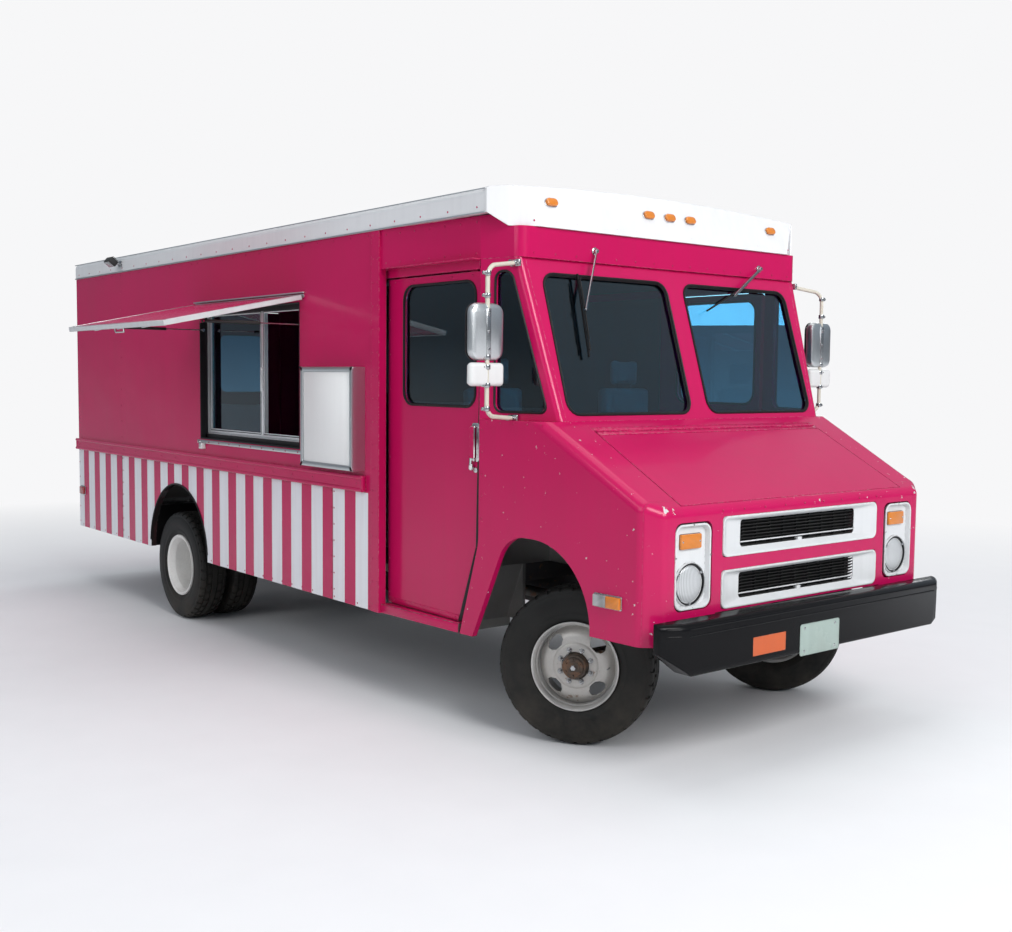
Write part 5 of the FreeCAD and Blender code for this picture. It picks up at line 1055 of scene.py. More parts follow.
def buildHeadlamps():
    y, z, turnZ = headlamp["y"], headlamp["z"], headlamp["turnZ"]
    centre = spot(headlamp["face"], -y, z)

    def ringed(name, profile, steps):
        return lathe(name, [(radius * headlamp["scale"], along) for radius, along in profile], centre,
                     forward, steps)
    ring = ringed("lampRing", [(0.0825, 0.001), (0.0845, 0.0065), (0.0885, 0.0075), (0.0923, 0.004),
                               (0.0923, -0.030), (0.0825, -0.030), (0.0825, 0.001)], 48)
    bowl = ringed("lampBowl", [(0.0815, -0.004), (0.074, -0.022), (0.056, -0.041), (0.030, -0.055),
                               (0.0, -0.060), (0.0, -0.064), (0.032, -0.059), (0.060, -0.045),
                               (0.079, -0.024), (0.0822, -0.004), (0.0815, -0.004)], 40)
    bulb = ringed("lampBulb", [(0.0, -0.058), (0.010, -0.056), (0.012, -0.040), (0.008, -0.030),
                               (0.0, -0.026)], 16)
    lens = ringed("headlampLens", [(0.0, 0.0125), (0.020, 0.0120), (0.045, 0.0098), (0.066, 0.0056),
                                   (0.079, 0.0005), (0.0822, -0.003), (0.0822, -0.006), (0.078, -0.0045),
                                   (0.060, 0.002), (0.030, 0.0072), (0.0, 0.0088)], 48)
    clips = []
    for angle in (0.6, 2.54, 4.71):
        at = centre + Vector((0, 0.0875 * math.cos(angle), 0.0875 * math.sin(angle)))
        clips.append(block("clip", at + Vector((0.003, -0.006, -0.006)), at + Vector((0.010, 0.006, 0.006))))

    def turnPlate(name, x, half, tall, thick, rounding, soft):
        return slab(name, onEnd(x, (-y - half, turnZ - tall), (-y + half, turnZ + tall)), (thick, 0, 0),
                    rounding, soft)
    turnLens = turnPlate("turnLamp", 3.372, 0.068, 0.034, 0.018, 0.009, 0.005)
    turnBase = turnPlate("turnBase", 3.368, 0.0695, 0.0355, 0.010, 0.008, 0.001)
    screws = [lathe("screw", [(0, 0.0022), (0.003, 0.0020), (0.0052, 0), (0, 0)],
                    spot(x, -y + across, height), forward, 12)
              for x, across, height in ((3.3900, -0.056, turnZ), (3.3900, 0.056, turnZ),
                                        (3.4025, 0.0, 1.1635), (3.4025, 0.0, 0.7845),
                                        (3.4025, -0.1130, 1.020), (3.4025, 0.1130, 1.020))]
    # bezel: rounded frame, deep dish
    back = 3.396
    dish = flatShape("bezelDish", spots(onEnd(back, (-y - 0.1168, 0.7812), (-y + 0.1168, 1.1668))), 0.046)
    push((0.0065, 0, 0))
    bpy.ops.mesh.inset(thickness=0.009, depth=0)
    push((-0.0260, 0, 0))
    scaleAbout(spot(3.402, -y, 0.974), (1, 0.950, 0.965))
    chooseFaces(dish, lambda place, normal: abs(place.x - back) < 0.0005 and abs(normal.x) > 0.9)
    bpy.ops.mesh.delete(type="FACE")
    roundSharp(35, 0.0024, 3)
    closeMesh(dish)
    thicken(dish, 0.0015)
    shroud = lathe("lampShroud", [(0.0966, -0.006), (0.0966, 0.0060), (0.0980, 0.0070),
                                  (0.1000, 0.0050), (0.1005, -0.006), (0.0966, -0.006)],
                   spot(3.380, -y, z), forward, 48)
    metal = joinAll("headlampMetal", [dressed(ring, "sealRubber"), dressed(bowl, "lampSilver"),
                                      dressed(bulb, "chromeTrim"),
                                      joinAll("clips", clips + screws, "bareSteel"),
                                      dressed(turnBase, "louvrePlastic")])
    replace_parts(fitBoth(metal)[0], "headlamps")
    fitBoth(lens, "beamGlass")
    fitBoth(turnLens, "amberLens")
    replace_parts(fitBoth(joinAll("bezel", [dish, shroud], "bezelPaint"))[0], "headlamp_bezels")
    print("headlamps built")


rearLamps = [
    # name, x, half width, lower and upper edge, depth, rounding, soft, finish
    ("tailRed", -3.390, 0.046, 1.172, 1.246, -0.024, 0.006, 0.004, "redLens"),
    ("tailAmber", -3.390, 0.046, 1.126, 1.170, -0.024, 0.006, 0.004, "amberLens"),
    ("tailClear", -3.390, 0.046, 1.084, 1.124, -0.024, 0.006, 0.004, "clearLens"),
    ("highLamp", -3.390, 0.046, 2.484, 2.526, -0.024, 0.006, 0.004, "redLens"),
    ("tailBase", -3.385, 0.050, 1.080, 1.250, -0.008, 0.008, 0.002, "bareSteel"),
    ("highBase", -3.385, 0.050, 2.480, 2.530, -0.008, 0.008, 0.002, "bareSteel"),
]


capLamps = {"places": (-0.847, -0.161, 0, 0.161, 0.847), "z": 2.673, "half": 0.038, "tall": 0.022,
            "lean": 0.4}  # lean: how far the cap's face runs back for each metre up


def buildMarkers():
    # amber ovals on the cap, side markers by the front wheels, red lamps at the rear
    lean, z = capLamps["lean"], capLamps["z"]
    out = Vector((math.cos(math.atan(lean)), 0, math.sin(math.atan(lean))))
    side, rise = Vector((0, capLamps["half"], 0)), out.cross(Vector((0, 1, 0))) * capLamps["tall"]
    lenses, bases = [], []
    for across in capLamps["places"]:
        at = spot(2.500 - lean * (z - 2.547) + 0.0010, across, z)
        for shapes, scale, start, depth, soft in ((bases, 1.06, 0.0, 0.006, 0.002),
                                                  (lenses, 0.96, 0.005, 0.017, 0.008)):
            corners = [at + out * start + side * scale * i + rise * scale * j
                       for i, j in ((-1, -1), (1, -1), (1, 1), (-1, 1))]
            shapes.append(plate("clearanceLamp", corners, out * depth, 0.020 * scale, soft))
    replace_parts(fixed(joinAll("clearanceLenses", lenses), "amberLens"), "marker_lamps")
    fixed(joinAll("clearanceBases", bases), "chromeTrim")
    # side marker: amber ahead, clear behind, on a thin base
    along = Vector((1, 0.055, 0)).normalized()  # along the right fender, whose face narrows forwards
    middle = spot(3.140, -cabY(3.140), 0.806)
    for name, first, last, tall, start, depth, rounding, soft, word in (
            ("markerBase", -0.0855, 0.0855, 0.032, 0.0, 0.006, 0.006, 0.002, "bareSteel"),
            ("markerAmber", -0.002, 0.081, 0.0275, 0.005, 0.015, 0.004, 0.004, "amberLens"),
            ("markerClear", -0.081, -0.003, 0.0275, 0.005, 0.015, 0.004, 0.004, "clearLens")):
        corners = [middle + along * a + Vector((0, 0, b)) + fenderOut * start
                   for a, b in ((first, -tall), (last, -tall), (last, tall), (first, tall))]
        fitBoth(plate(name, corners, fenderOut * depth, rounding, soft), word)
    # red side markers near the rear
    for name, y, margin, depth, rounding, soft, word in (
            ("rearMarkerBase", -1.170, 0.0, -0.005, 0.006, 0.0015, "bareSteel"),
            ("rearMarkerLens", -1.174, -0.007, -0.014, 0.010, 0.005, "redLens")):
        corners = onSide(y, *grown((-3.354, 0.760), (-3.238, 0.838), margin))
        fitBoth(slab(name, corners, (0, depth, 0), rounding, soft), word)
    # tail lamps: red over amber over clear, and a small red lamp high up
    for name, x, half, low, high, depth, rounding, soft, word in rearLamps:
        corners = onEnd(x, (-0.990 - half, low), (-0.990 + half, high))
        fitBoth(slab(name, corners, (depth, 0, 0), rounding, soft), word)
    print("marker lamps built")


hoodHinge = {"x": 2.803, "fall": 0.5428, "reach": 0.846, "count": 36}


def buildHoodTrim():
    # a long hinge along the hood's rear edge: knuckles turn about turn on the cowl and the hood
    x, fall, reach = hoodHinge["x"], hoodHinge["fall"], hoodHinge["reach"]
    level = 1.6 - (x - 2.719) * fall  # the sloping sheet's height there
    pitch = 2 * reach / hoodHinge["count"]
    rows = {"truck_body": [], "hood": []}
    for number in range(hoodHinge["count"]):
        start = -reach + number * pitch
        rows["hood" if number % 2 else "truck_body"].append(
            stick("knuckle", spot(x, start + 0.0015, level + 0.002),
                  spot(x, start + pitch - 0.0015, level + 0.002), 0.0052, 10))
    for body, pieces in rows.items():
        fit(joinAll(f"hoodHinge_{body}", pieces), body, "bodyPaint")
    # leaves on both sides of the barrel, lying on the sloping sheet
    down, out = Vector((1, 0, -fall)).normalized(), Vector((fall, 0, 1)).normalized()
    base = spot(x, 0, level) + out * 0.0006
    for body, near, far in (("truck_body", -0.034, -0.0062), ("hood", 0.0062, 0.034)):
        corners = [base + down * a + Vector((0, b, 0)) for a, b in ((near, -reach), (far, -reach),
                                                                    (far, reach), (near, reach))]
        fit(plate(f"hoodLeaf_{body}", corners, out * 0.0016, 0, 0.0006), body, "bodyPaint")
        at = x + down.x * (near + far) / 2 + out.x * 0.002
        height = level + 0.0025 + down.z * (near + far) / 2
        rivetRow(body, (at, -reach + 0.03, height), (at, reach - 0.03, height), 0.105, out)
    print("hood trim built")


buildBumper()
shells = [buildGrille(part) for part in grilles]
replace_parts(shells[0], "grilles")
buildHeadlamps()
buildMarkers()
buildHoodTrim()


# windows: rubber seals, wipers

rearX = -3.3855  # just behind the rear doors and the rear frame
sheetY = 1.1703  # just outside the body sides


def buildSeals():
    panes = []
    for side in (1, -1):
        (foot, near), (head, far) = (1.632, side * 0.066), (2.323, side * 0.936)
        lowX, highX = shieldX(foot, 0.002), shieldX(head, 0.002)
        corners = spots([(lowX, near, foot), (lowX, far, foot), (highX, far, head), (highX, near, head)])
        panes.append(gasket("shieldSeal", corners, 0.072, 0.0065, 3))
        # a second, finer bead: the seal's locking strip
        middle = sum(corners, Vector()) / 4
        panes.append(gasket("shieldStrip", [middle + (c - middle) * 0.980 + Vector((-0.006, 0, -0.002))
                                            for c in corners], 0.060, 0.00455))
    fixed(joinAll("windshieldSeals", panes), "sealRubber")
    corners = [(x, -quarterY(x) - 0.001, z) for x, z in ((2.333, 1.640), (2.6464, 1.640), (2.4288, 2.330),
                                                         (2.333, 2.330))]
    fitBoth(beadRound("quarterSeal", corners, 0.042, 0.0065, 3), "sealRubber")
    for name, y, radius, sides in (("doorSeal", -1.1005, 0.0072, 3), ("doorSealInner", -1.0645, 0.007, 2)):
        fitBoth(beadRound(name, onSide(y, (1.537, 1.658), (2.183, 2.296)), 0.075, radius, sides),
                "sealRubber", cabDoors)
    fitBoth(beadRound("rearSeal", onEnd(rearX, (-0.150, 1.640), (-0.604, 2.180)), 0.060, 0.009, 3),
            "sealRubber", rearDoors)
    print("seals built")


wipers = [
    # pivot, elbow, the blade's two ends: across and height
    {"name": "wiperRight", "pivot": (-0.576, 2.454), "elbow": (-0.723, 2.150),
     "blade": ((-0.709, 2.327), (-0.741, 1.912))},
    {"name": "wiperLeft", "pivot": (0.717, 2.447), "elbow": (0.442, 2.278),
     "blade": ((0.600, 2.345), (0.212, 2.180))},
]


def onShield(point, off):
    return spot(shieldX(point[1], off), point[0], point[1])


def narrowed(piece, test, scale, length):
    openMesh(piece)
    chooseFaces(piece, test)
    scaleAbout((0, 0, length), scale)
    return closeMesh(piece)


def buildWiper(part):
    base = spot(2.4852, *part["pivot"])
    boss = lathe("boss", [(0.0, 0.0), (0.020, 0.0), (0.020, 0.004), (0.013, 0.007), (0.012, 0.020),
                          (0.009, 0.024), (0.0, 0.025)], base, forward, 20)
    first, last = base + Vector((0.016, 0, 0)), onShield(part["elbow"], 0.042)
    length = (last - first).length
    arm = block("arm", (-0.0035, -0.0085, 0), (0.0035, 0.0085, length), 0.002)
    # the arm narrows towards the blade
    narrowed(arm, lambda middle, normal: middle.z > length * 0.9, (0.8, 0.42, 1), length)
    layAlong(arm, first, last - first)
    pin = stick("armPin", onShield(part["elbow"], 0.028), onShield(part["elbow"], 0.046), 0.005)
    start, end = (onShield(point, 0.0) for point in part["blade"])
    lean = Vector((1, 0, slope)).normalized()
    run = end - start
    rubber = []
    for far, high, thick in ((0.0, 0.030, 0.0035), (0.14, 0.034, 0.0030)):
        rubber.append(stick("bridge", start + run * (0.06 + far) + lean * high,
                            start + run * (0.94 - far) + lean * high, thick))
    for share in (0.08, 0.30, 0.70, 0.92):
        at = start + run * share
        rubber.append(stick("claw", at + lean * 0.020, at + lean * 0.034, 0.0030, 8))
    edge = block("edge", (-0.002, -0.0045, 0), (0.010, 0.0045, run.length), 0.001, 1)
    narrowed(edge, lambda middle, normal: normal.x < -0.9, (1, 0.35, 1), run.length / 2)
    along = run.normalized()
    turn = Matrix((lean, lean.cross(along) * -1, along)).transposed()
    turnTo(edge, start + lean * 0.010, turn.to_quaternion())
    rubber.append(settle(edge))
    return fixed(joinAll(part["name"], [joinAll("wiperSteel", [boss, arm, pin], "bareSteel"),
                                        joinAll("wiperRubber", rubber, "sealRubber")]))


# mirrors

mirror = {"bar": (2.512, -1.285), "top": 2.335, "foot": 1.625, "radius": 0.011,
          "head": ((-0.098, 1.889), (0.098, 2.160)),
          "clamps": (2.300, 2.195, 2.120, 1.905, 1.858, 1.772, 1.660)}


def buildMirrors():
    x, y = mirror["bar"]
    ends = [spot(at, -(quarterY(at) + 0.004), z) for at, z in ((2.452, 2.366), (2.448, 1.610))]
    bar = bent("mirrorBar", [ends[0], spot(x, y, mirror["top"]), spot(x, y, mirror["foot"]), ends[1]],
               mirror["radius"], 0.055, 6, 3)
    feet = []
    for place in ends:
        feet.append(block("mirrorFoot", place + Vector((-0.036, -0.006, -0.018)),
                          place + Vector((0.036, 0.010, 0.018)), 0.005, 3))
        feet.append(lathe("flange", [(0.0, 0.0), (0.017, 0.0), (0.017, 0.006), (0.0135, 0.016),
                                     (0.0135, 0.030), (0.0, 0.030)], place + Vector((0, -0.006, 0)),
                          rightward, 20))
        feet += [boltHead(place + Vector((shift, -0.006, 0)), rightward, 6, 0.005, 0.005, 0.0045, 0.0065,
                          0.002) for shift in (-0.026, 0.026)]
    clamps = []
    for level in mirror["clamps"]:
        clamps.append(lathe("clamp", [(0.0112, -0.011), (0.0155, -0.011), (0.0165, -0.008), (0.0165, 0.008),
                                      (0.0155, 0.011), (0.0112, 0.011), (0.0112, -0.011)],
                            spot(x, y, level), up, 20))
        clamps.append(box("clampLug", (x - 0.006, y - 0.030, level - 0.008),
                          (x + 0.006, y - 0.012, level + 0.008)))
        clamps.append(stick("clampBolt", spot(x - 0.012, y - 0.023, level),
                            spot(x + 0.012, y - 0.023, level), 0.0035, 8))

    def headPlate(back, margin):  # corners of a plate across the flat mirror, smaller by the margin
        (left, low), (right, high) = grown(*mirror["head"], -margin)
        return onEnd(x - back, (y + left, low), (y + right, high))
    # flat mirror: a rounded steel shell, glass on the rear side
    shell = slab("mirrorShell", headPlate(0.044, 0), (0.054, 0, 0), 0.050, 0.020)
    strap = box("strap", (x + 0.008, y - 0.014, 1.915), (x + 0.014, y + 0.014, 2.134), 0.003)
    bolts = [boltHead(spot(x + 0.013, y, level), forward, 6, 0.006, 0.006, 0.0055, 0.008, 0.003)
             for level in (1.945, 2.025, 2.105)]
    rim = beadRound("mirrorRim", headPlate(0.044, 0.006), 0.045, 0.005)
    glass = slab("mirrorGlass", headPlate(0.0425, 0.012), (-0.003, 0, 0), 0.040, 0.001)
    wide = box("wideShell", (x - 0.034, y - 0.103, 1.767), (x + 0.010, y + 0.103, 1.879), 0.030, 6)
    wideGlass = box("wideGlass", (x - 0.044, y - 0.090, 1.777), (x - 0.030, y + 0.090, 1.869), 0.012, 5)
    whole = joinAll("mirror", [
        dressed(bar, "creamEnamel"), joinAll("mirrorFeet", feet, "bareSteel"),
        joinAll("clamps", clamps, "bareSteel"), dressed(shell, "brightAluminium"),
        joinAll("mirrorStrap", [strap] + bolts, "bareSteel"), dressed(rim, "sealRubber"),
        dressed(glass, "mirrorGlass"), dressed(wide, "whiteEnamel"), dressed(wideGlass, "mirrorGlass")])
    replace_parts(fitBoth(whole, angle=40)[0], "mirrors")
    print("mirrors built")


# cab doors and body sides

doorY = -1.100  # outer face of the right cab door


def buildDoorTrim():
    cover = box("handleCover", (2.1715, -1.1275, 1.396), (2.2065, -1.0995, 1.564), 0.008, 4)
    scutcheon = slab("scutcheon", onSide(doorY, (2.158, 1.382), (2.220, 1.578)), (0, -0.004, 0), 0.016,
                     0.0015)
    lever = bent("lever", spots([(2.1890, -1.1085, 1.458), (2.1740, -1.1190, 1.450),
                                 (2.1700, -1.1190, 1.352)]), 0.0080, 0.010, 4, 3)
    knob = lathe("leverEnd", [(0.0, -0.006), (0.008, -0.006), (0.0125, 0.0), (0.0125, 0.018),
                              (0.008, 0.026), (0.0, 0.028)], spot(2.1702, -1.1150, 1.364), (-0.04, 0, -1), 20)
    lock = lathe("lock", [(0.0, 0.006), (0.007, 0.0058), (0.0075, 0.0045), (0.012, 0.0042),
                          (0.0145, 0.001), (0.0145, -0.001), (0.0, -0.001)], spot(2.190, -1.101, 1.338),
                 rightward, 24)
    slot = box("keySlot", (2.189, -1.1078, 1.334), (2.191, -1.1066, 1.342), 0.0004, 1)
    metal = joinAll("doorHandle", [cover, scutcheon, lever, knob, lock], "chromeTrim")
    fitBoth(joinAll("doorHandle", [metal, dressed(slot, "sealRubber")]), None, cabDoors)
    # painted shade: a dark rubber-coloured strip along the door's leading edge stands in for the shadow in
    # the gap; a strip along its foot
    gapShades = [slab("doorLip", [(x, doorY, z) for x, z in corners], (0, -0.0022, 0), 0, 0.0006)
            for corners in (((2.197, 0.945), (2.2220, 0.945), (2.2250, 0.962), (2.2250, 2.330)),
                            ((2.052, 0.541), (2.0780, 0.541), (2.2215, 0.9435), (2.1965, 0.9435)))]
    fitBoth(joinAll("doorEdge", gapShades), "sealRubber", cabDoors)
    foot = slab("doorFoot", [(1.392, doorY, 0.542), (2.050, doorY, 0.542), (2.060, doorY, 0.572),
                             (1.392, doorY, 0.572)], (0, -0.003, 0), 0, 0.001)
    fitBoth(foot, "bodyPaint", cabDoors)
    for body, side in zip(cabDoors, (-1, 1)):
        for first, last, y, gap in (((1.400, 0.60), (1.400, 2.31), 1.1003, 0.19),
                                    ((1.45, 0.557), (2.03, 0.557), 1.1033, 0.145),
                                    ((1.45, 2.322), (2.15, 2.322), 1.1003, 0.175)):
            rivetRow(body, (first[0], side * y, first[1]), (last[0], side * y, last[1]), gap, (0, side, 0))
    # a ledge over the track and a bright sill under the door
    for name, corners, thick, soft in (
            ("trackLedge", [(1.407, doorY, 2.392), (2.236, doorY, 2.392), (2.236, -1.166, 2.394),
                            (1.407, -1.166, 2.394)], (0, 0, 0.006), 0.0015),
            ("doorSill", [(1.407, -1.104, 0.533), (2.084, -1.104, 0.533), (2.084, -1.1245, 0.533),
                          (1.407, -1.1590, 0.533)], (0, 0, 0.0035), 0.0012),
            ("sillSkin", [(1.406, -1.1602, 0.4855), (2.083, -1.1254, 0.4855), (2.083, -1.1254, 0.5325),
                          (1.406, -1.1602, 0.5325)], (-0.0001, -0.0022, 0), 0.0008)):
        fitBoth(slab(name, corners, thick, 0, soft), "bodyPaint")
    print("door trim built")


sideRows = [
    # distance from the centreline, first and last x and z, gap: roof band, rub rail, pillar, sheet edges
    (1.1753, (-3.30, 2.640), (2.28, 2.640), 0.24), (1.1942, (-3.30, 1.200), (1.20, 1.200), 0.25),
    (1.1783, (1.343, 0.53), (1.343, 2.58), 0.128), (1.1783, (1.388, 0.53), (1.388, 2.58), 0.128),
    (sheetY, (-3.368, 0.53), (-3.368, 2.58), 0.128), (sheetY, (-3.30, 0.505), (-1.90, 0.505), 0.126),
    (sheetY, (-0.76, 0.505), (1.30, 0.505), 0.126), (sheetY, (-2.392, 1.30), (-2.392, 2.57), 0.127),
    (sheetY, (-3.33, 2.585), (-1.05, 2.585), 0.19), (sheetY, (-0.95, 2.585), (1.28, 2.585), 0.19),
]
cabRows = [
    # the same along the cab's side: header, fender, and up beside the door
    ((1.45, 2.425), (2.21, 2.425), 0.127), ((1.45, 2.578), (2.21, 2.578), 0.127),
    ((2.30, 1.585), (2.69, 1.585), 0.098), ((2.262, 1.10), (2.262, 1.55), 0.112),
]
noseRows = [
    # x, half width, height, gap: over the windshields, and on the nose
    (2.4854, 0.98, 2.575, 0.14), (2.4854, 0.98, 2.420, 0.14),
    (3.3975, 0.60, 1.214, 0.15), (3.3975, 0.885, 0.650, 0.1475),
]
arch = {"x": stripes["arch"], "z": 0.500, "radius": 0.502, "foot": 0.487}


def buildSideTrim():
    # drip rails along the roof band's lower and upper edges
    for name, z, thick in (("dripLow", 2.606, 0.010), ("dripHigh", 2.722, 0.007)):
        corners = onSide(-1.1745, (-3.383, z), (2.352, z + thick))
        fitBoth(slab(name, corners, (0, -0.007, 0), 0, 0.002), "brightAluminium")
    # rub rail: end caps and beads
    for name, x in (("railEndA", -3.372), ("railEndB", 1.248)):
        fitBoth(box(name, (x - 0.014, -1.1965, 1.156), (x + 0.014, -1.170, 1.243), 0.006, 3), "bodyPaint")
    for name, z in (("railTop", 1.235), ("railFoot", 1.164)):
        fitBoth(stick(name, spot(-3.383, -1.1905, z), spot(1.258, -1.1905, z), 0.012, 16), "bodyPaint")
    for row in sideRows:
        bothSides(*row)
    # upright sheet seams, with rivets on both sides of each
    for name, x in (("lowerSeamA", -2.392), ("lowerSeamB", 0.897)):
        seam = slab(name, onSide(-1.1695, (x - 0.0012, 0.488), (x + 0.0012, 1.150)), (0, -0.0012, 0), 0, 0)
        fitBoth(seam, "sealRubber")
        for at in (x - 0.014, x + 0.014):
            bothSides(sheetY, (at, 0.55), (at, 1.13), 0.097)
    # a rolled flange round the rear wheel arch
    rim = []
    for number in range(33):
        angle = math.radians(-1.5 + number * 183 / 32)
        z = arch["z"] + arch["radius"] * math.sin(angle)
        if z > arch["foot"]:
            rim.append(spot(arch["x"] + arch["radius"] * math.cos(angle), -1.1715, z))
    fitBoth(bent("archFlange", rim, 0.0065), "sealRubber")
    for first, last, gap in cabRows:
        ends = [(x, -cabY(x) - 0.0003, z) for x, z in (first, last)]
        rivetRow("truck_body", *ends, gap, fenderOut, True)
    for x, half, z, gap in noseRows:
        bodyRow((x, -half, z), (x, half, z), gap, forward)
    print("side trim built")


floodlight = {"x": -2.360, "z": 2.672, "tilt": -38}


def buildFloodlight():
    # small work lamp on the roof band, aimed down along the side
    x, z = floodlight["x"], floodlight["z"]
    foot = slab("lampFoot", onSide(-1.1745, (x - 0.035, z - 0.025), (x + 0.035, z + 0.025)), (0, -0.006, 0),
                0.006, 0.0015)
    arm = bent("lampArm", spots([(x, -1.178, z), (x, -1.215, z), (x, -1.235, z + 0.018)]), 0.007, 0.010)
    case = block("lampCase", (-0.058, -0.034, -0.026), (0.058, 0.034, 0.026), 0.010, 4)
    glass = block("lampPane", (-0.050, -0.028, -0.0285), (0.050, 0.028, -0.022), 0.002)
    fins = [block("fin", (-0.052, a - 0.0012, 0.024), (0.052, a + 0.0012, 0.034), 0.0006, 1)
            for a in (-0.022, -0.011, 0, 0.011, 0.022)]
    for piece in [case, glass] + fins:
        piece.rotation_euler = (math.radians(floodlight["tilt"]), 0, 0)
        piece.location = spot(x, -1.252, z + 0.012)
        settle(piece)
    fixed(joinAll("floodlight", [joinAll("lampSteel", [foot, arm], "bareSteel"),
                                 joinAll("lampCase", [case] + fins, "louvrePlastic"),
                                 dressed(glass, "clearLens")]))


# serving hatch

flap = {"hinge": edging["hinge"], "angle": -78, "half": 0.770, "low": -0.900}
flapTurn = Matrix.Translation(spot(*flap["hinge"])) @ Matrix.Rotation(math.radians(flap["angle"]), 4, "X")


def onFlap(piece):  # the piece is drawn with the flap shut, about its hinge line
    pick(piece)
    piece.matrix_world = flapTurn @ piece.matrix_world
    return settle(piece)


def buildFlapTrim():
    half, low, inner = flap["half"], flap["low"], 0.002
    edge, leg, gap = 0.0005, 0.028, 0.012
    edges = []
    # folded aluminium edging: flat legs on both faces, the outer foot thin enough for the flap's reach
    for y, thick, footThick in ((inner, 0.0018, 0.0018), (-0.026, -0.0018, -0.0002)):
        for first, last, depth in (
                ((-half + edge, low + edge), (half - edge, low + leg), footThick),
                ((-half + edge, low + leg), (-half + leg, -gap), thick),
                ((half - leg, low + leg), (half - edge, -gap), thick)):
            edges.append(plate("edging", onSide(y, first, last), (0, depth, 0), 0, 0.0004))
    # stiffening ribs on the inner face
    for x in (-0.385, 0.0, 0.385):
        corners = onSide(inner, (x - 0.020, low + 0.03), (x + 0.020, -0.03))
        edges.append(plate("rib", corners, (0, 0.010, 0), 0, 0.003))
    fit(onFlap(joinAll("flapEdging", edges)), "serving_flap", "brightAluminium")
    pull = bent("flapPull", [(-0.07, inner, -0.862), (-0.07, 0.030, -0.862), (0.07, 0.030, -0.862),
                             (0.07, inner, -0.862)], 0.005, 0.010)
    fit(onFlap(pull), "serving_flap", "chromeTrim")
    # hinge strip with rivets, under a drip moulding
    strip = slab("hingeStrip", onSide(-1.1728, (-0.975, 2.279), (0.565, 2.300)), (0, -0.0020, 0), 0, 0.0006)
    drip = box("flapDrip", (-0.985, -1.1865, 2.304), (0.575, -1.1695, 2.313), 0.003)
    fixed(joinAll("hingeStrip", [strip, drip]), "brightAluminium")
    bodyRow((-0.94, -1.1750, 2.2895), (0.53, -1.1750, 2.2895), 0.098)
    print("flap trim built")


hatch = {"rear": -0.915, "front": 0.500, "low": 1.360, "high": 2.250, "stile": -0.1025}


def buildHatchTrim():
    rear, front, low, high, stile = hatch.values()
    fixed(beadRound("hatchSeal", onSide(-1.1660, (rear, low), (front, high)), 0.006, 0.0065), "sealRubber")
    # dark lining of the opening's depth, and covers over the window's foot, rear and head
    lining = [box("lining", (a, y, b), (c, depth, d), 0.001, 1) for y, depth, a, b, c, d in (
        (-1.1705, -1.128, rear, low, front, low + 0.003), (-1.1705, -1.128, rear, low, rear + 0.003, high),
        (-1.1705, -1.128, rear, high - 0.003, front, high),
        (-1.1340, -1.1290, rear, low + 0.001, front, low + 0.034),
        (-1.1340, -1.1290, rear, low, rear + 0.034, high),
        (-1.1340, -1.1290, rear, high - 0.030, front, high))]
    fixed(joinAll("hatchLining", lining), "sealRubber")
    # bright ledge under the opening, screwed on
    ledge = slab("hatchLedge", onSide(-1.1695, (rear - 0.03, low - 0.034), (front + 0.03, low - 0.010)),
                 (0, -0.014, 0), 0, 0.003)
    fixed(ledge, "brightAluminium")
    bodyRow((rear, -1.1838, low - 0.022), (front, -1.1838, low - 0.022), 0.157)
    case = box("latchBox", (-0.885, -1.202, 1.288), (-0.835, -1.170, 1.330), 0.005, 3)
    tongue = box("latchTongue", (-0.868, -1.209, 1.300), (-0.852, -1.200, 1.344), 0.003)
    fixed(joinAll("latchBox", [dressed(case, "whiteEnamel"), dressed(tongue, "bareSteel")]))
    # sash: rubber round both lights, their faces, meeting stile cover, pull and tracks
    bits = [box("stileCover", (stile - 0.013, -1.1105, 1.425), (stile + 0.013, -1.104, 2.215), 0.003),
            box("sashPull", (stile - 0.010, -1.1205, 1.700), (stile + 0.010, -1.109, 1.860), 0.004, 3)]
    bits += [box("sashTrack", (-0.880, -1.112, z), (0.470, -1.103, z + 0.006), 0.001, 1)
             for z in (1.388, 1.404)]
    for a, b in ((-0.883, stile - 0.018), (stile + 0.018, 0.470)):
        fixed(beadRound("sashRubber", onSide(-1.1055, (a, 1.420), (b, 2.220)), 0.004, 0.004), "sealRubber")
        bits.append(slab("sashFace", onSide(-1.1052, (a - 0.012, 1.408), (b + 0.012, 2.232)), (0, -0.003, 0),
                         0, 0.0008, 0.022))
    fixed(joinAll("sashFittings", bits), "sashMetal")
    print("hatch trim built")


menuCase = {"low": (0.665, 1.273), "high": (1.250, 1.860)}


def buildMenuCase():
    low, high = menuCase["low"], menuCase["high"]
    ring = slab("menuFrame", onSide(-1.2495, *grown(low, high, -0.001)), (0, -0.0085, 0), 0.006, 0.0025,
                0.026)
    sheet = slab("menuSheet", onSide(-1.2498, *grown(low, high, -0.030)), (0, -0.0015, 0), 0, 0.0004)
    lock = boltHead(spot(high[0] - 0.013, -1.258, 1.566), rightward, 20, 0.003, 0.006, 0.0028, 0.008, 0.001)
    hinges = [stick("caseHinge", spot(low[0] - 0.004, -1.247, z - 0.03),
                    spot(low[0] - 0.004, -1.247, z + 0.03), 0.0045, 10) for z in (1.36, 1.566, 1.77)]
    fixed(joinAll("menuFrame", [ring, lock] + hinges), "brightAluminium")
    fixed(sheet, "menuPaper")
    print("menu case built")


buildSeals()
blades = [buildWiper(part) for part in wipers]
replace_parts(blades[0], "wipers")
buildMirrors()
buildDoorTrim()
buildSideTrim()
buildFloodlight()
buildFlapTrim()
buildHatchTrim()
buildMenuCase()


# wheels

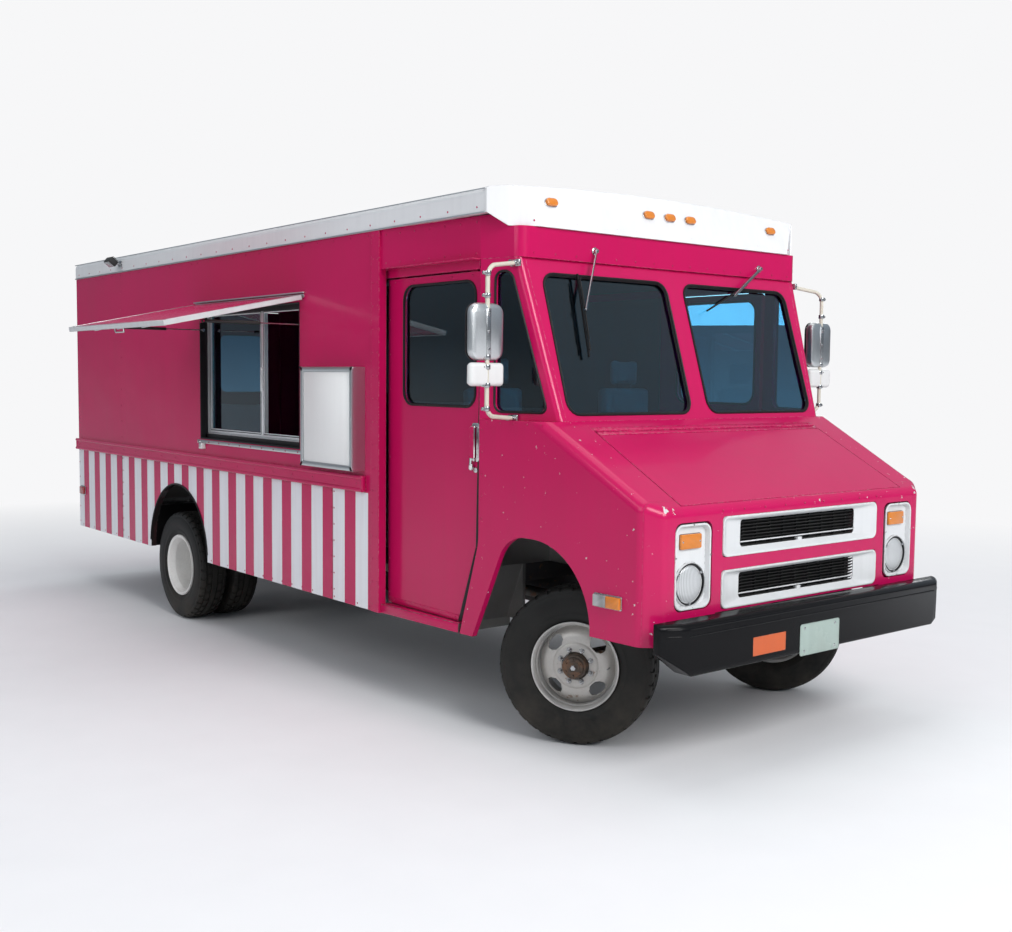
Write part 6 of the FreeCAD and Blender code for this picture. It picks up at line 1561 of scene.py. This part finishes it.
wheels = {"height": 0.395, "frontRight": 2.6586, "frontLeft": 2.5914, "frontY": 0.7997, "rearX": -1.363,
          "rearY": 0.9175, "steered": (0.559, 0.829)}  # steered: the way the front wheels' faces look


def buildTyre(name):
    # drawn about Z: grooved tread, shoulder, sidewall, bead
    half = [(0.3944, 0.0), (0.3943, 0.0180), (0.3862, 0.0186), (0.3862, 0.0262), (0.3940, 0.0268),
            (0.3931, 0.0575), (0.3855, 0.0581), (0.3855, 0.0655), (0.3924, 0.0661), (0.3890, 0.0830),
            (0.3838, 0.0915), (0.3750, 0.0968), (0.3640, 0.1000), (0.3600, 0.0992), (0.3570, 0.1008),
            (0.3380, 0.1040), (0.3100, 0.1062), (0.2850, 0.1052), (0.2660, 0.1020), (0.2620, 0.1032),
            (0.2570, 0.1018), (0.2420, 0.0965), (0.2290, 0.0892), (0.2200, 0.0842), (0.2132, 0.0830),
            (0.2128, 0.0790)]
    profile = [(radius, -along) for radius, along in reversed(half[1:])] + half
    steps = 144
    tyre = spun(name, profile + [profile[0]], steps)
    openMesh(tyre)

    def sunk(middle, normal):
        radius, along = math.hypot(middle.x, middle.y), abs(middle.z)
        sector = math.floor((math.atan2(middle.y, middle.x) / (2 * math.pi) + 1) * steps) % 4
        shoulder = radius > 0.374 and along > 0.0662 and sector == 0
        return shoulder or radius > 0.3925 and 0.027 < along < 0.057 and sector == 2

    chooseFaces(tyre, sunk)
    bpy.ops.mesh.extrude_region_shrink_fatten(TRANSFORM_OT_shrink_fatten={"value": -0.0065})
    closeMesh(tyre)
    return dressed(tyre, "tyreRubber")


def wheelTurn(centre, axis):
    axis = Vector(axis).normalized()
    return Matrix.Translation(spot(*centre)) @ axis.to_track_quat("Z", "Y").to_matrix().to_4x4()


def nutRing(count, radius, along, size, tall, word):
    nuts = []
    for number in range(count):
        angle = 2 * math.pi * (number + 0.5) / count
        at = (radius * math.cos(angle), radius * math.sin(angle), along)
        for name, profile, steps in (
                ("washer", [(0, 0.003), (size * 1.15, 0.003), (size * 1.30, 0.001), (size * 1.30, -0.001),
                            (0, -0.001)], 16),
                ("nut", [(0, tall), (size * 0.80, tall), (size, tall - 0.003), (size, 0.002),
                         (0, 0.002)], 6),
                ("stud", [(0, tall + 0.010), (size * 0.42, tall + 0.009), (size * 0.46, tall),
                          (0, tall - 0.001)], 10)):
            nuts.append(lathe(name, profile, at, up, steps))
    return joinAll("nuts", nuts, word)


def buildDisc():
    # dished wheel disc with four wide hand holes near the rim
    disc = spun("wheelDisc", [(0.1985, 0.0240), (0.1900, 0.0290), (0.1800, 0.0410), (0.1690, 0.0550),
                              (0.1560, 0.0650), (0.1400, 0.0700), (0.1260, 0.0700), (0.1150, 0.0710),
                              (0.1085, 0.0765), (0.1030, 0.0785), (0.0850, 0.0785), (0.0580, 0.0785)], 72)

    def hole(middle, normal):
        radius = math.hypot(middle.x, middle.y)
        turn = math.degrees(math.atan2(middle.y, middle.x)) % 90
        reach = 16 if 0.140 < radius < 0.170 else 11
        return 0.126 < radius < 0.181 and abs(turn - 45) < reach
    openMesh(disc)
    chooseFaces(disc, hole)
    bpy.ops.mesh.delete(type="FACE")
    bpy.ops.mesh.select_mode(type="VERT")
    chooseAll("DESELECT")
    bpy.ops.mesh.select_non_manifold(extend=False, use_wire=False, use_boundary=True,
                                     use_multi_face=False, use_non_contiguous=False, use_verts=False)
    bpy.ops.mesh.vertices_smooth(factor=0.5, repeat=3)
    faceOutwards()
    leaveMesh()
    thicken(disc, 0.006)
    return dressed(disc, "rimPaint")


def fitWheel(whole, name, centre, axis, body, *replaced):
    wheel = fit(copyOf(whole, name, wheelTurn(centre, axis)), body, None, 32)
    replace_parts(wheel, *replaced)


def buildFrontWheels():
    barrel = spun("barrel", [(0.2235, 0.0950), (0.2215, 0.0982), (0.2175, 0.0988), (0.2120, 0.0940),
                             (0.2055, 0.0830), (0.2040, 0.0660), (0.1985, 0.0600), (0.1970, 0.0200),
                             (0.1970, -0.0800), (0.2100, -0.0955), (0.2200, -0.0985), (0.2235, -0.0950),
                             (0.2215, -0.0900), (0.2124, -0.0800), (0.2080, -0.0700), (0.2050, 0.0),
                             (0.2080, 0.0600), (0.2124, 0.0800), (0.2215, 0.0900), (0.2235, 0.0950)], 72)
    hub = spun("hubCover", [(0.0, 0.1250), (0.030, 0.1248), (0.0330, 0.1225), (0.0455, 0.1215),
                            (0.0490, 0.1185), (0.0500, 0.1120), (0.0590, 0.1100), (0.0605, 0.1020),
                            (0.0612, 0.0860), (0.0640, 0.0815), (0.0645, 0.0600), (0.0700, -0.0600),
                            (0.0, -0.0600)], 48)
    cap = spun("hubNut", [(0, 0.1340), (0.0120, 0.1335), (0.0150, 0.1310), (0.0155, 0.1240),
                          (0, 0.1235)], 6)
    valve = stick("valve", (0.1700, 0.0, 0.0600), (0.1650, 0.0, 0.1050), 0.0035, 10)
    whole = joinAll("frontWheel", [
        buildTyre("frontTyre"), dressed(barrel, "rimEdge"), buildDisc(), dressed(hub, "hubRust"),
        dressed(cap, "bareSteel"), nutRing(6, 0.0400, 0.1212, 0.0040, 0.0045, "hubRust"),
        nutRing(8, 0.0825, 0.0790, 0.0110, 0.016, "bareSteel"), dressed(valve, "bareSteel")])
    ahead, aside = wheels["steered"]
    for side, way in (("Right", -1), ("Left", 1)):
        low = side.lower()
        place = (wheels["front" + side], way * wheels["frontY"], wheels["height"])
        fitWheel(whole, f"frontWheel{side}", place, (-way * ahead, way * aside, 0),
                 f"front_wheel_{low}", f"front_tyre_{low}", f"front_rim_{low}")
    bpy.data.objects.remove(whole)
    print("front wheels built")


def buildRearWheels():
    # drawn about Z, its zero midway between the two tyres of a side
    half = 0.1275  # from there to each tyre
    single = buildTyre("rearTyre")
    tyres = [copyOf(single, "rearTyre", Matrix.Translation((0, 0, along))) for along in (-half, half)]
    bpy.data.objects.remove(single)
    edge = lathe("rimEdge", [(0.2132, 0.0832), (0.2215, 0.0900), (0.2235, 0.0945), (0.2215, 0.0980),
                             (0.2175, 0.0985), (0.2120, 0.0935), (0.2060, 0.0850), (0.2040, 0.0780),
                             (0.2085, 0.0790), (0.2132, 0.0832)], (0, 0, half), up, 72)
    flange = spun("axleFlange", [(0, 0.0975), (0.022, 0.0975), (0.025, 0.0955), (0.0480, 0.0945),
                                 (0.0520, 0.0925), (0.0525, 0.0890), (0, 0.0890)], 40)
    valve = stick("valve", (0.168, 0.0, 0.060), (0.160, 0.0, 0.125), 0.0035, 10)
    whole = joinAll("rearWheels", tyres + [
        dressed(edge, "rearRimPaint"), dressed(flange, "hubRust"),
        nutRing(8, 0.0405, 0.0935, 0.0052, 0.006, "hubRust"),
        nutRing(8, 0.1050, 0.0165, 0.0130, 0.020, "hubRust"), dressed(valve, "bareSteel")])
    for side, way in (("Right", -1), ("Left", 1)):
        place = (wheels["rearX"], way * wheels["rearY"], wheels["height"])
        fitWheel(whole, f"rearWheels{side}", place, (0, way, 0),
                 f"rear_wheels_{side.lower()}", f"rear_tyres_{side.lower()}")
    bpy.data.objects.remove(whole)
    print("rear wheels built")


buildFrontWheels()
buildRearWheels()


# rear of the body

def rearSlab(name, low, high, depth, rounding=0.0, soft=0.001):  # low and high: y and z
    return slab(name, onEnd(rearX, low, high), (depth, 0, 0), rounding, soft)


def smallBolt(x, y, z):
    return boltHead(spot(x, y, z), backward, 10, 0.006, 0.005, 0.0052, 0.0075, 0.002)


rearDoor = {"hinges": (0.900, 1.500, 2.100), "press": ((-0.110, 0.700), (-0.640, 1.100)),
            "barX": -3.400, "barY": 0.066, "barFoot": 0.630, "barHead": 2.372,
            "guides": (0.680, 1.130, 1.370, 1.620, 2.320), "handle": 1.250}
grabRail = {"x": -3.434, "y": -0.985, "foot": 1.10, "head": 1.72}


def buildRearTrim():
    # strap hinges: a leaf on the door, a leaf on the jamb
    leaves, jambs = [], []
    for level in rearDoor["hinges"]:
        leaves.append(slab("leaf", [(rearX, -0.752, level - 0.035), (rearX, -0.600, level - 0.018),
                                    (rearX, -0.600, level + 0.018), (rearX, -0.752, level + 0.035)],
                           (-0.005, 0, 0), 0.004, 0.0015))
        leaves += [smallBolt(-3.3903, -across, level) for across in (0.725, 0.680, 0.630)]
        jambs.append(rearSlab("jambLeaf", (-0.768, level - 0.035), (-0.806, level + 0.035), -0.004, 0.003,
                              0.0012))
        jambs += [smallBolt(-3.3893, -0.789, level + rise) for rise in (-0.020, 0.020)]
    fitBoth(joinAll("hingeLeaves", leaves), "bareSteel", rearDoors)
    fitBoth(joinAll("jambLeaves", jambs), "bareSteel")
    # pressed panel below each window, proud frame
    panel = slab("doorPress", onEnd(-3.3852, *rearDoor["press"]), (-0.0035, 0, 0), 0.05, 0.0025, 0.020)
    fitBoth(panel, "bodyPaint", rearDoors)
    # the seal along the meeting edge
    fit(rearSlab("meetingSeal", (-0.003, 0.612), (-0.022, 2.388), -0.004), "rear_door_right", "sealRubber")
    # locking bars with guides and a swing handle
    barX, handle = rearDoor["barX"], rearDoor["handle"]
    for body, way, name in zip(rearDoors, (-1, 1), ("lockGearRight", "lockGearLeft")):
        y = way * rearDoor["barY"]
        ends = [spot(barX, y, rearDoor[end]) for end in ("barFoot", "barHead")]
        bits = [stick("lockBar", *ends, 0.008)]
        for level in rearDoor["guides"]:
            bits.append(rearSlab("guide", (y - 0.024, level - 0.013), (y + 0.024, level + 0.013), -0.004,
                                 0.003))
            bits.append(lathe("guideRing", [(0.0085, -0.011), (0.0125, -0.011), (0.0125, 0.011),
                                            (0.0085, 0.011), (0.0085, -0.011)], spot(barX, y, level), up, 16))
        bits.append(bent("swingHandle", spots([(barX, y, handle), (-3.424, y, handle),
                                               (-3.424, y + way * 0.150, 1.235)]), 0.0085, 0.012, 4, 3))
        bits.append(rearSlab("hasp", (y + way * 0.105, 1.205), (y + way * 0.150, 1.265), -0.006, 0.006,
                             0.002))
        fit(joinAll(name, bits), body, "bareSteel")
    # grab rails beside the doors, drip moulding over them
    out, y, foot, head = grabRail.values()
    grab = [bent("grabRail", spots([(-3.386, y, foot), (out, y, foot), (out, y, head), (-3.386, y, head)]),
                 0.012, 0.030, 5, 3)]
    grab += [lathe("grabFoot", [(0, 0), (0.026, 0), (0.026, 0.003), (0.016, 0.006), (0.016, 0.010),
                                (0, 0.010)], spot(rearX, y, z), backward, 20) for z in (foot, head)]
    fitBoth(joinAll("grabRail", grab), "chromeTrim")
    fixed(rearSlab("rearDrip", (-0.800, 2.425), (0.800, 2.433), -0.022, 0, 0.002), "brightAluminium")
    # number plate holder with its lamp, both bare
    holder = rearSlab("rearPlate", (0.870, 0.760), (1.060, 0.890), -0.004, 0.008, 0.0012)
    lamp = box("plateLamp", (-3.410, 0.930, 0.900), (-3.384, 1.000, 0.922), 0.005, 3)
    fixed(joinAll("rearPlate", [dressed(holder, "plateEnamel"), dressed(lamp, "chromeTrim")]))
    # rubber dock pads and tread ribs on the step
    pads = [box("dockPad", (-3.5345, y - 0.055, 0.492), (-3.520, y + 0.055, 0.553), 0.004, 3)
            for y in (-0.78, 0.78)]
    ribs = [box("treadRib", (x - 0.006, -0.74, 0.5585), (x + 0.006, 0.74, 0.5640), 0.002, 1)
            for x in (-3.505, -3.480, -3.455, -3.430, -3.405)]
    fixed(joinAll("dockPads", pads), "sealRubber")
    fixed(joinAll("stepRibs", ribs), "bareSteel")
    x = rearX + 0.0002
    rivetRow("truck_body", (x, -1.12, 0.62), (x, -1.12, 2.58), 0.14, backward, True)
    bodyRow((x, -1.12, 2.585), (x, 1.12, 2.585), 0.14, backward)
    rivetRow("truck_body", (x, -0.84, 0.62), (x, -0.84, 2.50), 0.134, backward, True)
    for body, way in zip(rearDoors, (-1, 1)):
        for z in (2.37, 0.635):
            rivetRow(body, (x, way * 0.10, z), (x, way * 0.73, z), 0.126, backward)
    print("rear trim built")


# rubber flaps behind the rear wheels, hung from a bolted strip under the floor

mudFlap = {"x": -1.905, "inner": -0.660, "outer": -1.118, "foot": 0.475, "strip": 0.790, "top": 0.850}


def buildMudFlaps():
    x, inner, outer = mudFlap["x"], mudFlap["inner"], mudFlap["outer"]

    def sheet(name, low, high, thick, rounding):
        return slab(name, onEnd(x, (inner, low), (outer, high)), (thick, 0, 0), rounding, 0.0015)
    steel = [sheet("flapStrip", mudFlap["strip"], mudFlap["top"] - 0.008, 0.006, 0.004)]
    steel += [boltHead(spot(x + 0.006, inner + (outer - inner) * share, 0.816), forward, 6, 0.007, 0.007,
                       0.006, 0.010, 0.003) for share in (0.1, 0.37, 0.63, 0.9)]
    rubber = sheet("flapRubber", mudFlap["foot"], mudFlap["top"], -0.008, 0.025)
    fitBoth(joinAll("mudFlap", [joinAll("flapSteel", steel, "bareSteel"), dressed(rubber, "sealRubber")]))
    print("mud flaps built")


buildRearTrim()
buildMudFlaps()


# inside: seats, dashboard, steering wheel

foam = {"inset": (0.007, 0.007, 0.006), "rounding": 0.030, "cell": 0.007, "pressure": 4.0,
        "stiffness": 8.0, "frames": 20, "smoothing": 4, "seam": 0.005}


def swell(pad, cap):
    # cloth pressure with the sewn lines held, never more than cap
    start = [v.co.copy() for v in pad.data.vertices]
    cloth = pad.modifiers.new("swell", "CLOTH")
    cloth.settings.quality = 6
    cloth.settings.use_pressure = True
    cloth.settings.uniform_pressure_force = foam["pressure"]
    cloth.settings.effector_weights.gravity = 0.0
    cloth.settings.vertex_group_mass = "sewn"
    cloth.settings.tension_stiffness = foam["stiffness"]
    cloth.settings.compression_stiffness = foam["stiffness"]
    scene = bpy.context.scene
    for number in range(1, foam["frames"] + 1):
        scene.frame_set(number)
    bpy.ops.object.modifier_apply(modifier="swell")
    scene.frame_set(1)
    for vertex, old in zip(pad.data.vertices, start):
        move = vertex.co - old
        if move.length > cap:
            vertex.co = old + move.normalized() * cap


def crowned(name, low, high, cap, pinned):
    # a foam cushion: remeshed, swelled, then smoothed
    inset = Vector(foam["inset"])
    pad = block(name, low + inset, high - inset, foam["rounding"], 4)
    pick(pad)
    pad.data.remesh_voxel_size = foam["cell"]
    pad.data.remesh_voxel_adaptivity = 0
    bpy.ops.object.voxel_remesh()
    held = pad.vertex_groups.new(name="sewn")
    held.add([v.index for v in pad.data.vertices if pinned(v.co)], 1.0, "REPLACE")
    swell(pad, cap)
    pick(pad)
    pad.modifiers.new("even", "SMOOTH").iterations = foam["smoothing"]
    bpy.ops.object.modifier_apply(modifier="even")
    pad.modifiers.new("finer", "SUBSURF").levels = 1
    bpy.ops.object.modifier_apply(modifier="finer")
    pad.vertex_groups.clear()
    return dressed(pad, "seatVinyl")


def nearSeam(value, places):
    return any(abs(value - place) < foam["seam"] for place in places)


sewnAcross = (0.395, 0.645)  # the two lengthwise seams
pedestal = {"x": 1.822, "y": 0.520, "foot": 0.905, "half": 0.112, "folds": 6, "pitch": 0.032}
cushions = [
    # name, two corners, most swell, the cross seams' axis and places, and the side that is sewn
    ("seatPad", (1.612, 0.305, 1.142), (2.008, 0.735, 1.268), 0.016, "x", (1.735, 1.865), "z", 1.19),
    ("seatBack", (1.552, 0.308, 1.262), (1.648, 0.732, 1.756), 0.014, "z", (1.40, 1.56), "x", 1.60),
    ("headRest", (1.562, 0.402, 1.762), (1.624, 0.638, 1.928), 0.010, "x", (), "z", 99),
]


def buildSeats():
    pads = []
    for name, low, high, cap, axis, places, facing, level in cushions:
        def sewn(co):
            y = co.y - middleY
            cross = nearSeam(getattr(co, axis), places) and sewnAcross[0] < y < sewnAcross[1]
            return (nearSeam(y, sewnAcross) or cross) and getattr(co, facing) > level
        pads.append(crowned(name, spot(*Vector(low)), spot(*Vector(high)), cap, sewn))
    piping = beadRound("padPiping", [(1.630, 0.320, 1.205), (1.990, 0.320, 1.205), (1.990, 0.720, 1.205),
                                     (1.630, 0.720, 1.205)], 0.030, 0.0045)
    frame = [box("seatPan", (1.640, 0.330, 1.118), (1.985, 0.710, 1.148), 0.008, 3),
             box("backPlate", (1.548, 0.335, 1.205), (1.556, 0.705, 1.730), 0.003, 3),
             box("seatBox", (1.690, 0.395, 0.8810), (1.955, 0.645, 0.912), 0.005)]
    frame += [stick("headPost", spot(1.595, y, 1.745), spot(1.595, y, 1.785), 0.006) for y in (0.460, 0.580)]
    frame += [bent("backArm", spots([(1.800, y, 1.135), (1.620, y, 1.135), (1.585, y, 1.225),
                                     (1.585, y, 1.420)]), 0.009, 0.035) for y in (0.322, 0.718)]
    frame += [box("slideRail", (1.660, y - 0.016, 1.098), (1.975, y + 0.016, 1.122), 0.004)
              for y in (0.400, 0.640)]
    # bellows pedestal
    folds = []
    x, y = pedestal["x"], pedestal["y"]
    for number in range(pedestal["folds"]):
        z = pedestal["foot"] + number * pedestal["pitch"]
        half = pedestal["half"] - 0.004 * number
        folds.append(box("fold", (x - half, y - half, z), (x + half, y + half, z + 0.030), 0.013, 3))
    pieces = []
    for pad in pads:
        other = copyOf(pad, pad.name + "Right", acrossTruck)
        pad.name += "Left"
        for cushion in (pad, other):
            fit(cushion, "truck_body", None, 60)
            pieces.append(cushion)
    hard = joinAll("seatFrame", [joinAll("seatSteel", frame, "cabPlastic"),
                                 joinAll("folds", folds, "sealRubber"), dressed(piping, "sealRubber")])
    twin = copyOf(hard, "seatFrameRight", acrossTruck)
    fixed(hard)
    fixed(twin)
    for piece in pieces:
        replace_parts(piece, "seats")
    print("seats built")


dials = {"x": 2.500, "z": 1.430, "knobZ": 1.375, "knobs": (0.66, 0.60, 0.54, 0.48, 0.42, 0.36),
         "places": ((0.640, 0.040), (0.540, 0.040), (0.450, 0.030), (0.380, 0.030))}  # across, radius
pedalPlaces = (0.640, 0.480, 0.360)


def buildCockpit():
    # steering wheel's horn pad; gauges, knobs, gear lever, pedals
    axis = Vector((-0.5, 0, 0.866)).normalized()
    horn = lathe("hornPad", [(0, 0.018), (0.030, 0.016), (0.050, 0.010), (0.055, 0.002), (0.055, -0.012),
                             (0, -0.012)], spot(2.250, 0.520, 1.335) + axis * 0.016, axis, 32)
    fixed(horn, "sealRubber")
    rings, faces, needles = [], [], []
    for across, size in dials["places"]:
        at = spot(dials["x"], across, dials["z"])
        rings.append(lathe("gaugeRing", [(size - 0.004, 0.004), (size, 0.006), (size + 0.004, 0.004),
                                         (size + 0.005, 0), (size - 0.004, 0), (size - 0.004, 0.004)],
                           at, backward, 28))
        faces.append(lathe("gaugeFace", [(0, 0.002), (size - 0.003, 0.002), (size - 0.003, 0), (0, 0)],
                           at, backward, 28))
        needles.append(block("needle", at + Vector((-0.0040, -0.001, -0.002)),
                             at + Vector((-0.0030, 0.001, size * 0.7)), 0.0004, 1))
    knobs = [lathe("knob", [(0, 0.016), (0.008, 0.015), (0.010, 0.010), (0.006, 0.004), (0.006, 0),
                            (0, 0)], spot(dials["x"], across, dials["knobZ"]), backward, 14)
             for across in dials["knobs"]]
    fixed(joinAll("gauges", [
        joinAll("rings", rings, "chromeTrim"), joinAll("faces", faces, "louvrePlastic"),
        joinAll("needles", needles, "amberLens"), joinAll("knobs", knobs, "sealRubber")]))
    foot = spot(2.150, 0.16, 1.258)
    lever = bent("gearStick", [foot, spot(2.130, 0.16, 1.36), spot(2.085, 0.16, 1.470)], 0.008, 0.04)
    ball = lathe("gearKnob", [(0, -0.024), (0.012, -0.022), (0.022, -0.010), (0.024, 0.002),
                              (0.018, 0.016), (0.008, 0.022), (0, 0.023)], spot(2.080, 0.16, 1.485),
                 (-0.3, 0, 1), 24)
    boot = lathe("boot", [(0, 0.050), (0.012, 0.050), (0.020, 0.040), (0.018, 0.034), (0.032, 0.024),
                          (0.030, 0.018), (0.048, 0.006), (0.055, 0), (0, 0)], foot, up, 28)
    fixed(joinAll("gearLever", [dressed(lever, "chromeTrim"),
                                joinAll("gearKnob", [ball, boot], "sealRubber")]))
    pedals = []
    for across in pedalPlaces:
        pedals.append(bent("pedalArm", spots([(2.636, across, 1.300), (2.560, across, 1.100),
                                              (2.500, across, 1.000)]), 0.006, 0.03, 3))
        pedals.append(box("pedal", (2.480, across - 0.035, 0.965), (2.496, across + 0.035, 1.035), 0.004))
    fixed(joinAll("pedals", pedals), "sealRubber")
    print("cockpit built")


buildSeats()
buildCockpit()

setRivets()


bpy.context.scene.view_settings.view_transform = "Standard"
aimCamera()
lightTruck()
layFloor()
